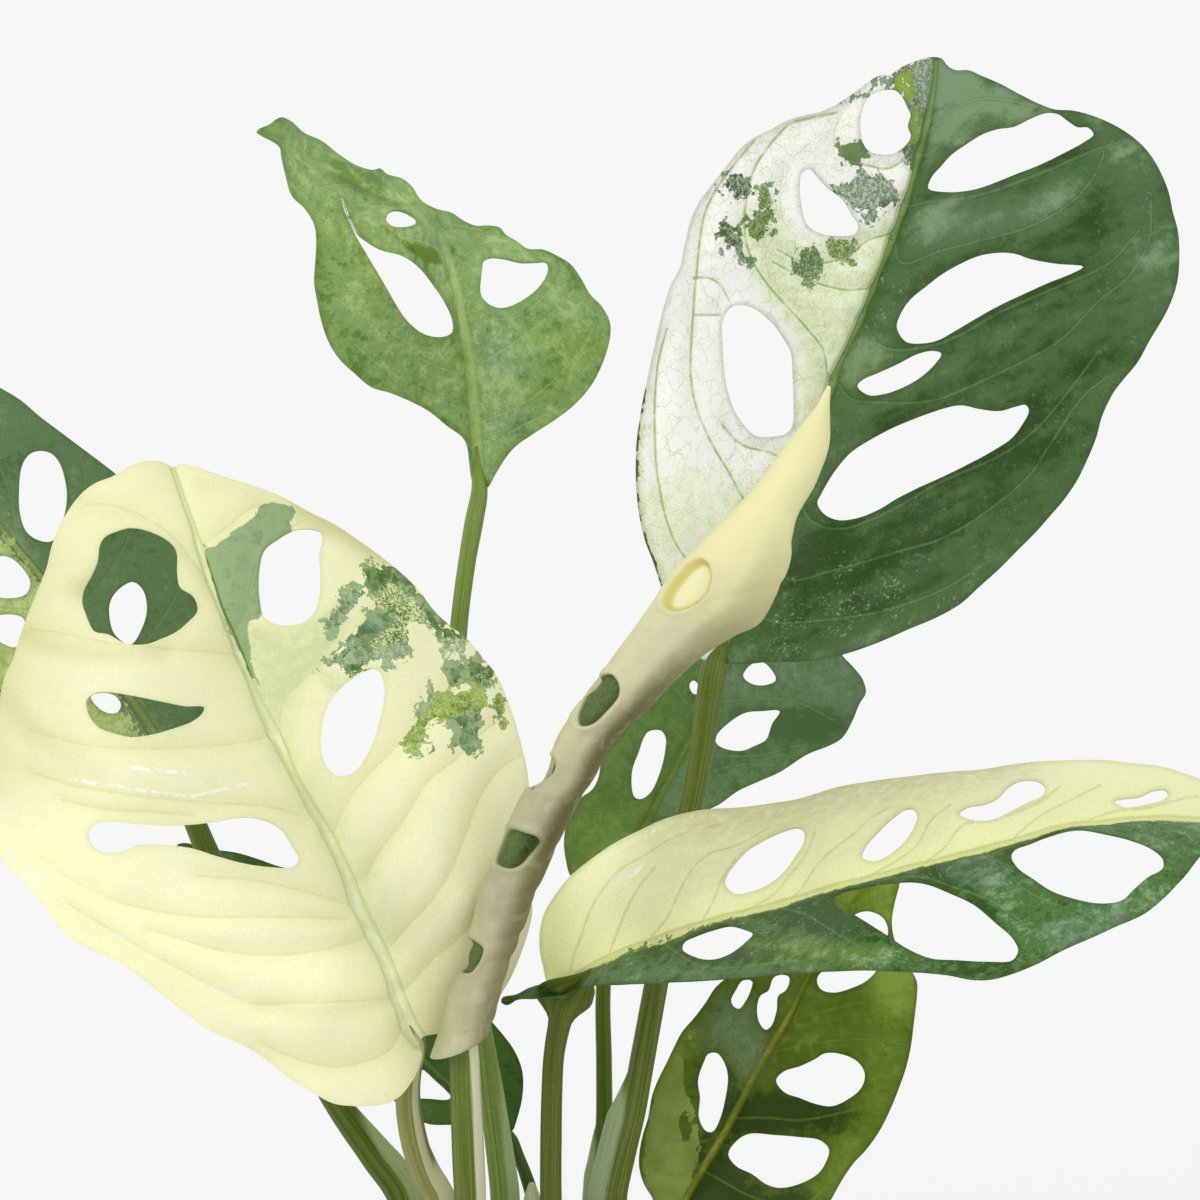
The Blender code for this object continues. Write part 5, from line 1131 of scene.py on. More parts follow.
# ---------------------------------------------------------------------------
# Camera, stage and light
# ---------------------------------------------------------------------------
scene = bpy.context.scene
cam = bpy.data.objects.new("camera", bpy.data.cameras.new("camera"))
cam.location = EYE
cam.rotation_euler = (math.radians(90.0) - TILT, 0.0, 0.0)
cam.data.lens = 90.0
cam.data.sensor_width = 36.0
cam.data.clip_start = 0.02
cam.data.clip_end = 50.0
scene.collection.objects.link(cam)
scene.camera = cam

bm = bmesh.new()
bmesh.ops.create_circle(bm, cap_ends=True, segments=96, radius=9.0)
floor_mesh = bpy.data.meshes.new("floor")
bm.to_mesh(floor_mesh)
bm.free()
floor = bpy.data.objects.new("floor", floor_mesh)
floor.location = (0.0, 0.0, -0.0002)
scene.collection.objects.link(floor)
FLOOR = 0.820
paper = Skin("floor_paper", 1.0, 0.0)
paper.set("Base Color", (FLOOR, FLOOR, FLOOR))
floor.data.materials.append(paper.mat)

BACK = 0.921
world = bpy.data.worlds.new("studio")
scene.world = world
world.use_nodes = True
wn = world.node_tree
wn.nodes.clear()
w_out = wn.nodes.new("ShaderNodeOutputWorld")
w_mix = wn.nodes.new("ShaderNodeMixShader")
w_light = wn.nodes.new("ShaderNodeBackground")
w_seen = wn.nodes.new("ShaderNodeBackground")
w_path = wn.nodes.new("ShaderNodeLightPath")
w_light.inputs[0].default_value = (0.985, 0.995, 1.0, 1.0)
w_light.inputs[1].default_value = 0.83
w_seen.inputs[0].default_value = (BACK, BACK, BACK, 1.0)
wn.links.new(w_path.outputs["Is Camera Ray"], w_mix.inputs[0])
wn.links.new(w_light.outputs[0], w_mix.inputs[1])
wn.links.new(w_seen.outputs[0], w_mix.inputs[2])
wn.links.new(w_mix.outputs[0], w_out.inputs[0])


def sun(name, direction, strength, spread_deg, colour=(1.0, 1.0, 1.0)):
    data = bpy.data.lights.new(name, "SUN")
    data.energy = strength
    data.angle = math.radians(spread_deg)
    data.color = colour
    ob = bpy.data.objects.new(name, data)
    ob.rotation_euler = Vector(direction).to_track_quat("-Z", "Y").to_euler()
    scene.collection.objects.link(ob)
    return ob


sun("key", (0.44, 0.64, -0.63), 0.95, 40.0, (1.0, 0.985, 0.96))
sun("fill", (-0.75, 0.35, -0.45), 0.30, 80.0)
sun("low_front", (0.15, 0.98, -0.06), 0.35, 60.0)
sun("back_fill", (0.2, -0.8, -0.5), 0.30, 80.0)

scene.view_settings.view_transform = "Standard"
scene.view_settings.look = "None"
scene.view_settings.exposure = 0.0
scene.view_settings.gamma = 1.0

# ---------------------------------------------------------------------------
# A general leaf material.  Points carry: green (how deep inside a green
# sector, in 20 units, negative outside), rag (how broken its edge is),
# warm (yellower), dark (darker) and the veins, midrib and margin.
# ---------------------------------------------------------------------------
def leaf_skin(name, pale, pale_warm, pale_vein, greens, green_vein, rib_pale, rib_green, rim,
              rough=0.46, speck=1500.0, net=420.0, net_wide=0.05, net_pale=0.05, net_green=0.05, under_k=0.15,
              mottled=0.30, flecks=0.25, wax=0.0, gloss=0.16, bumps=0.22, vein_pale=0.50, vein_green=0.45,
              rib_line=0.5, streaks=(), tint=None, dust=0.0, dust_tone=None, grain=0.55, net_tone=None,
              halo=0.45, blocky=1.0, gappy=False):
    k = Skin(name, rough, gloss)
    bent = k.bent(1300.0, 0.0007)
    soft = k.noise(110.0, 2.0, 0.6)
    mid_ = k.noise(420.0, 2.0, 0.6)
    fine = k.noise(1700.0, 3.0, 0.6)
    grit = k.cells(speck, vec=bent)
    lump = k.cells(speck * 0.42, vec=bent)
    net_line = None
    if max(net_pale, net_green) > 0.10:
        edge_net = k.cells(net, "DISTANCE_TO_EDGE", vec=k.bent(350.0, 0.0014))
        net_line = k.mul(k.step(edge_net, 0.0, net_wide, 1.0, 0.0), k.step(mid_, 0.36, 0.60))
    vein, rib, edge = k.step(k.attr("vein"), 0.25, 0.95), k.attr("rib"), k.attr("edge")
    beside_vein = k.mul(k.step(k.attr("vein"), 0.01, 0.30), k.add(k.mul(vein, -1.0), 1.0), k.step(soft, 0.30, 0.55, 0.4, 1.0))
    vein = k.mul(vein, k.step(mid_, 0.30, 0.60, 0.50, 1.0))
    green, rag, warm, dark = k.attr("green"), k.attr("rag"), k.attr("warm"), k.attr("dark")
    under = k.attr("under")
    # where the green sectors are
    broken = k.add(k.mul(k.add(grit, -0.5), 0.8 * blocky), k.mul(k.add(lump, -0.5), 1.4 * blocky), k.mul(k.add(fine, -0.5), 0.5),
                   k.mul(k.add(mid_, -0.5), 1.4))
    mask = k.step(k.add(green, k.mul(broken, rag)), -0.04, 0.04)
    # small crooked gaps inside some of them
    if gappy:
        worms = k.noise(1500.0, 2.0, 0.5, 1.2)
        gaps = k.math("MULTIPLY", k.step(worms, 0.50, 0.54), k.attr("gaps"), True)
        mask = k.mul(mask, k.add(k.mul(gaps, -1.0), 1.0))
    # pale tissue
    cream = k.mix(k.math("MULTIPLY", warm, 1.0, True), pale, pale_warm)
    cream = k.mix(k.mul(k.step(soft, 0.35, 0.75), 0.22), cream, pale_warm)
    cream = k.mix(k.mul(k.step(mid_, 0.46, 0.66), 0.16), cream, pale_warm)
    if tint is not None:
        cream = k.mix(k.math("MULTIPLY", k.attr("tint"), k.step(mid_, 0.15, 0.70, 0.35, 1.15), True), cream, tint)
    if dust > 0.0:
        specks = k.mul(k.step(k.noise(2600.0, 3.0, 0.65), 0.50, 0.66), k.step(mid_, 0.34, 0.62, 0.3, 1.0))
        cream = k.mix(k.mul(specks, dust, k.attr("dust")), cream, dust_tone)
    if net_line is not None:
        cream = k.mix(k.mul(net_line, net_pale), cream, net_tone or pale_vein)
    cream = k.mix(k.mul(beside_vein, halo * 0.6), cream, pale_warm)
    cream = k.mix(k.mul(vein, vein_pale), cream, pale_vein)
    # green tissue: darker below 0, lighter above it
    t = k.add(dark, k.mul(k.add(k.mul(k.add(lump, -0.5), flecks * 1.6), k.mul(k.add(grit, -0.5), flecks * 0.8),
                                k.mul(k.add(fine, -0.5), 0.9), k.mul(k.add(mid_, -0.5), 1.3),
                                k.mul(k.add(soft, -0.5), 1.1)), k.mul(k.attr("calm"), mottled)))
    leafy = k.mix(k.step(t, -0.50, -0.04), greens[0], greens[1])
    leafy = k.mix(k.step(t, 0.02, 0.50), leafy, greens[2])
    # some are yellower, some bluer
    hue = k.attr("hue")
    yellow = k.mix(k.step(t, -0.5, 0.5), tone(104, 134, 34), tone(156, 182, 80))
    bluish = k.mix(k.step(t, -0.5, 0.5), tone(92, 122, 92), tone(142, 166, 142))
    leafy = k.mix(k.math("MULTIPLY", hue, 1.0, True), leafy, yellow)
    leafy = k.mix(k.math("MULTIPLY", hue, -1.0, True), leafy, bluish)
    # painted shade in the creases beside the veins, on green tissue
    leafy = k.mix(k.mul(beside_vein, halo), leafy, (0.72, 0.76, 0.70), "MULTIPLY")
    if net_line is not None:
        leafy = k.mix(k.mul(net_line, net_green), leafy, green_vein)
    leafy = k.mix(k.mul(vein, vein_green), leafy, green_vein)
    if wax > 0.0:
        bloom = k.mul(k.step(k.noise(1500.0, 4.0, 0.7), 0.54, 0.70), k.step(k.noise(190.0, 3.0, 0.6), 0.44, 0.60))
        leafy = k.mix(k.mul(bloom, wax, k.attr("bloom")), leafy, tone(176, 196, 182))
    body = k.mix(mask, cream, leafy)
    # midrib, with a darker line down each side
    ribcol = k.mix(mask, rib_pale, rib_green)
    ribcol = k.mix(k.mul(k.step(k.noise(500.0, 2.0), 0.4, 0.7), 0.25), ribcol, body)
    body = k.mix(k.mul(rib, 0.85), body, ribcol)
    flank = k.math("MULTIPLY", k.mul(rib, k.add(k.mul(rib, -1.0), 1.0)), 4.0 * rib_line, True)
    body = k.mix(flank, body, k.mix(mask, pale_vein, greens[0]))
    body = k.mix(k.mul(edge, 0.40), body, k.mix(mask, rim, greens[0]))
    # soft shadowed folds, and parts that catch more light
    shade = k.attr("shade")
    body = k.mix(k.math("MULTIPLY", shade, 1.0, True), body, (0.70, 0.69, 0.54), "MULTIPLY")
    body = k.mix(k.math("MULTIPLY", shade, -1.0, True), body, (1.25, 1.25, 1.25), "MULTIPLY")
    # the fine grain of the skin
    tiny = k.noise(3800.0, 2.0, 0.6)
    body = k.mix(k.mul(k.step(tiny, 0.42, 0.66), grain), body, (1.12, 1.12, 1.14), "MULTIPLY")
    body = k.mix(k.mul(k.step(tiny, 0.52, 0.34), grain), body, (0.86, 0.87, 0.80), "MULTIPLY")
    # underside: duller and paler
    body = k.mix(k.mul(under, under_k), body, tone(170, 185, 140))
    rgh = k.add(k.mul(k.add(fine, -0.5), 0.16), rough, k.mul(under, 0.12))
    # painted highlights: white gloss glints along the given streak lines, on the upper face only
    if streaks:
        lines = [k.step(k.add(k.from_line(a, b), k.mul(k.add(fine, -0.5), 3.5)), 0.2 * w, w, 1.0, 0.0) for a, b, w in streaks]
        lit = lines[0]
        for x in lines[1:]:
            lit = k.math("MAXIMUM", lit, x)
        lit = k.mul(lit, k.step(k.noise(600.0, 2.0), 0.40, 0.52), k.add(k.mul(under, -1.0), 1.0))
        body = k.mix(k.mul(lit, 0.85), body, tone(254, 254, 250))
    k.set("Base Color", body)
    k.set("Roughness", rgh)
    height = k.add(k.mul(fine, 0.5), k.mul(mid_, 0.6), k.mul(k.attr("vein"), -0.35))
    k.set("Normal", k.bump(height, bumps, 0.00035))
    return k.mat


def dress(ob, info, green, rag, warm, dark, bloom=0.0, shade=0.0, hue=0.0, gaps=0.0, tint=0.0, dust=0.0, calm=1.0):
    n = len(info["flat"])
    for key, val in (("green", green), ("rag", rag), ("warm", warm), ("dark", dark), ("bloom", bloom),
                     ("shade", shade), ("hue", hue), ("gaps", gaps), ("tint", tint), ("dust", dust), ("calm", calm)):
        val = np.broadcast_to(np.asarray(val, dtype=float), (n,))
        paint(ob, key, info["both"](val))


GREENS_A = (tone(82, 116, 52), tone(118, 148, 98), tone(158, 184, 128))

# --- the big cream blade in front ------------------------------------------
VEINS_A = [
    ([(300, 815), (270, 807), (200, 802), (140, 796), (100, 790), (70, 785), (30, 772)], 3.0, 1.6),
    ([(345, 919), (300, 917), (250, 917), (190, 916), (130, 905), (80, 885), (40, 858)], 3.0, 1.6),
    ([(395, 998), (350, 1001), (300, 1003), (250, 1003), (220, 990), (170, 965), (110, 930), (70, 905)], 2.8, 1.5),
    ([(404, 1020), (398, 1040), (385, 1055), (340, 1069), (300, 1062), (262, 1045)], 2.8, 1.5),
    ([(240, 655), (210, 652), (180, 650), (120, 644), (60, 632), (30, 628)], 2.6, 1.5),
    ([(272, 735), (240, 742), (200, 746), (150, 748), (90, 745), (30, 730)], 2.4, 1.4),
    ([(212, 588), (200, 570), (180, 545), (150, 520), (110, 505), (85, 505)], 2.4, 1.4),
    ([(333, 835), (340, 815), (355, 790), (375, 768), (400, 742), (420, 720), (440, 700), (470, 672)], 2.8, 1.4),
    ([(365, 880), (380, 850), (400, 825), (430, 780), (455, 760), (480, 735), (505, 715)], 2.6, 1.4),
    ([(392, 945), (410, 925), (430, 905), (450, 875), (465, 840), (480, 800), (500, 770), (520, 755)], 2.6, 1.4),
    ([(405, 990), (430, 965), (460, 940), (490, 905), (510, 870), (528, 840)], 2.4, 1.3),
    ([(288, 752), (281, 735), (280, 712), (288, 695), (305, 678), (325, 660), (345, 640), (365, 618), (385, 602), (405, 590)], 2.4, 1.3),
    ([(233, 632), (245, 610), (252, 585), (258, 562), (272, 540), (300, 522)], 2.2, 1.2),
    ([(200, 545), (225, 528), (250, 508), (285, 500)], 2.0, 1.2),
    ([(195, 815), (150, 812), (110, 810), (60, 800)], 1.6, 1.0),
    ([(372, 935), (330, 948), (280, 955), (220, 950), (150, 930)], 1.8, 1.0),
    ([(350, 905), (300, 890), (250, 880), (200, 876)], 1.6, 1.0),
]
A_SOLID = [[(203, 543), (208, 549), (222, 540), (240, 527), (255, 515), (262, 503), (278, 503), (296, 511),
            (291, 518), (293, 530), (285, 545), (270, 560), (262, 575), (262, 600), (260, 617), (250, 622),
            (247, 630), (250, 640), (250, 655), (254, 670), (262, 688), (252, 676), (244, 660), (235, 643),
            (225, 620), (215, 590), (208, 565)]]
A_BROKEN = [[(364, 572), (366, 561), (374, 560), (378, 567), (388, 563), (400, 567), (412, 578), (422, 592),
             (432, 606), (442, 622), (454, 630), (466, 641), (463, 650), (452, 648), (442, 655), (438, 640),
             (430, 628), (416, 622), (404, 626), (411, 640), (410, 656), (398, 663), (386, 668), (376, 662),
             (366, 669), (350, 676), (338, 664), (322, 671), (311, 673), (324, 661), (336, 649), (347, 638),
             (357, 626), (366, 616), (376, 606), (372, 598), (366, 588), (368, 580)],
            [(324, 624), (331, 612), (337, 601), (334, 594), (345, 592), (352, 585), (362, 588), (368, 592),
             (360, 602), (350, 613), (345, 625), (340, 632), (333, 634)],
            [(442, 668), (448, 664), (456, 660), (466, 662), (471, 655), (480, 655), (488, 663), (496, 672),
             (491, 684), (484, 690), (470, 684), (456, 688), (447, 684)],
            [(431, 680), (437, 690), (447, 690), (462, 692), (475, 686), (486, 690), (486, 702), (482, 722),
             (484, 745), (470, 758), (460, 750), (450, 746), (455, 730), (442, 722), (430, 724), (424, 740),
             (420, 752), (410, 752), (402, 740), (408, 730), (414, 718), (412, 711), (421, 703), (426, 690)],
            [(498, 692), (504, 698), (505, 714), (505, 728), (500, 732), (497, 722), (489, 708)],
            [(424, 753), (426, 745), (434, 745), (432, 755)]]


A_GLINTS = [((70, 779), (150, 791), 2.6), ((150, 791), (192, 796), 2.2), ((192, 796), (246, 784), 2.2),
            ((130, 768), (190, 774), 2.8), ((203, 981), (233, 994), 3.0), ((110, 933), (126, 940), 2.0)]
# painted shade along soft folds: a line, how wide and how strong
A_FOLD_SHADE = [([(118, 552), (100, 575), (80, 590)], 12, 0.7), ([(12, 630), (60, 650), (110, 655), (160, 652)], 10, 0.35),
           ([(0, 690), (40, 740), (100, 770)], 12, 0.25), ([(260, 1003), (320, 1012), (380, 1000), (400, 985)], 8, 0.45),
           ([(130, 890), (200, 930), (270, 935), (350, 940)], 14, 0.25), ([(360, 880), (385, 845), (420, 800)], 12, 0.20),
           ([(395, 950), (430, 915), (455, 870)], 12, 0.25), ([(52, 895), (120, 950), (200, 1010), (280, 1060)], 12, 0.22),
           ([(300, 500), (350, 540), (380, 560)], 14, 0.45), ([(262, 503), (240, 490), (200, 485)], 8, 0.2)]


def folded(folds, f):
    out = np.zeros(len(f))
    for pts, wide, much in folds:
        d, _ = line_distance(smooth(pts, False, 6.0), f)
        out = np.maximum(out, much * np.exp(-(d / wide) ** 2))
    return out


# parts of the broken patches: outline, lighter or darker, yellower or bluer, how gappy
A_PARTS = [
    ([(364, 574), (372, 566), (386, 571), (390, 582), (376, 592), (364, 597), (367, 584)], -0.45, 0.0, 0.0),
    ([(366, 566), (366, 559), (378, 558), (380, 568)], 0.10, 0.3, 0.9),
    ([(388, 562), (402, 568), (430, 603), (440, 622), (428, 618), (410, 596), (396, 580)], 0.15, -0.2, 0.0),
    ([(378, 590), (392, 582), (410, 596), (424, 618), (410, 640), (395, 650), (385, 640), (398, 612), (372, 604)], 0.0, 0.45, 0.80),
    ([(320, 626), (335, 600), (352, 586), (370, 592), (348, 622), (336, 642)], 0.20, -0.35, 0.25),
    ([(342, 640), (350, 622), (372, 612), (390, 618), (384, 632), (360, 642)], 0.05, -0.6, 0.0),
    ([(370, 645), (385, 630), (402, 618), (408, 632), (392, 648), (376, 652)], -0.30, 0.35, 0.7),
    ([(310, 674), (332, 646), (362, 640), (352, 660), (332, 674)], 0.25, -0.5, 0.25),
    ([(356, 660), (378, 650), (410, 640), (412, 656), (396, 667), (372, 666)], 0.40, -0.6, 0.30),
    ([(436, 626), (455, 614), (470, 640), (446, 640)], -0.40, 0.0, 0.2),
    ([(438, 640), (468, 642), (460, 654), (440, 657)], 0.25, -0.3, 0.5),
    ([(440, 668), (458, 658), (484, 652), (498, 676), (486, 692), (446, 690)], 0.15, -0.15, 0.1),
    ([(454, 679), (472, 674), (494, 671), (492, 684), (470, 682), (456, 686)], -0.50, 0.0, 0.3),
    ([(400, 745), (412, 712), (424, 690), (484, 688), (486, 716), (455, 726), (425, 724)], 0.15, 0.95, 0.30),
    ([(420, 690), (428, 676), (438, 690), (424, 712), (410, 722)], 0.25, -0.25, 0.3),
    ([(446, 722), (486, 716), (488, 752), (466, 764), (444, 748)], 0.18, -0.35, 0.1),
    ([(400, 752), (402, 735), (424, 724), (424, 745), (412, 756)], 0.10, 0.8, 0.3),
    ([(486, 690), (500, 688), (508, 712), (507, 735), (494, 732)], 0.05, 0.7, 0.3)]


def leaf_a():
    ob, info = blade("leaf_cream_front", VEINS_A, rib=(15.0, 3.5), wave=(0.00070, 90.0), seed=3, groove=0.00060)
    f = info["flat"]
    solid = patches(A_SOLID, f)
    broken = patches(A_BROKEN, f)
    green = np.maximum(solid, broken) / 14.0
    rag = np.where(solid > broken, 0.10, 0.46)
    wash = ease(signed([(250, 622), (262, 630), (290, 628), (312, 620), (332, 606), (345, 600), (338, 640),
                        (322, 662), (305, 678), (285, 700), (270, 705), (256, 680), (250, 655)], f), -10, 8)
    wash2 = ease(signed([(318, 668), (345, 676), (360, 668), (345, 690), (330, 690)], f), -8, 6)
    warm = 0.15 + 0.35 * np.exp(-(info["near"] / 45.0) ** 2) + 0.25 * wobble(f[:, 0], f[:, 1], 130.0, 4) \
        + 0.9 * wash + 0.8 * wash2
    lumps = wobble(f[:, 0], f[:, 1], 26.0, 8)
    dark = np.where(solid > broken, 0.50 + 0.10 * lumps, 0.0 + 0.30 * lumps)
    hue = np.where(solid > broken, -0.25, 0.0)
    gaps = np.zeros(len(f))
    for poly, dk, hu, gp in A_PARTS:
        inn = ease(signed(poly, f, 4.0), -3.0, 2.0)
        dark = dark * (1 - inn) + dk * inn
        hue = hue * (1 - inn) + hu * inn
        gaps = gaps * (1 - inn) + gp * inn
    warm = np.clip(warm - 0.9 * wash - 0.8 * wash2, 0, 1)
    tint = np.clip(0.95 * wash + 0.75 * wash2 + 0.45 * ease(signed([(250, 690), (300, 690), (290, 740), (330, 800), (380, 880), (395, 930),
                   (380, 940), (340, 880), (300, 800), (262, 730)], f), -18, 14), 0, 1)
    # painted light and shade: lift is painted light over the lower part; shade is painted shade along the folds, at the
    # left margin and along the tip's right margin, plus a little at random, less painted light over the right part
    lift = ease(signed([(-40, 840), (40, 830), (200, 900), (340, 930), (430, 980), (420, 1130), (200, 1130), (0, 980)], f), -60, 60)
    shade = folded(A_FOLD_SHADE, f)
    shade = np.where(shade > 0.04, shade * 0.9, 0.0) + 0.42 * ease(f[:, 0] + 0.25 * (f[:, 1] - 600), 150, 0) * ease(f[:, 1], 500, 580) \
        + 0.40 * ease(signed([(288, 500), (330, 512), (385, 545), (415, 580), (395, 572), (350, 545), (300, 520)], f), -8, 8) \
        + 0.12 * (0.5 + 0.5 * wobble(f[:, 0], f[:, 1], 55.0, 12)) - 1.0 * lift \
        - 0.35 * ease(signed([(400, 760), (470, 700), (520, 740), (525, 850), (480, 940), (430, 960), (400, 900)], f), -30, 30)
    warm = np.clip(warm + 0.40 * np.exp(-(info["dv"] / 11.0) ** 2) + 0.8 * ease(f[:, 0] + 0.25 * (f[:, 1] - 600), 75, -10) * (1 - np.clip(lift, 0, 1)), 0, 1)
    dress(ob, info, green, rag, warm, dark, shade=shade, hue=hue, gaps=gaps, tint=tint,
          calm=np.where(solid > broken, 0.35, 1.0))
    skin = leaf_skin("blade_cream_skin", tone(246, 245, 207), tone(236, 236, 180), tone(204, 214, 142),
                     GREENS_A, tone(150, 176, 104), tone(240, 245, 208), tone(176, 198, 138), tone(222, 222, 168),
                     rough=0.42, net_pale=0.04, tint=tone(214, 225, 170), vein_pale=0.40, halo=0.35, grain=0.38, mottled=0.75, flecks=0.8, speck=1150.0, rib_line=0.8,
                     streaks=A_GLINTS, gappy=True)
    place(ob, skin, "blade_cream", "leaf_cream_front")


# --- the green blade at the left --------------------------------------------
VEINS_B = [
    ([(153, 733), (120, 735), (85, 728), (50, 715), (15, 695)], 2.0, 1.2),
    ([(127, 695), (95, 672), (60, 660), (20, 655), (-20, 645)], 2.0, 1.2),
    ([(98, 655), (70, 640), (45, 612), (10, 608), (-40, 600)], 2.0, 1.2),
    ([(42, 578), (15, 548), (-20, 545), (-60, 540)], 2.0, 1.2),
    ([(20, 552), (15, 520), (5, 480), (-10, 440), (-30, 405)], 2.0, 1.2),
    ([(42, 578), (55, 555), (75, 520), (85, 480), (80, 455)], 2.0, 1.2),
    ([(70, 617), (95, 590), (120, 555), (135, 520), (140, 500)], 2.0, 1.2),
    ([(98, 655), (125, 660), (155, 630), (180, 590), (195, 570)], 2.0, 1.2),
    ([(127, 695), (150, 690), (185, 670), (215, 640), (226, 620)], 2.0, 1.2),
]


def leaf_b():
    ob, info = blade("leaf_green_left", VEINS_B, rib=(9.0, 3.0), seed=7)
    f = info["flat"]
    pale = patches([[(-60, 610), (-30, 600), (0, 592), (25, 590), (45, 598), (62, 620), (85, 652), (105, 684),
                     (128, 715), (145, 735), (130, 745), (95, 742), (60, 728), (20, 700), (-20, 665)],
                    [(-30, 505), (0, 530), (20, 556), (42, 583), (60, 610), (40, 604), (10, 585), (-20, 565)]], f)
    green = -pale / 14.0 + 0.1
    rag = np.where(pale > -25, 0.75, 0.0)
    warm = 0.5 + 0.3 * wobble(f[:, 0], f[:, 1], 60.0, 4)
    dark = 0.0 + 0.25 * wobble(f[:, 0], f[:, 1], 60.0, 8) + 0.3 * ease(pale, -30, 0)
    tint = 0.5 + 0.5 * wobble(f[:, 0], f[:, 1], 30.0, 14)
    dress(ob, info, green, rag, warm, dark, tint=tint, dust=0.8)
    skin = leaf_skin("blade_left_skin", tone(222, 230, 172), tone(200, 214, 140), tone(150, 176, 92),
                     (tone(70, 98, 50), tone(100, 128, 86), tone(130, 156, 114)), tone(118, 146, 92),
                     tone(190, 200, 130), tone(156, 178, 108), tone(80, 90, 50), mottled=0.5, net=520.0, net_wide=0.12, net_pale=0.55, tint=tone(176, 198, 122), dust=0.8,
                     dust_tone=tone(146, 174, 96), rib_line=0.5)
    place(ob, skin, "blade_green", "leaf_green_left")


# --- the small low green blade ----------------------------------------------
VEINS_D = [
    ([(484, 1112), (490, 1080), (485, 1045)], 2.0, 1.2), ([(455, 1090), (460, 1060), (455, 1020), (445, 990)], 2.0, 1.2),
    ([(425, 1062), (425, 1030), (415, 995), (400, 960)], 2.0, 1.2), ([(395, 1030), (385, 990), (365, 945), (345, 905)], 2.0, 1.2),
    ([(350, 985), (330, 950), (300, 920)], 2.0, 1.2), ([(455, 1090), (430, 1105), (410, 1108)], 2.0, 1.2),
    ([(425, 1062), (395, 1065), (370, 1068)], 2.0, 1.2), ([(395, 1030), (350, 1025), (315, 1020)], 2.0, 1.2),
    ([(350, 985), (310, 980), (270, 985)], 2.0, 1.2),
]


def leaf_d():
    ob, info = blade("leaf_green_low", VEINS_D, rib=(7.0, 2.4), seed=11, wave=(0.0004, 60.0))
    f = info["flat"]
    dark = -0.05 + 0.3 * wobble(f[:, 0], f[:, 1], 50.0, 8)
    dress(ob, info, 1.0, 0.0, 0.5, dark)
    skin = leaf_skin("blade_low_skin", tone(205, 215, 160), tone(185, 200, 130), tone(170, 190, 110),
                     (tone(50, 80, 30), tone(76, 108, 50), tone(106, 138, 78)), tone(100, 130, 68),
                     tone(150, 170, 110), tone(124, 152, 84), tone(70, 85, 45), mottled=0.5)
    place(ob, skin, "blade_green", "leaf_green_low")


# --- the marbled blade at the top --------------------------------------------
VEINS_E = [
    ([(474, 410), (450, 405), (425, 392), (400, 378), (375, 362), (350, 340)], 2.2, 1.3),
    ([(471, 375), (440, 368), (405, 348), (375, 322), (350, 290), (335, 262)], 2.2, 1.3),
    ([(462, 315), (455, 345), (430, 348), (400, 338), (375, 318)], 1.6, 1.1),
    ([(449, 256), (430, 245), (405, 238), (380, 240), (362, 230)], 1.8, 1.1),
    ([(398, 205), (375, 205), (350, 205), (330, 215), (322, 240)], 1.8, 1.1),
    ([(354, 185), (330, 185), (310, 190), (300, 185)], 1.6, 1.0),
    ([(475, 424), (500, 415), (530, 400), (560, 375), (585, 345), (598, 320)], 2.2, 1.2),
    ([(470, 370), (495, 355), (525, 335), (555, 310), (575, 290)], 2.0, 1.2),
    ([(462, 315), (475, 310), (490, 318), (520, 315), (548, 292), (562, 272)], 2.0, 1.2),
    ([(455, 278), (465, 255), (485, 245), (515, 248), (540, 254)], 2.0, 1.2),
    ([(438, 233), (450, 225), (470, 228), (490, 232)], 1.6, 1.0),
    ([(398, 205), (405, 195), (420, 205), (435, 215)], 1.6, 1.0),
    ([(477, 450), (495, 442), (515, 430), (545, 415)], 1.8, 1.1),
]


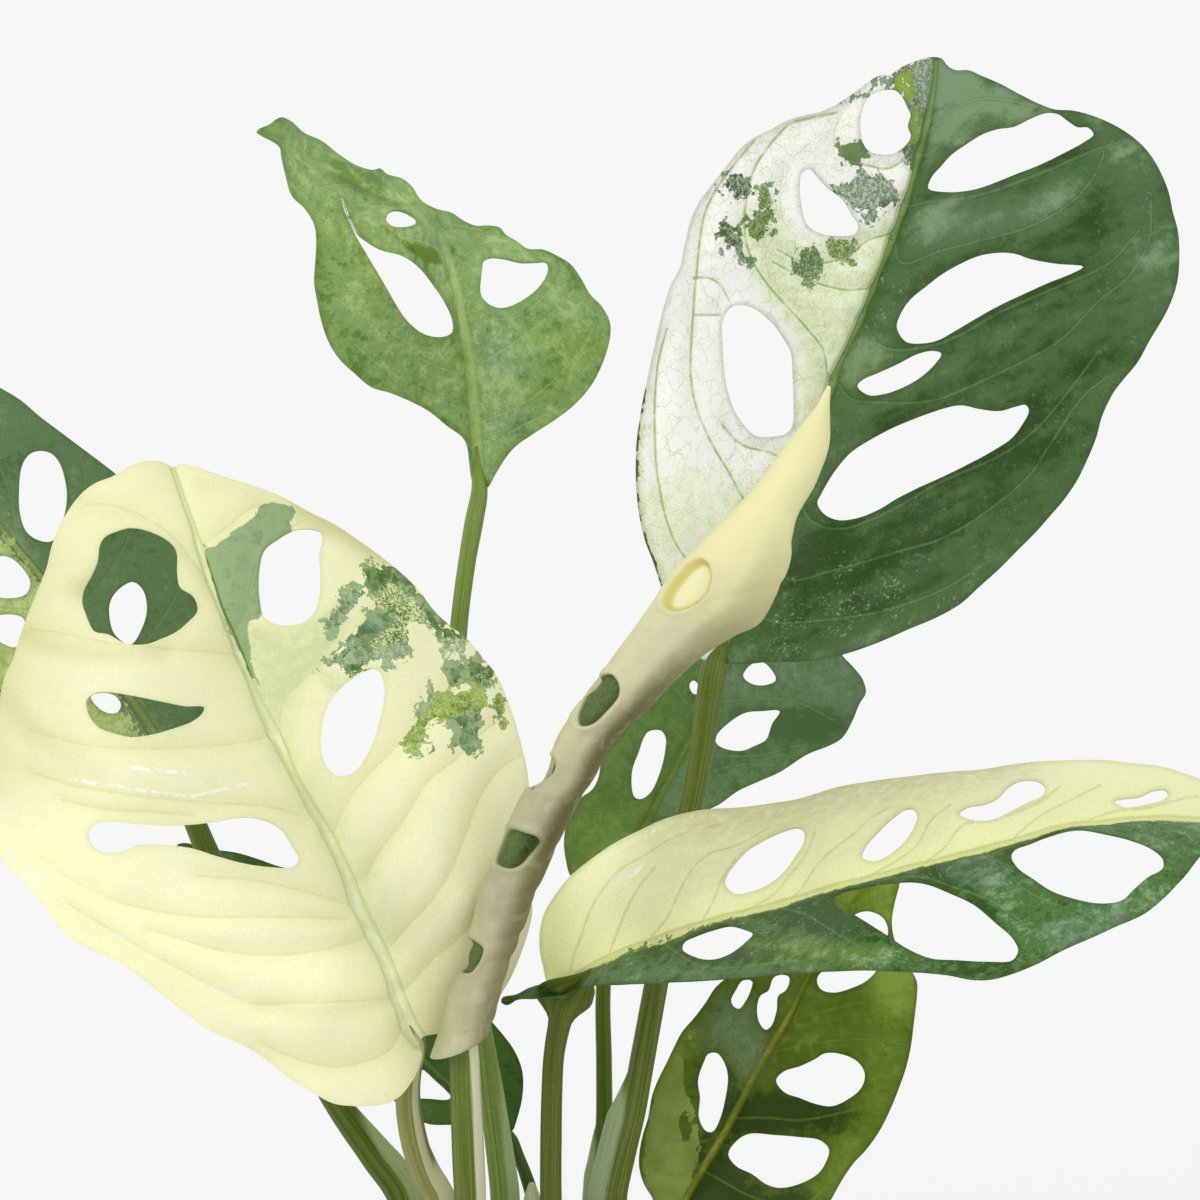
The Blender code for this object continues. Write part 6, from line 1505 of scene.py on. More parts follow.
def leaf_e():
    ob, info = blade("leaf_green_top", VEINS_E, rib=(8.5, 2.8), seed=13, wave=(0.0006, 60.0), groove=0.00055)
    f = info["flat"]
    streak = 0.6 * wobble(f[:, 0] * 0.7 + f[:, 1] * 0.7, f[:, 0] * -0.25 + f[:, 1] * 0.25, 30.0, 21, 3) \
        + 0.9 * wobble(f[:, 0] * 0.18 + f[:, 1] * 0.18, f[:, 0] * -0.7 + f[:, 1] * 0.7, 9.0, 22, 3)
    bluish = ease(signed([(478, 310), (512, 312), (530, 360), (515, 420), (488, 470), (478, 440), (474, 380)], f), -26, 20)
    # painted shade: a shaded patch beside the long crease near the tip
    shade = ease(signed([(335, 160), (360, 172), (382, 175), (388, 190), (370, 196), (345, 192), (330, 178)], f), -6, 6)
    low = ease(signed([(405, 398), (470, 440), (472, 478), (455, 440), (425, 418), (395, 400)], f), -5, 6)
    near = np.exp(-(np.abs(info["near"]) / 30.0) ** 2) * (info["side"] < 0)
    margin = np.exp(-(line_distance(smooth(BLADES["leaf_green_top"]["outline"], True, 8.0), f, True)[0] / 12.0) ** 2)
    leftlow = ease(signed([(318, 240), (345, 250), (352, 320), (400, 385), (460, 430), (440, 424), (370, 388), (325, 340)], f), -10, 12)
    dark = 0.06 + 0.30 * streak - 0.35 * shade - 0.25 * low - 0.22 * leftlow - 0.12 * margin
    yel = ease(signed([(330, 205), (350, 215), (372, 262), (392, 310), (380, 320), (352, 262), (330, 235)], f), -10, 8) \
        + ease(signed([(515, 330), (560, 320), (600, 330), (575, 380), (530, 400), (515, 360)], f), -14, 12)
    hue = 0.30 * np.clip(streak + 0.2, 0, 1) + 0.30 * yel - 0.60 * bluish * (0.6 - 0.6 * streak) - 0.25 * np.clip(-streak, 0, 1)
    for key, keep in (("rib", 0.25 + 0.75 * ease(f[:, 1], 215, 275)),):
        vals = np.zeros(len(ob.data.vertices), dtype=np.float32)
        ob.data.attributes[key].data.foreach_get("value", vals)
        ob.data.attributes[key].data.foreach_set("value", (vals * np.concatenate([keep, keep])).astype(np.float32))
    bend = ease(signed([(404, 240), (414, 244), (440, 253), (441, 262), (430, 263), (412, 254)], f), -3, 2)
    hue = hue * (1 - bend) + 1.0 * bend
    dark = dark * (1 - bend) - 0.62 * bend
    # painted shade along creases, less painted highlights along the upper side of the long crease and along a fold by
    # the small hole
    shadefold = folded([([(330, 172), (350, 184), (375, 197), (398, 205)], 3.6, 1.5), ([(345, 205), (352, 222), (362, 238)], 6, 0.7),
                        ([(318, 250), (317, 300), (325, 335)], 5, 0.6), ([(512, 405), (545, 398), (565, 392)], 6, 0.45),
                        ([(380, 222), (402, 242), (412, 250)], 2.6, 1.2), ([(500, 470), (515, 450), (530, 440)], 7, 0.7),
                        ([(470, 400), (473, 440), (476, 470)], 5, 0.45), ([(466, 350), (468, 390), (471, 440)], 6, 0.45),
                        ([(404, 398), (425, 411), (446, 428)], 4, 0.5)], f)
    shadefold = shadefold - folded([([(310, 160), (335, 178), (365, 192), (395, 205)], 5, 0.0), ([(330, 167), (352, 178), (377, 190), (400, 199)], 3.2, 1.0),
                                       ([(384, 220), (404, 238), (414, 246)], 2.2, 0.9)], f)
    dress(ob, info, 1.0, 0.0, 0.5, dark, hue=hue, shade=shadefold)
    # its streaks are painted highlights along the left rim of the long hole
    skin = leaf_skin("blade_top_skin", tone(205, 215, 160), tone(185, 200, 130), tone(170, 190, 110),
                     (tone(102, 138, 66), tone(136, 168, 102), tone(166, 194, 134)), tone(158, 184, 114),
                     tone(190, 205, 140), tone(190, 214, 138), tone(120, 145, 84), mottled=0.85, flecks=0.25,
                     net_green=0.06, rib_line=0.18, grain=0.9,
                     streaks=[((341, 200), (350, 221), 1.8), ((350, 221), (358, 236), 1.6)])
    place(ob, skin, "blade_fresh", "leaf_green_top")


# --- the green blade behind the middle ---------------------------------------
VEINS_G = [
    ([(645, 825), (620, 830), (595, 840), (575, 850)], 2.0, 1.2), ([(665, 785), (645, 805), (615, 812), (585, 812)], 2.0, 1.2),
    ([(686, 746), (668, 790), (650, 805)], 1.6, 1.0), ([(686, 746), (675, 730), (650, 715), (625, 715)], 2.0, 1.2),
    ([(708, 703), (690, 705), (670, 680), (655, 665)], 2.0, 1.2), ([(731, 660), (715, 655), (700, 645)], 1.8, 1.1),
    ([(645, 825), (680, 815), (715, 800)], 2.0, 1.2), ([(665, 785), (700, 775), (740, 765), (775, 765)], 2.0, 1.2),
    ([(686, 746), (712, 755), (760, 755), (800, 745)], 2.0, 1.2), ([(708, 703), (740, 700), (790, 700), (835, 720)], 2.0, 1.2),
    ([(731, 660), (745, 650), (790, 655), (830, 670)], 1.8, 1.1),
]


def leaf_g():
    ob, info = blade("leaf_green_back", VEINS_G, rib=(8.0, 2.4), seed=17, wave=(0.0004, 60.0))
    f = info["flat"]
    left = 1.0 - ease(info["side"] * info["near"], -3, 3)
    grey = ease(signed([(700, 640), (760, 610), (860, 660), (850, 720), (800, 700), (740, 705)], f), -14, 14)
    dark = -0.12 + 0.34 * left + 0.10 * grey + 0.22 * wobble(f[:, 0], f[:, 1], 40.0, 8)
    dark = dark - 0.45 * ease(signed([(780, 712), (800, 705), (850, 720), (820, 745), (790, 752), (770, 740)], f), -8, 12)
    hue = -0.40 * (1 - left) - 0.15 * grey + 0.30 * left * ease(f[:, 1], 760, 840)
    dress(ob, info, 1.0, 0.0, 0.5, dark, hue=hue)
    skin = leaf_skin("blade_back_skin", tone(205, 215, 160), tone(185, 200, 130), tone(170, 190, 110),
                     (tone(74, 102, 44), tone(94, 128, 66), tone(116, 148, 78)), tone(122, 150, 88),
                     tone(150, 160, 80), tone(128, 146, 62), tone(85, 95, 50), mottled=0.55, rib_line=0.3)
    place(ob, skin, "blade_fresh", "leaf_green_back")


# --- the half cream blade held out to the right ------------------------------
VEINS_H = [
    ([(569, 978), (574, 955), (580, 940), (592, 905), (605, 885), (622, 868), (640, 858), (680, 835), (720, 823)], 2.0, 1.2),
    ([(648, 942), (656, 930), (665, 920), (675, 900), (685, 880), (698, 862), (710, 852), (740, 843), (770, 826)], 2.0, 1.2),
    ([(608, 958), (618, 930), (628, 905), (640, 885), (655, 868)], 1.6, 1.0),
    ([(700, 924), (712, 905), (722, 880), (735, 858)], 1.6, 1.0),
    ([(790, 898), (800, 890), (815, 868), (835, 848), (855, 833), (870, 818), (890, 806)], 2.0, 1.2),
    ([(740, 912), (770, 896), (792, 872), (808, 850), (815, 830)], 1.6, 1.0),
    ([(860, 880), (890, 865), (915, 845), (930, 820), (950, 805)], 2.0, 1.2),
    ([(925, 863), (945, 845), (960, 826), (1000, 818), (1040, 802), (1060, 786)], 2.0, 1.2),
    ([(1010, 840), (1040, 815), (1070, 800), (1100, 785)], 1.8, 1.1),
    ([(1080, 824), (1110, 812), (1150, 808), (1185, 798), (1210, 795)], 1.8, 1.1),
    ([(660, 940), (700, 965), (750, 965), (800, 960)], 2.0, 1.2),
    ([(770, 906), (800, 912), (840, 935), (880, 955), (930, 968)], 2.0, 1.2),
    ([(855, 883), (880, 880), (920, 878), (960, 890), (1000, 905), (1030, 930), (1040, 950)], 2.0, 1.2),
    ([(981, 850), (1000, 862), (1020, 885), (1060, 905), (1100, 915)], 2.0, 1.2),
    ([(1065, 827), (1110, 828), (1160, 842), (1185, 860)], 1.8, 1.1),
]


H_GLINTS = [((613, 886), (622, 878), 2.4), ((636, 872), (645, 863), 2.4), ((646, 838), (655, 832), 2.4),
            ((628, 878), (639, 871), 2.0)]


def leaf_h():
    ob, info = blade("leaf_half_cream_side", VEINS_H, slim=0.48, rib=(7.0, 2.6), seed=19, wave=(0.0004, 60.0), cell=CELL * 0.86)
    f = info["flat"]
    below = info["side"] * info["near"]
    line = np.interp(f[:, 0], [540, 602, 644, 700, 728, 813, 897, 981, 1065, 1135, 1205, 1290],
                     [992, 963, 945, 927, 918, 895, 872, 850, 827, 820, 822, 858])
    green = (f[:, 1] - line) / 10.0 - 0.15
    mott = ease(signed([(600, 960), (640, 925), (700, 905), (740, 900), (720, 925), (660, 945), (620, 965)], f), -8, 6)
    rag = 0.10 + 0.45 * mott
    warm = 0.25 + 0.75 * np.exp(-(np.abs(f[:, 1] - line) / 22.0)) + 0.35 * ease(f[:, 0], 640, 540) \
        + 0.2 * wobble(f[:, 0], f[:, 1], 90.0, 5)
    bloom = ease(f[:, 0], 640, 760)
    dark = -0.10 + 0.30 * wobble(f[:, 0], f[:, 1], 45.0, 8) \
        + 0.30 * ease(signed([(720, 915), (770, 922), (830, 940), (900, 952), (890, 965), (800, 955), (735, 940)], f), -4, 4) \
        + 0.35 * ease(signed([(980, 880), (1040, 885), (1060, 930), (1030, 950), (1010, 930)], f), -8, 8)
    above = line - f[:, 1]
    # a beige band along the top edge and over the upper pale part, partly the blade's own tone and partly painted shade
    topline = line_distance(smooth([(545, 930), (560, 895), (600, 862), (640, 838), (700, 815), (780, 803), (860, 785), (950, 772),
                                    (1040, 762), (1100, 762), (1180, 772), (1240, 800)], False, 8.0), f)[0]
    tint = np.clip(0.80 * np.exp(-(topline / 22.0) ** 2) * ease(f[:, 0], 600, 720) * ease(f[:, 0], 1080, 1000)
                   + 0.28 * ease(above, 12, 40) * ease(f[:, 0], 1060, 900) * ease(f[:, 0], 600, 700), 0, 1)
    lobe = ease(signed([(488, 1010), (500, 985), (530, 979), (560, 985), (600, 984), (600, 1000), (560, 1020), (520, 1022)], f), -3, 3)
    green = np.maximum(green, lobe * 2.0 - 1.0)
    # painted light: the pale part near the base is brightened
    lift = 0.9 * ease(f[:, 0], 660, 585) * ease(above, -4, 6)
    dark = dark - 0.30 * ease(f[:, 1] - line, 0, 4) * ease(f[:, 1] - line, 70, 20) * ease(f[:, 0], 1000, 900)
    dark = dark + 0.25 * ease(f[:, 0], 1040, 1090)
    lower = ease(signed([(600, 962), (680, 966), (800, 960), (900, 958), (960, 968), (960, 990), (560, 1000)], f), -4, 5)
    dark = dark + 0.12 * lower - 0.14 + 0.34 * ease(f[:, 0], 740, 640) * (1.0 - 0.7 * ease(f[:, 0], 600, 575))
    hue = -0.10 * lower - 0.55 * ease(signed([(940, 862), (985, 850), (1010, 868), (1000, 884), (950, 880)], f), -6, 6) \
        - 0.4 * ease(signed([(1040, 930), (1100, 905), (1130, 900), (1120, 925), (1060, 950)], f), -8, 8) \
        + 0.25 * ease(signed([(740, 945), (790, 935), (860, 945), (900, 955), (880, 965), (760, 965)], f), -6, 6)
    dress(ob, info, green, rag, warm, dark, bloom, tint=tint, hue=hue, shade=-lift)
    skin = leaf_skin("blade_side_skin", tone(238, 238, 200), tone(230, 236, 168), tone(186, 186, 112),
                     (tone(52, 84, 32), tone(82, 118, 62), tone(126, 158, 112)), tone(112, 142, 88),
                     tone(214, 222, 150), tone(122, 148, 84), tone(176, 180, 120), rough=0.42, mottled=0.85,
                     wax=0.60, net_pale=0.07, streaks=H_GLINTS, tint=tone(206, 204, 158), vein_pale=0.50)
    place(ob, skin, "blade_cream", "leaf_half_cream_side")


# --- the half white blade at the top right ------------------------------------
VEINS_I = [
    ([(918, 150), (890, 168), (870, 165), (850, 160)], 2.0, 1.2),
    ([(838, 112), (810, 118), (789, 124), (775, 140), (768, 150), (758, 165), (750, 190), (747, 215), (748, 240),
      (755, 262), (770, 285), (790, 308), (810, 330), (825, 350), (830, 378)], 2.4, 2.2),
    ([(755, 140), (735, 165), (720, 185), (708, 210), (702, 240), (698, 275), (695, 310), (693, 340), (692, 370),
      (695, 395), (703, 420), (715, 445), (730, 470), (745, 498), (765, 530)], 1.9, 2.2),
    ([(668, 330), (660, 360), (656, 400), (656, 440), (658, 470), (662, 495), (668, 520), (678, 545), (700, 575),
      (725, 610)], 1.5, 2.0),
    ([(640, 400), (637, 470), (640, 510), (648, 545), (658, 575)], 1.3, 1.3),
    ([(695, 278), (710, 278), (722, 285), (730, 300)], 1.5, 1.2),
    ([(695, 315), (718, 315)], 1.4, 1.2),
    ([(893, 234), (870, 240), (850, 255), (830, 262), (805, 262), (780, 250)], 1.8, 1.2),
    ([(872, 288), (850, 290), (825, 285), (800, 275), (775, 262)], 1.6, 1.1),
    ([(810, 444), (805, 455), (790, 460), (770, 452), (745, 445), (725, 425)], 1.7, 1.1),
    ([(776, 526), (760, 520), (745, 498)], 2.0, 1.8),
    ([(658, 461), (668, 461), (680, 463), (690, 478), (698, 497), (705, 518), (710, 532)], 1.2, 1.0, 0.30),
    ([(660, 485), (668, 486), (678, 484)], 1.1, 1.0, 0.30), ([(673, 488), (680, 502), (688, 520), (695, 535)], 1.1, 1.0, 0.30),
    ([(668, 425), (680, 438), (688, 442), (700, 442)], 1.1, 1.0, 0.25), ([(664, 370), (680, 366), (692, 362)], 1.1, 1.0, 0.15),
    ([(695, 462), (690, 470), (680, 463)], 1.1, 1.0, 0.15), ([(724, 428), (735, 440), (744, 455), (747, 478)], 1.2, 1.0, 0.45),
    ([(750, 430), (765, 445), (772, 462)], 1.2, 1.0, 0.45), ([(785, 440), (778, 452), (770, 460)], 1.2, 1.0, 0.35),
    ([(812, 125), (820, 138), (830, 142)], 1.1, 1.0, 0.25), ([(797, 130), (790, 142), (782, 152)], 1.1, 1.0, 0.30),
    ([(836, 150), (836, 130), (844, 112)], 1.4, 1.2, 0.6), ([(785, 172), (782, 195), (786, 222), (800, 240)], 1.4, 1.2, 0.55),
    ([(903, 206), (930, 200), (960, 198), (1000, 188), (1050, 168), (1095, 148), (1120, 140)], 2.4, 1.4),
    ([(893, 234), (900, 262), (940, 250), (980, 240), (1030, 225), (1075, 198), (1100, 165), (1105, 150)], 2.4, 1.4),
    ([(860, 318), (880, 345), (900, 350), (935, 345), (960, 335), (1000, 312), (1060, 285), (1110, 262), (1140, 230)], 2.4, 1.4),
    ([(833, 378), (850, 398), (880, 402), (930, 400), (960, 390), (1000, 372), (1030, 357), (1060, 340), (1100, 300),
      (1130, 275), (1150, 240), (1152, 200)], 2.4, 1.4),
    ([(794, 484), (810, 520), (840, 528), (880, 515), (940, 482), (1000, 455), (1035, 430), (1070, 390), (1100, 350)], 2.2, 1.3),
    ([(770, 540), (787, 578), (830, 570), (900, 550), (940, 538), (985, 512), (1030, 475), (1050, 445), (1085, 395),
      (1110, 375)], 2.4, 1.4),
    ([(742, 602), (770, 620), (820, 620), (880, 610), (940, 590), (990, 560)], 2.0, 1.2),
    ([(927, 124), (950, 110), (980, 98), (1010, 100), (1040, 108)], 2.0, 1.2),
]
I_BLOTS = [
    [(722, 190), (726, 178), (735, 175), (750, 176), (752, 190), (746, 200), (735, 200), (727, 192)],
    [(764, 184), (771, 188), (771, 208), (765, 212), (760, 200)],
    [(748, 220), (758, 210), (769, 209), (770, 222), (776, 232), (766, 238), (755, 242), (748, 234)],
    [(722, 224), (730, 223), (738, 230), (745, 246), (756, 264), (742, 264), (733, 254), (722, 248)],
    [(797, 255), (805, 247), (818, 252), (824, 262), (820, 276), (808, 282), (798, 275)],
    [(828, 244), (838, 236), (852, 238), (856, 250), (850, 264), (838, 262), (830, 256)],
    [(842, 144), (856, 139), (866, 144), (868, 156), (862, 167), (846, 167), (840, 156)],
    [(836, 188), (845, 180), (858, 170), (869, 169), (882, 180), (899, 190), (896, 203), (881, 208), (873, 222),
     (864, 216), (852, 209), (840, 196)],
]
I_TIP = [[(899, 140), (896, 110), (905, 92), (898, 70), (915, 60), (936, 55), (950, 66), (946, 90), (938, 120), (930, 150),
          (915, 170), (905, 165)],
         [(832, 108), (850, 96), (866, 84), (880, 76), (903, 74), (905, 92), (880, 88), (862, 96), (842, 106)]]


I_SHADES = [
    ([(930, 60), (1000, 90), (1050, 108), (1020, 112), (960, 128), (930, 120)], 0.15, -0.1),
    ([(905, 190), (925, 150), (945, 190), (930, 240), (900, 250)], -0.10, 0.0),
    ([(930, 205), (1000, 200), (1080, 185), (1060, 215), (990, 235), (920, 245)], 0.55, -0.25),
    ([(1085, 110), (1120, 135), (1165, 200), (1165, 300), (1130, 330), (1125, 240), (1110, 170)], 0.22, -0.1),
    ([(900, 262), (980, 246), (1070, 215), (1085, 240), (1000, 262), (930, 280)], 0.10, 0.0),
    ([(860, 345), (900, 360), (900, 395), (850, 400), (838, 380)], 0.30, 0.1),
    ([(880, 370), (1000, 330), (1090, 280), (1100, 310), (1010, 355), (930, 390)], 0.12, 0.0),
    ([(870, 410), (960, 405), (1040, 380), (1060, 420), (980, 470), (900, 500), (860, 470)], -0.10, 0.0),
    ([(790, 560), (870, 540), (960, 500), (1030, 440), (1050, 460), (960, 540), (860, 590), (790, 600)], -0.12, 0.0),
    ([(800, 530), (850, 535), (840, 560), (800, 575), (775, 570)], -0.22, 0.0),
    ([(1000, 120), (1060, 128), (1090, 135), (1060, 160), (1010, 175), (960, 190), (975, 150)], 0.0, 0.0)]
I_PARTS = [
    ([(720, 192), (724, 174), (752, 172), (754, 190), (740, 204)], -0.15, 0.1, 0.40),
    ([(760, 186), (766, 180), (774, 190), (772, 212), (760, 208)], 0.20, 0.3, 0.3),
    ([(744, 222), (756, 208), (770, 206), (778, 234), (752, 246)], -0.05, 0.35, 0.30),
    ([(718, 224), (728, 220), (742, 234), (740, 258), (722, 252)], -0.10, 0.1, 0.35),
    ([(732, 250), (745, 244), (762, 268), (744, 270)], 0.25, -0.2, 0.35),
    ([(794, 258), (804, 244), (828, 262), (822, 284), (798, 280)], 0.20, 0.1, 0.35),
    ([(824, 244), (838, 232), (858, 238), (854, 268), (832, 262)], 0.15, 0.45, 0.50),
    ([(838, 144), (856, 136), (872, 144), (866, 170), (838, 170)], 0.25, 0.25, 0.05),
    ([(834, 186), (858, 168), (884, 178), (902, 192), (898, 206), (882, 210), (864, 222), (850, 210)], 0.38, -0.22, 0.45),
    ([(880, 204), (898, 202), (894, 240), (884, 236)], 0.10, 0.0, 0.10),
    ([(828, 110), (850, 92), (880, 72), (905, 72), (905, 92), (870, 96), (844, 108)], 0.35, -0.55, 0.15),
    ([(893, 98), (897, 76), (915, 72), (918, 96)], 0.20, 0.95, 0.0),
    ([(905, 140), (908, 116), (924, 100), (934, 118), (926, 146)], 0.20, 0.65, 0.15),
    ([(918, 100), (916, 66), (950, 60), (950, 110), (936, 130)], 0.40, -0.25, 0.35),
    ([(886, 158), (902, 152), (912, 160), (904, 196), (896, 180)], -0.05, 0.35, 0.60)]


def leaf_i():
    ob, info = blade("leaf_half_white_top", VEINS_I, rib=(6.5, 2.4), seed=23, wave=(0.0006, 90.0), groove=0.00075)
    f = info["flat"]
    right = info["side"] * info["near"]
    blots = patches(I_BLOTS, f, 3.0)
    tip = patches(I_TIP, f)
    green = np.maximum(np.maximum(blots / 9.0 + 0.05, tip / 9.0), (right + 0.5 * info["hw"]) / 5.0)
    rag = np.where(right > -2.5, 0.0, np.where(tip > blots, 0.45, 0.55))
    out_loop = line_distance(smooth(BLADES["leaf_half_white_top"]["outline"], True, 8.0), f, True)[0]
    lowmargin = ease(f[:, 0], 690, 660) * ease(f[:, 1], 380, 396) * ease(f[:, 1], 620, 590)
    green = np.maximum(green, lowmargin * 1.3 - out_loop / 2.5 - 0.9)
    warm = 1.0 * ease(signed([(770, 200), (800, 240), (850, 235), (895, 215), (885, 270), (862, 325), (838, 380),
                              (820, 420), (800, 450), (770, 500), (740, 570), (720, 630), (700, 640), (710, 580),
                              (745, 500), (790, 440), (800, 400), (798, 345), (775, 305), (752, 262), (745, 225)], f), -14, 14) \
        + 0.55 * ease(signed([(640, 500), (700, 470), (760, 520), (720, 640), (680, 630), (650, 560)], f), -20, 20)
    rim_ = np.minimum(info["edge"], 400.0)
    dark = -0.28 + 0.16 * wobble(f[:, 0], f[:, 1], 70.0, 8) + 0.26 * np.exp(-(out_loop / 30.0) ** 2) \
        + 0.22 * ease(right, 60, 10) * ease(right, 0, 8)
    topside = ease(signed([(930, 60), (1000, 90), (1060, 110), (1040, 132), (980, 150), (930, 175), (905, 200), (915, 140)], f), -14, 14)
    dark = dark + 0.35 * topside
    cast = np.zeros(len(f))
    for poly, dk, hu in I_SHADES:
        inn = ease(signed(poly, f), -24.0, 20.0)
        dark = dark + dk * inn
        cast = cast + hu * inn * (right > -2.5)
    along, over = f[:, 0] * 0.91 - f[:, 1] * 0.41, f[:, 0] * 0.41 + f[:, 1] * 0.91
    dark = dark + 0.30 * wobble(along / 5.0, over, 13.0, 27, 3) + 0.16 * wobble(along / 4.0, over, 5.0, 28, 2)
    dark = np.where(right < -2.5, 0.28 + 0.20 * wobble(f[:, 0], f[:, 1], 16.0, 3), dark)
    hue, gaps = np.zeros(len(f)), np.where(right < -2.5, 0.35, 0.0)
    for poly, dk, hu, gp in I_PARTS:
        inn = ease(signed(poly, f, 4.0), -3.0, 2.0) * (right < -2.5)
        dark = dark * (1 - inn) + dk * inn
        hue = hue * (1 - inn) + hu * inn
        gaps = gaps * (1 - inn) + gp * inn
    hue = hue + cast
    gaps = gaps * (1.0 - lowmargin)
    dark = dark * (1.0 - lowmargin) + 0.1 * lowmargin
    bloom = 0.25 + 0.75 * np.maximum(ease(signed([(760, 590), (820, 565), (900, 555), (970, 560), (960, 610), (880, 640),
                                                  (800, 655), (740, 650)], f), -20, 25),
                                     ease(signed([(880, 275), (905, 250), (900, 300), (870, 350), (855, 345)], f), -8, 8))
    bloom = bloom * ease(right, 0, 6)
    band = lowmargin * np.exp(-((out_loop - 4.0) / 4.0) ** 2)
    nearvein = np.exp(-(info["dv"] / 7.0) ** 2)
    tint = np.clip(0.55 * warm + 0.3 * band, 0, 1)
    dust = np.clip(0.25 + 0.6 * ease(signed([(745, 160), (790, 125), (860, 100), (890, 100), (880, 180), (830, 190), (790, 200), (770, 250), (745, 250)], f), -20, 20)
                   + 0.75 * warm + 0.45 * nearvein + 1.0 * band
                   + 0.5 * ease(signed([(735, 430), (790, 440), (770, 500), (740, 520), (720, 480)], f), -12, 10), 0, 1.6)
    # painted light: the white half is brightened, more so lower down
    lift = ease(right, 0, -6) * (0.45 + 0.55 * ease(f[:, 1], 300, 520)) * ease(green, 0.2, -0.2)
    dress(ob, info, green, rag, warm * 0.4, dark, bloom, shade=-0.75 * lift, hue=hue, gaps=gaps, tint=tint, dust=dust)
    skin = leaf_skin("blade_white_skin", tone(249, 246, 244), tone(238, 242, 214), tone(146, 172, 92),
                     (tone(50, 78, 36), tone(74, 104, 60), tone(118, 146, 106)), tone(112, 142, 98),
                     tone(200, 212, 150), tone(142, 168, 104), tone(120, 140, 95), rough=0.44, mottled=0.30,
                     wax=0.80, net=330.0, net_wide=0.06, net_pale=0.50, net_green=0.07, speck=1000.0, rib_line=0.35,
                     halo=0.9, net_tone=tone(196, 194, 158), vein_pale=0.85, vein_green=0.40, blocky=1.5, gappy=True, tint=tone(206, 222, 156), dust=0.60, dust_tone=tone(172, 194, 108))
    place(ob, skin, "blade_white", "leaf_half_white_top")


# --- the olive blade at the lower right ---------------------------------------
VEINS_J = [
    ([(729, 1124), (720, 1135), (700, 1142), (675, 1140)], 1.8, 1.1), ([(752, 1080), (740, 1060), (720, 1042), (700, 1035)], 1.8, 1.1),
    ([(768, 1052), (750, 1030), (735, 1018)], 1.6, 1.0), ([(797, 1000), (790, 1020), (780, 1030)], 1.4, 1.0),
    ([(735, 1118), (770, 1118), (800, 1120), (850, 1110), (880, 1100), (900, 1088)], 2.0, 1.2),
    ([(768, 1052), (780, 1050), (800, 1045), (840, 1040), (880, 1040), (908, 1045)], 2.0, 1.2),
    ([(784, 1025), (800, 1018), (820, 1012), (850, 1005), (880, 998), (910, 992)], 1.8, 1.1),
    ([(809, 975), (812, 955), (830, 930), (860, 905), (885, 895)], 1.8, 1.1),
    ([(702, 1170), (720, 1180), (760, 1200), (800, 1205), (825, 1190)], 2.0, 1.2),
    ([(685, 1200), (720, 1220), (770, 1235), (800, 1235)], 2.0, 1.2), ([(716, 1146), (705, 1160), (680, 1175), (655, 1170)], 1.8, 1.1),
]


J_PARTS = [
    ([(735, 1000), (765, 1040), (745, 1085), (728, 1060), (712, 1045), (715, 1010)], 0.05, -0.40),
    ([(790, 985), (850, 998), (900, 990), (870, 1040), (800, 1050), (780, 1030)], 0.08, 0.10),
    ([(870, 960), (917, 968), (917, 1000), (900, 1020), (878, 1000)], 0.35, 0.50),
    ([(870, 1040), (912, 1030), (900, 1090), (880, 1120), (866, 1080)], 0.00, 0.40),
    ([(735, 1105), (780, 1095), (850, 1110), (860, 1130), (800, 1134), (730, 1130)], -0.55, 0.0),
    ([(690, 1180), (720, 1150), (760, 1190), (820, 1195), (800, 1260), (700, 1275), (670, 1240)], -0.62, 0.0),
    ([(835, 1150), (870, 1120), (860, 1160), (835, 1190), (815, 1200), (825, 1170)], 0.05, 0.45),
    ([(690, 1080), (698, 1060), (698, 1130), (715, 1140), (700, 1165), (684, 1140)], -0.35, 0.0),
    ([(728, 1075), (735, 1100), (722, 1130), (716, 1128), (728, 1100)], -0.45, 0.0),
    ([(835, 890), (900, 870), (896, 935), (870, 912), (845, 918)], 0.0, 0.85)]


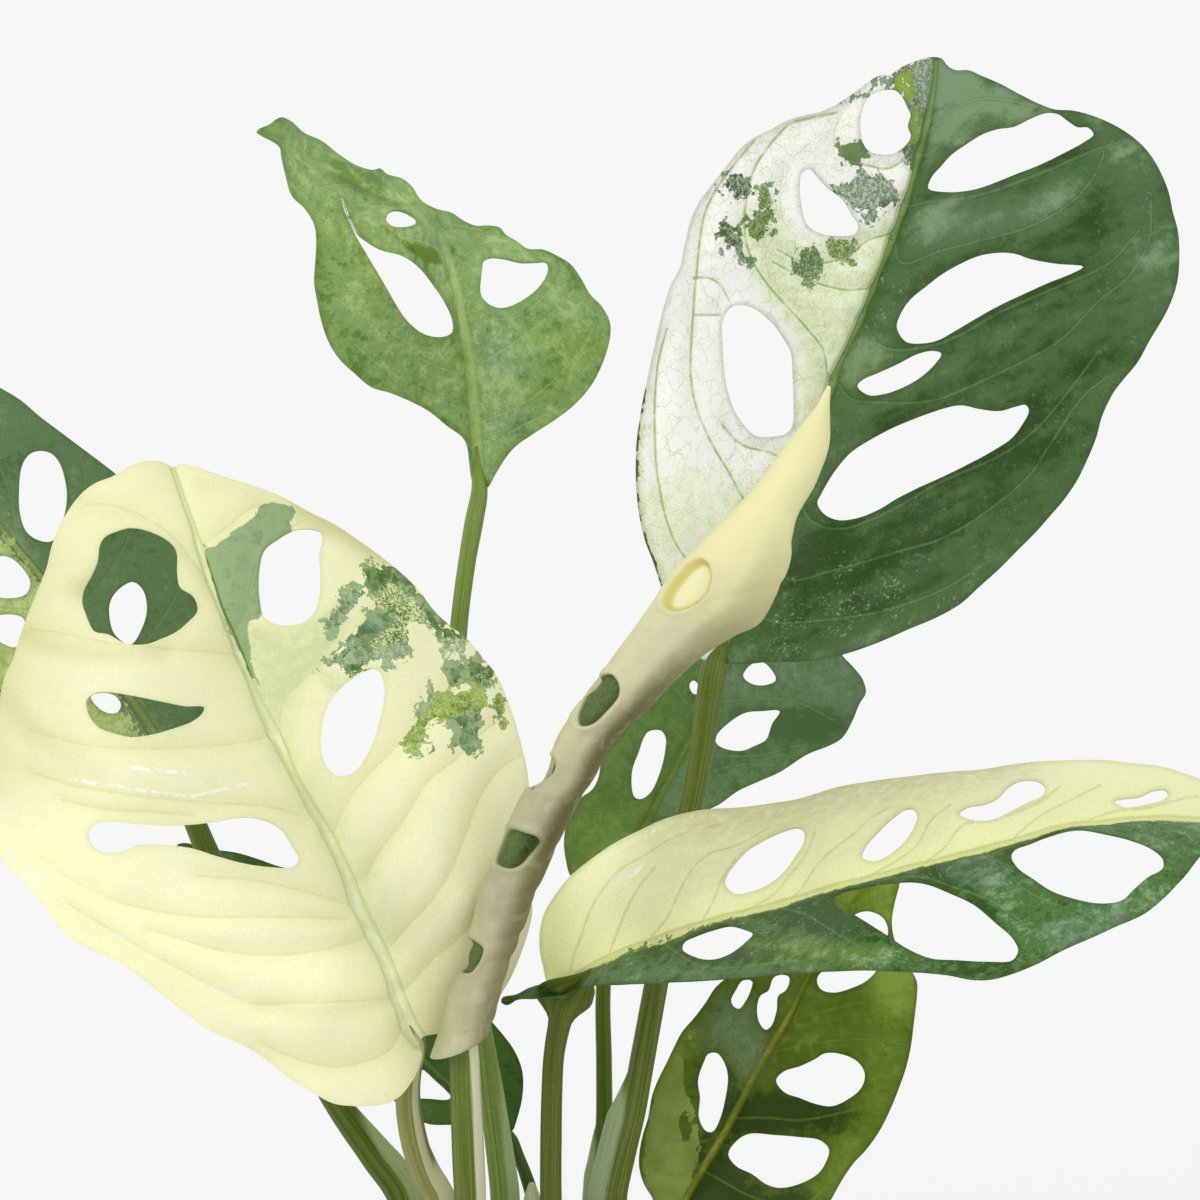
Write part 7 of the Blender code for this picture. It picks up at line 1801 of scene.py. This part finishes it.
def leaf_j():
    ob, info = blade("leaf_green_right", VEINS_J, rib=(6.5, 2.2), seed=29, wave=(0.0005, 70.0))
    f = info["flat"]
    pale = patches([[(645, 1200), (640, 1160), (650, 1100), (665, 1060), (690, 1030), (700, 1040), (697, 1060),
                     (694, 1090), (700, 1120), (702, 1150), (690, 1190), (675, 1220), (655, 1225)]], f)
    shade = patches([[(680, 1040), (700, 1040), (700, 1090), (688, 1100), (680, 1075)],
                     [(672, 1110), (690, 1108), (692, 1145), (680, 1152), (670, 1135)]], f)
    green = -(pale / 12.0) + 0.3 + np.maximum(shade / 8.0, -0.2) + 0.2
    rag = np.where(pale > -14, 0.22, 0.0)
    right = info["side"] * info["near"]
    dark = -0.05 + 0.18 * wobble(f[:, 0], f[:, 1], 60.0, 8) + 0.3 * ease(pale, -12, 2)
    hue = np.zeros(len(f))
    for poly, dk, hu in J_PARTS:
        inn = ease(signed(poly, f), -24.0, 18.0)
        dark = dark * (1 - inn) + dk * inn
        hue = hue * (1 - inn) + hu * inn
    for key, keep in (("rib", ease(f[:, 1], 905, 950)),):
        vals = np.zeros(len(ob.data.vertices), dtype=np.float32)
        ob.data.attributes[key].data.foreach_get("value", vals)
        ob.data.attributes[key].data.foreach_set("value", (vals * np.concatenate([keep, keep])).astype(np.float32))
    dress(ob, info, green, rag, 0.5 + 0.6 * wobble(f[:, 0], f[:, 1], 24.0, 3), dark, hue=hue)
    skin = leaf_skin("blade_right_skin", tone(152, 168, 90), tone(112, 132, 48), tone(120, 138, 56),
                     (tone(54, 74, 16), tone(88, 110, 34), tone(120, 140, 54)), tone(120, 138, 58),
                     tone(170, 175, 90), tone(156, 162, 66), tone(90, 95, 36), mottled=0.5, rib_line=0.30)
    place(ob, skin, "blade_olive", "leaf_green_right")

# ---------------------------------------------------------------------------
# The newest leaf, rolled up.  Cross rows from tip to base: left edge and
# right edge on the sheet.
# ---------------------------------------------------------------------------
ROWS = [((828, 385), (831, 387)), ((822, 395), (830, 402)), ((817, 405), (830, 420)), ((800, 427), (829, 446)),
        ((775, 460), (817, 484)), ((748, 494), (799, 517)), ((730, 512), (794, 538)), ((715, 527), (791, 566)),
        ((690, 552), (778, 598)), ((669, 578), (762, 625)), ((652, 603), (737, 637)), ((632, 632), (704, 658)),
        ((618, 650), (691, 668)), ((602, 672), (676, 682)), ((588, 690), (655, 704)), ((573, 712), (635, 724)),
        ((560, 731), (616, 743)), ((552, 748), (604, 762)), ((549, 764), (596, 776)), ((541, 781), (588, 789)),
        ((526, 789), (580, 802)), ((515, 806), (568, 823)), ((506, 828), (556, 848)), ((497, 850), (546, 869)),
        ((485, 876), (535, 893)), ((476, 898), (527, 917)), ((471, 922), (518, 941)), ((466, 945), (510, 961)),
        ((460, 970), (504, 981)), ((450, 987), (499, 998)), ((446, 1005), (496, 1012)), ((441, 1026), (492, 1025)),
        ((431, 1056), (490, 1032))]
ROLL_DEPTH = [(v, y) for u, v, y, h in ROLL][::-1]
YELLOW_WINDOW = [(662, 602), (665, 590), (675, 575), (688, 562), (700, 558), (707, 562), (711, 575), (709, 588),
                 (700, 600), (688, 608), (672, 611), (663, 606)]
GREEN_WINDOWS = [[(575, 717), (581, 700), (594, 679), (608, 673), (617, 681), (619, 696), (606, 713), (592, 725), (579, 726)],
                 [(553, 757), (556, 766), (551, 776), (541, 782), (530, 792), (535, 770), (545, 758)],
                 [(508, 828), (525, 832), (537, 836), (542, 842), (530, 857), (522, 865), (510, 869), (494, 862), (497, 850)],
                 [(467, 937), (475, 941), (483, 948), (482, 957), (475, 968), (470, 973), (460, 972), (463, 953)]]


def rolled():
    n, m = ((420, 112))
    left = np.array([a for a, b in ROWS], dtype=float)
    right = np.array([b for a, b in ROWS], dtype=float)
    cen = 0.5 * (left + right)
    seg = np.concatenate([[0.0], np.cumsum(np.linalg.norm(np.diff(cen, axis=0), axis=1))])
    both = smooth(np.hstack([left, right]), False, seg[-1] / n)
    left, right = both[:, :2], both[:, 2:]
    n = len(left)
    t = np.linspace(0.0, 1.0, n)
    cen = 0.5 * (left + right)
    half = 0.5 * (right - left)
    w = np.linalg.norm(half, axis=1)
    yc = np.interp(cen[:, 1], [v for v, y in ROLL_DEPTH], [y for v, y in ROLL_DEPTH])
    wm = w * UNIT * (yc + 600.0)
    deep = np.minimum(wm, 5.9) * 0.96
    flap = ease(wm, 6.4, 8.6)
    phi = 2.0 * math.pi * np.arange(m) / m
    c, s = np.cos(phi), np.sin(phi)
    # the roll is round on the left and drawn out to a thin free edge on the right
    x = np.tile(c, (n, 1))
    zdep = np.tile(s, (n, 1)) * (1.0 - 0.72 * flap[:, None] * ease(c, 0.15, 0.95)[None, :])
    # the seam: the outer turn ends in a step that winds along the back
    turn = phi[None, :] - (1.50 * math.pi + 0.55 * math.sin(1.0) + 0.5 * np.sin(5.0 * t)[:, None])
    turn = (turn + math.pi) % (2 * math.pi) - math.pi
    step_ = ease(turn, -0.03, 0.03) * (1.0 - ease(turn, 0.05, 1.4))
    shrink = 1.0 - (0.10 * step_ * ease(wm, 2.0, 4.0)[:, None])
    base_drop = 9.0 * ease(t, 0.93, 1.0)
    u = cen[:, 0][:, None] + half[:, 0][:, None] * x * shrink
    v = cen[:, 1][:, None] + half[:, 1][:, None] * x * shrink + (base_drop[:, None] * zdep)
    depth = yc[:, None] - deep[:, None] * zdep * shrink
    flatpts = np.stack([u.ravel(), v.ravel()], -1)
    front = zdep.ravel() > -0.12
    win = np.where(front, patches(GREEN_WINDOWS, flatpts, 3.0), -1e3)
    winy = np.where(front, signed(YELLOW_WINDOW, flatpts, 3.0), -1e3)
    anyw = np.maximum(win, winy)
    # soft dents and cross folds
    ripple = 0.35 * wobble(u.ravel() * 0.6 + v.ravel() * 0.8, np.tile(phi * 18.0, n), 34.0, 31, 2)
    folds = np.zeros(len(ripple))
    for v0, k in ((800, 0.40), (925, 0.55), (945, 0.4), (1010, 0.35), (640, 0.40), (745, 0.35), (690, 0.30), (712, 0.22), (775, 0.3),
                  (846, 0.35), (885, 0.35), (968, 0.3), (990, 0.22), (600, 0.25)):
        folds -= 0.62 * k * np.exp(-((v.ravel() - v0 + 0.25 * (u.ravel() - 560)) / 5.0) ** 2) * (0.5 + 0.5 * np.tile(c, n))
    lip = 0.30 * np.exp(-((anyw + 3.0) / 3.0) ** 2)
    sink = 1.45 * ease(anyw, -0.4, 2.6)
    out = ripple + folds + lip - sink
    out = out * np.repeat(ease(wm, 1.2, 4.0), m)
    pts = at(u.ravel(), v.ravel(), depth.ravel() / 1000.0)
    centre = np.repeat(at(cen[:, 0], cen[:, 1], yc / 1000.0), m, axis=0)
    ray = pts - centre
    ray /= np.maximum(np.linalg.norm(ray, axis=1, keepdims=True), 1e-9)
    pts = pts + ray * (out / 1000.0)[:, None]
    # the open foot turns in over its rim and runs a little way up inside
    rows = [pts.reshape(n, m, 3)]
    last = rows[0][-1]
    mid_last = last.mean(0)
    up = rows[0][-12].mean(0) - mid_last
    up /= np.linalg.norm(up)
    for k, lift in ((0.95, -0.0002), (0.90, 0.0002), (0.84, 0.003), (0.76, 0.008), (0.5, 0.0095), (0.2, 0.0100)):
        rows.append((mid_last + (last - mid_last) * k + up * lift)[None])
    allp = np.concatenate(rows)
    nn = len(allp)
    verts = allp.reshape(-1, 3)
    faces = []
    for i in range(nn - 1):
        for j in range(m):
            k = (j + 1) % m
            faces.append((i * m + j, i * m + k, (i + 1) * m + k, (i + 1) * m + j))
    faces.append(tuple(range(m))[::-1])
    faces.append(tuple((nn - 1) * m + j for j in range(m)))
    ob = outward(new_mesh("roll_newest_leaf", verts, faces, 75.0))
    extra_n = (nn - n) * m
    pad = lambda a, val: np.concatenate([a, np.full(extra_n, val)])
    paint(ob, "win", pad(np.clip(win / 10.0, -1, 1), -1.0))
    paint(ob, "winy", pad(np.clip(winy / 10.0, -1, 1), -1.0))
    paint(ob, "across", pad(np.tile(c, n), 0.0))
    paint(ob, "front", pad(np.tile(s, n), 0.0))
    paint(ob, "high", pad(v.ravel() / 1000.0, 1.06))
    paint(ob, "inner", np.concatenate([np.zeros(n * m), np.ones(extra_n)]))
    k = Skin("roll_skin", 0.48, 0.22)
    across, high, frontk = k.attr("across"), k.attr("high"), k.attr("front")
    soft = k.noise(90.0, 3.0)
    fine = k.noise(1400.0, 3.0)
    lowp = k.step(high, 0.53, 0.66)
    # partly the leaf's own colour, partly painted shade: paler cream at the top, greyer beige lower down, darker again
    # near the foot
    base = k.mix(lowp, tone(238, 233, 178), tone(212, 207, 174))
    base = k.mix(k.step(high, 0.66, 0.84), base, tone(182, 177, 148))
    base = k.mix(k.mul(k.step(soft, 0.35, 0.7), 0.20), base, tone(226, 220, 156))
    # painted shade: the right side of the lower roll is darker and more olive
    base = k.mix(k.mul(k.step(across, -0.1, 0.95), k.step(high, 0.52, 0.66), 0.75), base, tone(160, 154, 106))
    base = k.mix(k.mul(k.step(across, 0.0, 0.75), k.step(high, 0.62, 0.72), k.step(high, 0.84, 0.96, 1.0, 0.45), 0.95), base,
                 tone(104, 98, 62))
    base = k.mix(k.mul(k.step(k.noise(60.0, 2.0), 0.5, 0.7), lowp, 0.25), base, tone(170, 160, 100))
    lines = k.step(k.noise(700.0, 2.0, 0.5, 0.0, k.vec("grain_dir")), 0.45, 0.65)
    base = k.mix(k.mul(lines, 0.10), base, tone(200, 196, 120))
    win_, winy_ = k.attr("win"), k.attr("winy")
    # painted shade: the green windows are darker towards the right
    greenw = k.mix(k.step(k.add(across, k.mul(k.add(soft, -0.5), 0.6)), -0.8, 0.2), tone(92, 110, 64), tone(54, 74, 30))
    greenw = k.mix(k.mul(k.step(fine, 0.4, 0.65), 0.16), greenw, tone(140, 160, 108))
    # painted light and shade of small crinkles on the lower roll
    crumple = k.noise(260.0, 3.0, 0.55, 0.6)
    base = k.mix(k.mul(k.step(crumple, 0.50, 0.68), lowp, 0.16), base, tone(232, 226, 196))
    base = k.mix(k.mul(k.step(crumple, 0.48, 0.34), lowp, 0.12), base, tone(158, 150, 112))
    base = k.mix(k.step(win_, 0.02, 0.14), base, greenw)
    yel = k.mix(k.step(winy_, 0.25, 0.75), tone(214, 204, 120), tone(240, 236, 186))
    base = k.mix(k.step(winy_, -0.05, 0.12), base, yel)
    base = k.mix(k.attr("inner"), base, tone(170, 176, 110))
    k.set("Base Color", base)
    k.set("Roughness", k.add(k.mul(k.add(fine, -0.5), 0.14), 0.46))
    k.set("Normal", k.bump(k.add(k.mul(fine, 0.6), k.mul(soft, 1.2)), 0.25, 0.0004))
    # grain along the roll
    paint3(ob, "grain_dir", np.concatenate([
        np.stack([np.tile(phi * 2.2, n), np.repeat(t * 1.2, m), np.zeros(n * m)], -1), np.zeros((extra_n, 3))]))
    place(ob, k.mat, "blade_cream", "leaf_rolled")


# ---------------------------------------------------------------------------
# Stalks
# ---------------------------------------------------------------------------
def stalk_skin(name, main, light, darkc, wingc=None, stripe=None, bands=0.35):
    """main colour with fine long streaks; stripe = (colour, centre of cos angle, half width)."""
    k = Skin(name, 0.44, 0.20)
    grain = k.vec("grain")
    longs = k.noise(3.4, 4.0, 0.6, 0.0, k.scaled(grain, (1.6, 1.6, 0.10)))
    thin = k.noise(9.0, 3.0, 0.6, 0.0, k.scaled(grain, (1.6, 1.6, 0.12)))
    fleck = k.noise(1300.0, 3.0, 0.6)
    base = k.mix(k.step(longs, 0.30, 0.70), darkc, main)
    base = k.mix(k.mul(k.step(thin, 0.52, 0.68), bands), base, light)
    base = k.mix(k.mul(k.step(fleck, 0.55, 0.72), 0.22), base, light)
    if stripe is not None:
        col, mid_, wid = stripe
        a = k.math("ABSOLUTE", k.add(k.attr("around"), -mid_, k.mul(k.add(thin, -0.5), 0.25)))
        base = k.mix(k.mul(k.step(a, wid, wid + 0.14, 1.0, 0.0), 0.9), base, col)
    if wingc is not None:
        w = k.attr("wing")
        patchy = k.mix(k.mul(k.step(thin, 0.44, 0.66), 0.55), wingc, light)
        patchy = k.mix(k.mul(k.step(fleck, 0.46, 0.70), 0.25), patchy, light)
        base = k.mix(k.step(k.add(w, k.mul(k.add(thin, -0.5), 0.4)), 0.10, 0.42), base, patchy)
    base = k.mix(k.step(k.attr("down"), 1.25, 1.45), base, tone(150, 160, 110))
    k.set("Base Color", base)
    k.set("Roughness", k.add(k.mul(k.add(fleck, -0.5), 0.18), 0.42))
    k.set("Normal", k.bump(k.add(k.mul(thin, 1.0), k.mul(fleck, 0.35)), 0.35, 0.0003))
    return k.mat


def stalks():
    def go(node, slot, *a, **kw):
        skin = stalk_skin(node.replace("stalk_", "petiole_") + "_skin", *a, **kw)
        place(stalk(node), skin, slot, node)

    go("stalk_cream_front", "stalk_pale", tone(160, 162, 96), tone(198, 202, 146), tone(128, 132, 70),
       wingc=tone(222, 222, 180), stripe=(tone(216, 216, 172), 0.62, 0.16))
    go("stalk_green_left", "stalk_green", tone(98, 114, 42), tone(128, 144, 68), tone(72, 88, 24),
       wingc=tone(165, 178, 130))
    go("stalk_roll", "stalk_green", tone(118, 134, 64), tone(148, 162, 94), tone(92, 108, 44),
       stripe=(tone(226, 226, 190), 0.72, 0.20))
    go("stalk_green_top", "stalk_green", tone(140, 160, 84), tone(170, 190, 120), tone(102, 126, 50),
       wingc=tone(160, 178, 130))
    go("stalk_green_low", "stalk_green", tone(80, 108, 42), tone(114, 138, 70), tone(52, 76, 22))
    go("stalk_green_back", "stalk_green", tone(98, 124, 34), tone(130, 152, 60), tone(72, 94, 20),
       wingc=tone(176, 190, 148))
    go("stalk_half_cream", "stalk_green", tone(104, 118, 52), tone(134, 148, 80), tone(80, 92, 34))
    go("stalk_half_white", "stalk_green", tone(112, 126, 56), tone(144, 158, 84), tone(80, 94, 32),
       wingc=tone(168, 184, 144))
    go("stalk_green_right", "stalk_green", tone(96, 118, 44), tone(130, 148, 70), tone(66, 88, 24))


def stems():
    k = Skin("vine_skin", 0.58, 0.35)
    ring, up = k.attr("ring"), k.attr("up")
    soft = k.noise(260.0, 4.0, 0.6)
    fine = k.noise(1500.0, 3.0)
    base = k.mix(k.step(soft, 0.35, 0.65), tone(98, 110, 62), tone(140, 148, 92))
    base = k.mix(k.mul(k.step(fine, 0.55, 0.7), 0.4), base, tone(170, 160, 110))
    base = k.mix(k.mul(ring, 0.7), base, tone(110, 92, 58))
    base = k.mix(k.step(up, 0.34, 0.55, 0.7, 0.0), base, tone(104, 88, 60))
    k.set("Base Color", base)
    k.set("Normal", k.bump(k.add(k.mul(soft, 0.8), k.mul(fine, 0.5), k.mul(ring, 0.5)), 0.5, 0.0005))
    rings = {"stem_left": (0.118, 0.129, 0.143), "stem_middle": (0.118, 0.125, 0.132),
             "stem_right": (0.116, 0.127, 0.142)}
    for node, zs in rings.items():
        place(stem(node, zs), k.mat, "vine", node)
    # the next shoot: a closed sheath, drawn to a blunt tip
    pts = np.array(SHOOT)[:, :3] / 1000.0
    rad = np.array(SHOOT)[:, 3:] / 1000.0
    pts = np.vstack([[(0.0035, 0.0046, 0.1425)], pts])
    rad = np.vstack([[[0.0027]], rad])
    path, rest, _ = fair(pts, rad, 0.0006)
    sides = 36
    a = 2.0 * math.pi * np.arange(sides) / sides
    seam = np.exp(-((a - 1.35 * math.pi) / 0.12) ** 2)
    tt = np.linspace(0, 1, len(path))
    verts, faces = tube(path, rest[:, 0], sides,
                        lambda i, a_: 0.00030 * ease(a_ - 1.35 * math.pi, -0.05, 0.02) * ease(a_ - 1.35 * math.pi, 0.9, 0.1)
                        * (1 - ease(tt[i], 0.85, 1.0)))
    ob = outward(new_mesh("shoot_sheath", verts, faces, 70.0))
    paint(ob, "down", np.zeros(len(path) * sides) + 1.1)
    paint(ob, "around", np.tile(np.cos(a), len(path)))
    paint(ob, "wing", np.zeros(len(path) * sides))
    paint3(ob, "grain", np.stack([np.tile(np.cos(a), len(path)), np.tile(np.sin(a), len(path)), np.repeat(tt * 1.5, sides)], -1))
    place(ob, stalk_skin("shoot_skin", tone(196, 206, 160), tone(222, 226, 188), tone(166, 182, 124)), "stalk_pale",
          "shoot_tip")


# ---------------------------------------------------------------------------
# Potting mix and pot
# ---------------------------------------------------------------------------
POT_FLOOR, POT_INNER_FOOT, POT_NECK, POT_NECK_Z = 0.0070, 0.0395, 0.0550, 0.0920
POT_LIP, POT_LIP_Z, SOIL_TOP = 0.0592, 0.1170, 0.1075


def pot_inside(z):
    return np.interp(z, [POT_FLOOR + 0.0030, POT_NECK_Z, POT_LIP_Z], [POT_INNER_FOOT, POT_NECK, POT_LIP])


def soil():
    sides = 150
    rings = 52
    a = 2.0 * math.pi * np.arange(sides) / sides
    rows = []
    for z, dr in ((POT_FLOOR + 0.0004, -0.0042), (POT_FLOOR + 0.0034, -0.0008), (0.030, -0.0008), (0.060, -0.0008),
                  (POT_NECK_Z - 0.002, -0.0008), (SOIL_TOP - 0.004, -0.0008), (SOIL_TOP - 0.0012, -0.0008)):
        r = pot_inside(max(z, POT_FLOOR + 0.003)) + dr
        rows.append(np.stack([r * np.cos(a), r * np.sin(a), np.full(sides, z)], -1))
    rim = pot_inside(SOIL_TOP) - 0.0008
    for i in range(rings):
        k = (1.0 - i / rings) ** 0.9
        r = rim * k
        x, y = r * np.cos(a), r * np.sin(a)
        mound = 0.0011 * (np.sin(x * 210 + 1.1) * np.cos(y * 170 - 0.4) + 0.6 * np.sin(x * 90 - y * 130 + 2.0))
        crumbs = 0.0011 * wobble(x * 1000, y * 1000, 7.0, 5, 3) + 0.0006 * wobble(x * 1000, y * 1000, 2.4, 6, 2)
        z = SOIL_TOP + (mound + crumbs) * ease(1.0 - k, 0.0, 0.08) + 0.0012 * (1.0 - k)
        # drawn up a little round each stem
        for foot, head, radius in STEMS.values():
            fx, fy = foot[0] * 0.66 + head[0] * 0.34, foot[1] * 0.66 + head[1] * 0.34
            z = z + 0.0016 * np.exp(-(((x - fx) ** 2 + (y - fy) ** 2) / 0.0065 ** 2))
        rows.append(np.stack([x, y, z], -1))
    p = np.array(rows)
    n = len(p)
    verts = p.reshape(-1, 3).tolist() + [[0.0, 0.0, SOIL_TOP + 0.0012]]
    faces = []
    for i in range(n - 1):
        for j in range(sides):
            k = (j + 1) % sides
            faces.append((i * sides + j, i * sides + k, (i + 1) * sides + k, (i + 1) * sides + j))
    c = len(verts) - 1
    for j in range(sides):
        faces.append(((n - 1) * sides + j, (n - 1) * sides + (j + 1) % sides, c))
    faces.append(tuple(range(sides)))
    ob = outward(new_mesh("potting_mix", verts, faces, 80.0))
    k = Skin("potting_mix_skin", 0.95, 0.2)
    big = k.noise(220.0, 4.0, 0.65)
    grain = k.cells(700.0)
    fine = k.noise(1600.0, 4.0, 0.7)
    base = k.mix(k.step(big, 0.35, 0.70), tone(44, 32, 24, 1.1), tone(86, 64, 46, 1.1))
    base = k.mix(k.step(grain, 0.80, 0.84), base, tone(120, 92, 62))
    base = k.mix(k.step(grain, 0.955, 0.965), base, tone(196, 188, 172))
    base = k.mix(k.mul(k.step(fine, 0.45, 0.65), 0.4), base, tone(30, 22, 16))
    k.set("Base Color", base)
    k.set("Normal", k.bump(k.add(big, k.mul(grain, 0.7), fine), 0.8, 0.0012))
    place(ob, k.mat, "potting_mix", "soil")

    # loose bark chips and white perlite on top, one piece each
    def scatter(name, count, seed, size, squash, skin, slot):
        rng = np.random.default_rng(seed)
        bm = bmesh.new()
        bmesh.ops.create_icosphere(bm, subdivisions=1, radius=1.0)
        bv = np.array([tuple(v.co) for v in bm.verts])
        bf = [tuple(v.index for v in f.verts) for f in bm.faces]
        bm.free()
        vs, fs = [], []
        placed = 0
        while placed < count:
            r = (rim - 0.0025) * math.sqrt(rng.random())
            th = rng.random() * 2 * math.pi
            x, y = r * math.cos(th), r * math.sin(th)
            if any(math.hypot(x - (f_[0] * 0.66 + h_[0] * 0.34), y - (f_[1] * 0.66 + h_[1] * 0.34)) < 0.0062
                   for f_, h_, _ in STEMS.values()):
                continue
            sc = size[0] + (size[1] - size[0]) * rng.random() ** 2
            shape = np.array([1.0, 0.55 + 0.45 * rng.random(), squash])
            q = bv * (1.0 + 0.22 * rng.standard_normal((len(bv), 1))) * shape * sc
            an, tl = rng.random() * 2 * math.pi, 0.5 * (rng.random() - 0.5)
            ca, sa = math.cos(an), math.sin(an)
            q = q @ np.array([[ca, -sa, 0], [sa, ca, 0], [0, 0, 1]]).T
            ct, st = math.cos(tl), math.sin(tl)
            q = q @ np.array([[1, 0, 0], [0, ct, -st], [0, st, ct]]).T
            mound = 0.0011 * (math.sin(x * 210 + 1.1) * math.cos(y * 170 - 0.4) + 0.6 * math.sin(x * 90 - y * 130 + 2.0))
            z = SOIL_TOP + mound + 0.0012 * (1.0 - r / rim) + 0.25 * sc
            base_i = len(vs)
            vs += (q + np.array([x, y, z])).tolist()
            fs += [tuple(base_i + i for i in f) for f in bf]
            placed += 1
        ob = new_mesh(name, vs, fs, 35.0)
        place(ob, skin, slot)
        return ob

    kb = Skin("bark_skin", 0.9, 0.2)
    nb = kb.noise(300.0, 4.0, 0.65)
    kb.set("Base Color", kb.mix(kb.step(nb, 0.35, 0.7), tone(70, 50, 34), tone(128, 98, 68)))
    kb.set("Normal", kb.bump(kb.noise(1200.0, 4.0), 0.6, 0.0006))
    scatter("bark_chips", 420, 4, (0.0008, 0.0028), 0.42, kb.mat, "potting_mix")
    kp = Skin("perlite_skin", 0.8, 0.3)
    np_ = kp.noise(900.0, 4.0, 0.6)
    kp.set("Base Color", kp.mix(kp.step(np_, 0.35, 0.7), tone(214, 208, 196), tone(240, 238, 232)))
    kp.set("Normal", kp.bump(np_, 0.6, 0.0005))
    scatter("perlite", 90, 9, (0.0007, 0.0016), 0.8, kp.mat, "potting_mix")


def pot():
    k = Skin("fired_clay", 0.82, 0.25)
    big = k.noise(28.0, 4.0, 0.6)
    mid_ = k.noise(140.0, 4.0, 0.6)
    fine = k.noise(2200.0, 3.0, 0.6)
    base = k.mix(k.step(big, 0.35, 0.68), tone(184, 108, 76), tone(204, 130, 96))
    base = k.mix(k.mul(k.step(mid_, 0.40, 0.72), 0.35), base, tone(166, 94, 66))
    base = k.mix(k.mul(k.step(fine, 0.60, 0.75), 0.45), base, tone(226, 170, 138))
    base = k.mix(k.mul(k.step(fine, 0.40, 0.28, 0.0, 1.0), 0.35), base, tone(120, 66, 46))
    # pale lime bloom in scattered patches
    bloom = k.mul(k.step(k.noise(45.0, 5.0, 0.65), 0.52, 0.70), 0.5)
    base = k.mix(bloom, base, tone(224, 190, 168))
    k.set("Base Color", base)
    rings = k.nt.nodes.new("ShaderNodeTexWave")
    rings.wave_type = "BANDS"
    rings.bands_direction = "Z"
    rings.inputs["Scale"].default_value = 110.0
    rings.inputs["Distortion"].default_value = 1.5
    rings.inputs["Detail"].default_value = 2.0
    k.nt.links.new(k.coord(), rings.inputs["Vector"])
    k.set("Normal", k.bump(k.add(k.mul(rings.outputs["Fac"], 0.35), k.mul(fine, 0.6), mid_), 0.30, 0.0006))
    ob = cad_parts["pot"]
    ob = bpy.data.objects[ob] if isinstance(ob, str) else ob
    for s in ob.material_slots:
        s.material = k.mat


leaf_a()
leaf_b()
leaf_d()
leaf_e()
leaf_g()
leaf_h()
leaf_i()
leaf_j()
rolled()
stalks()
stems()
soil()
pot()
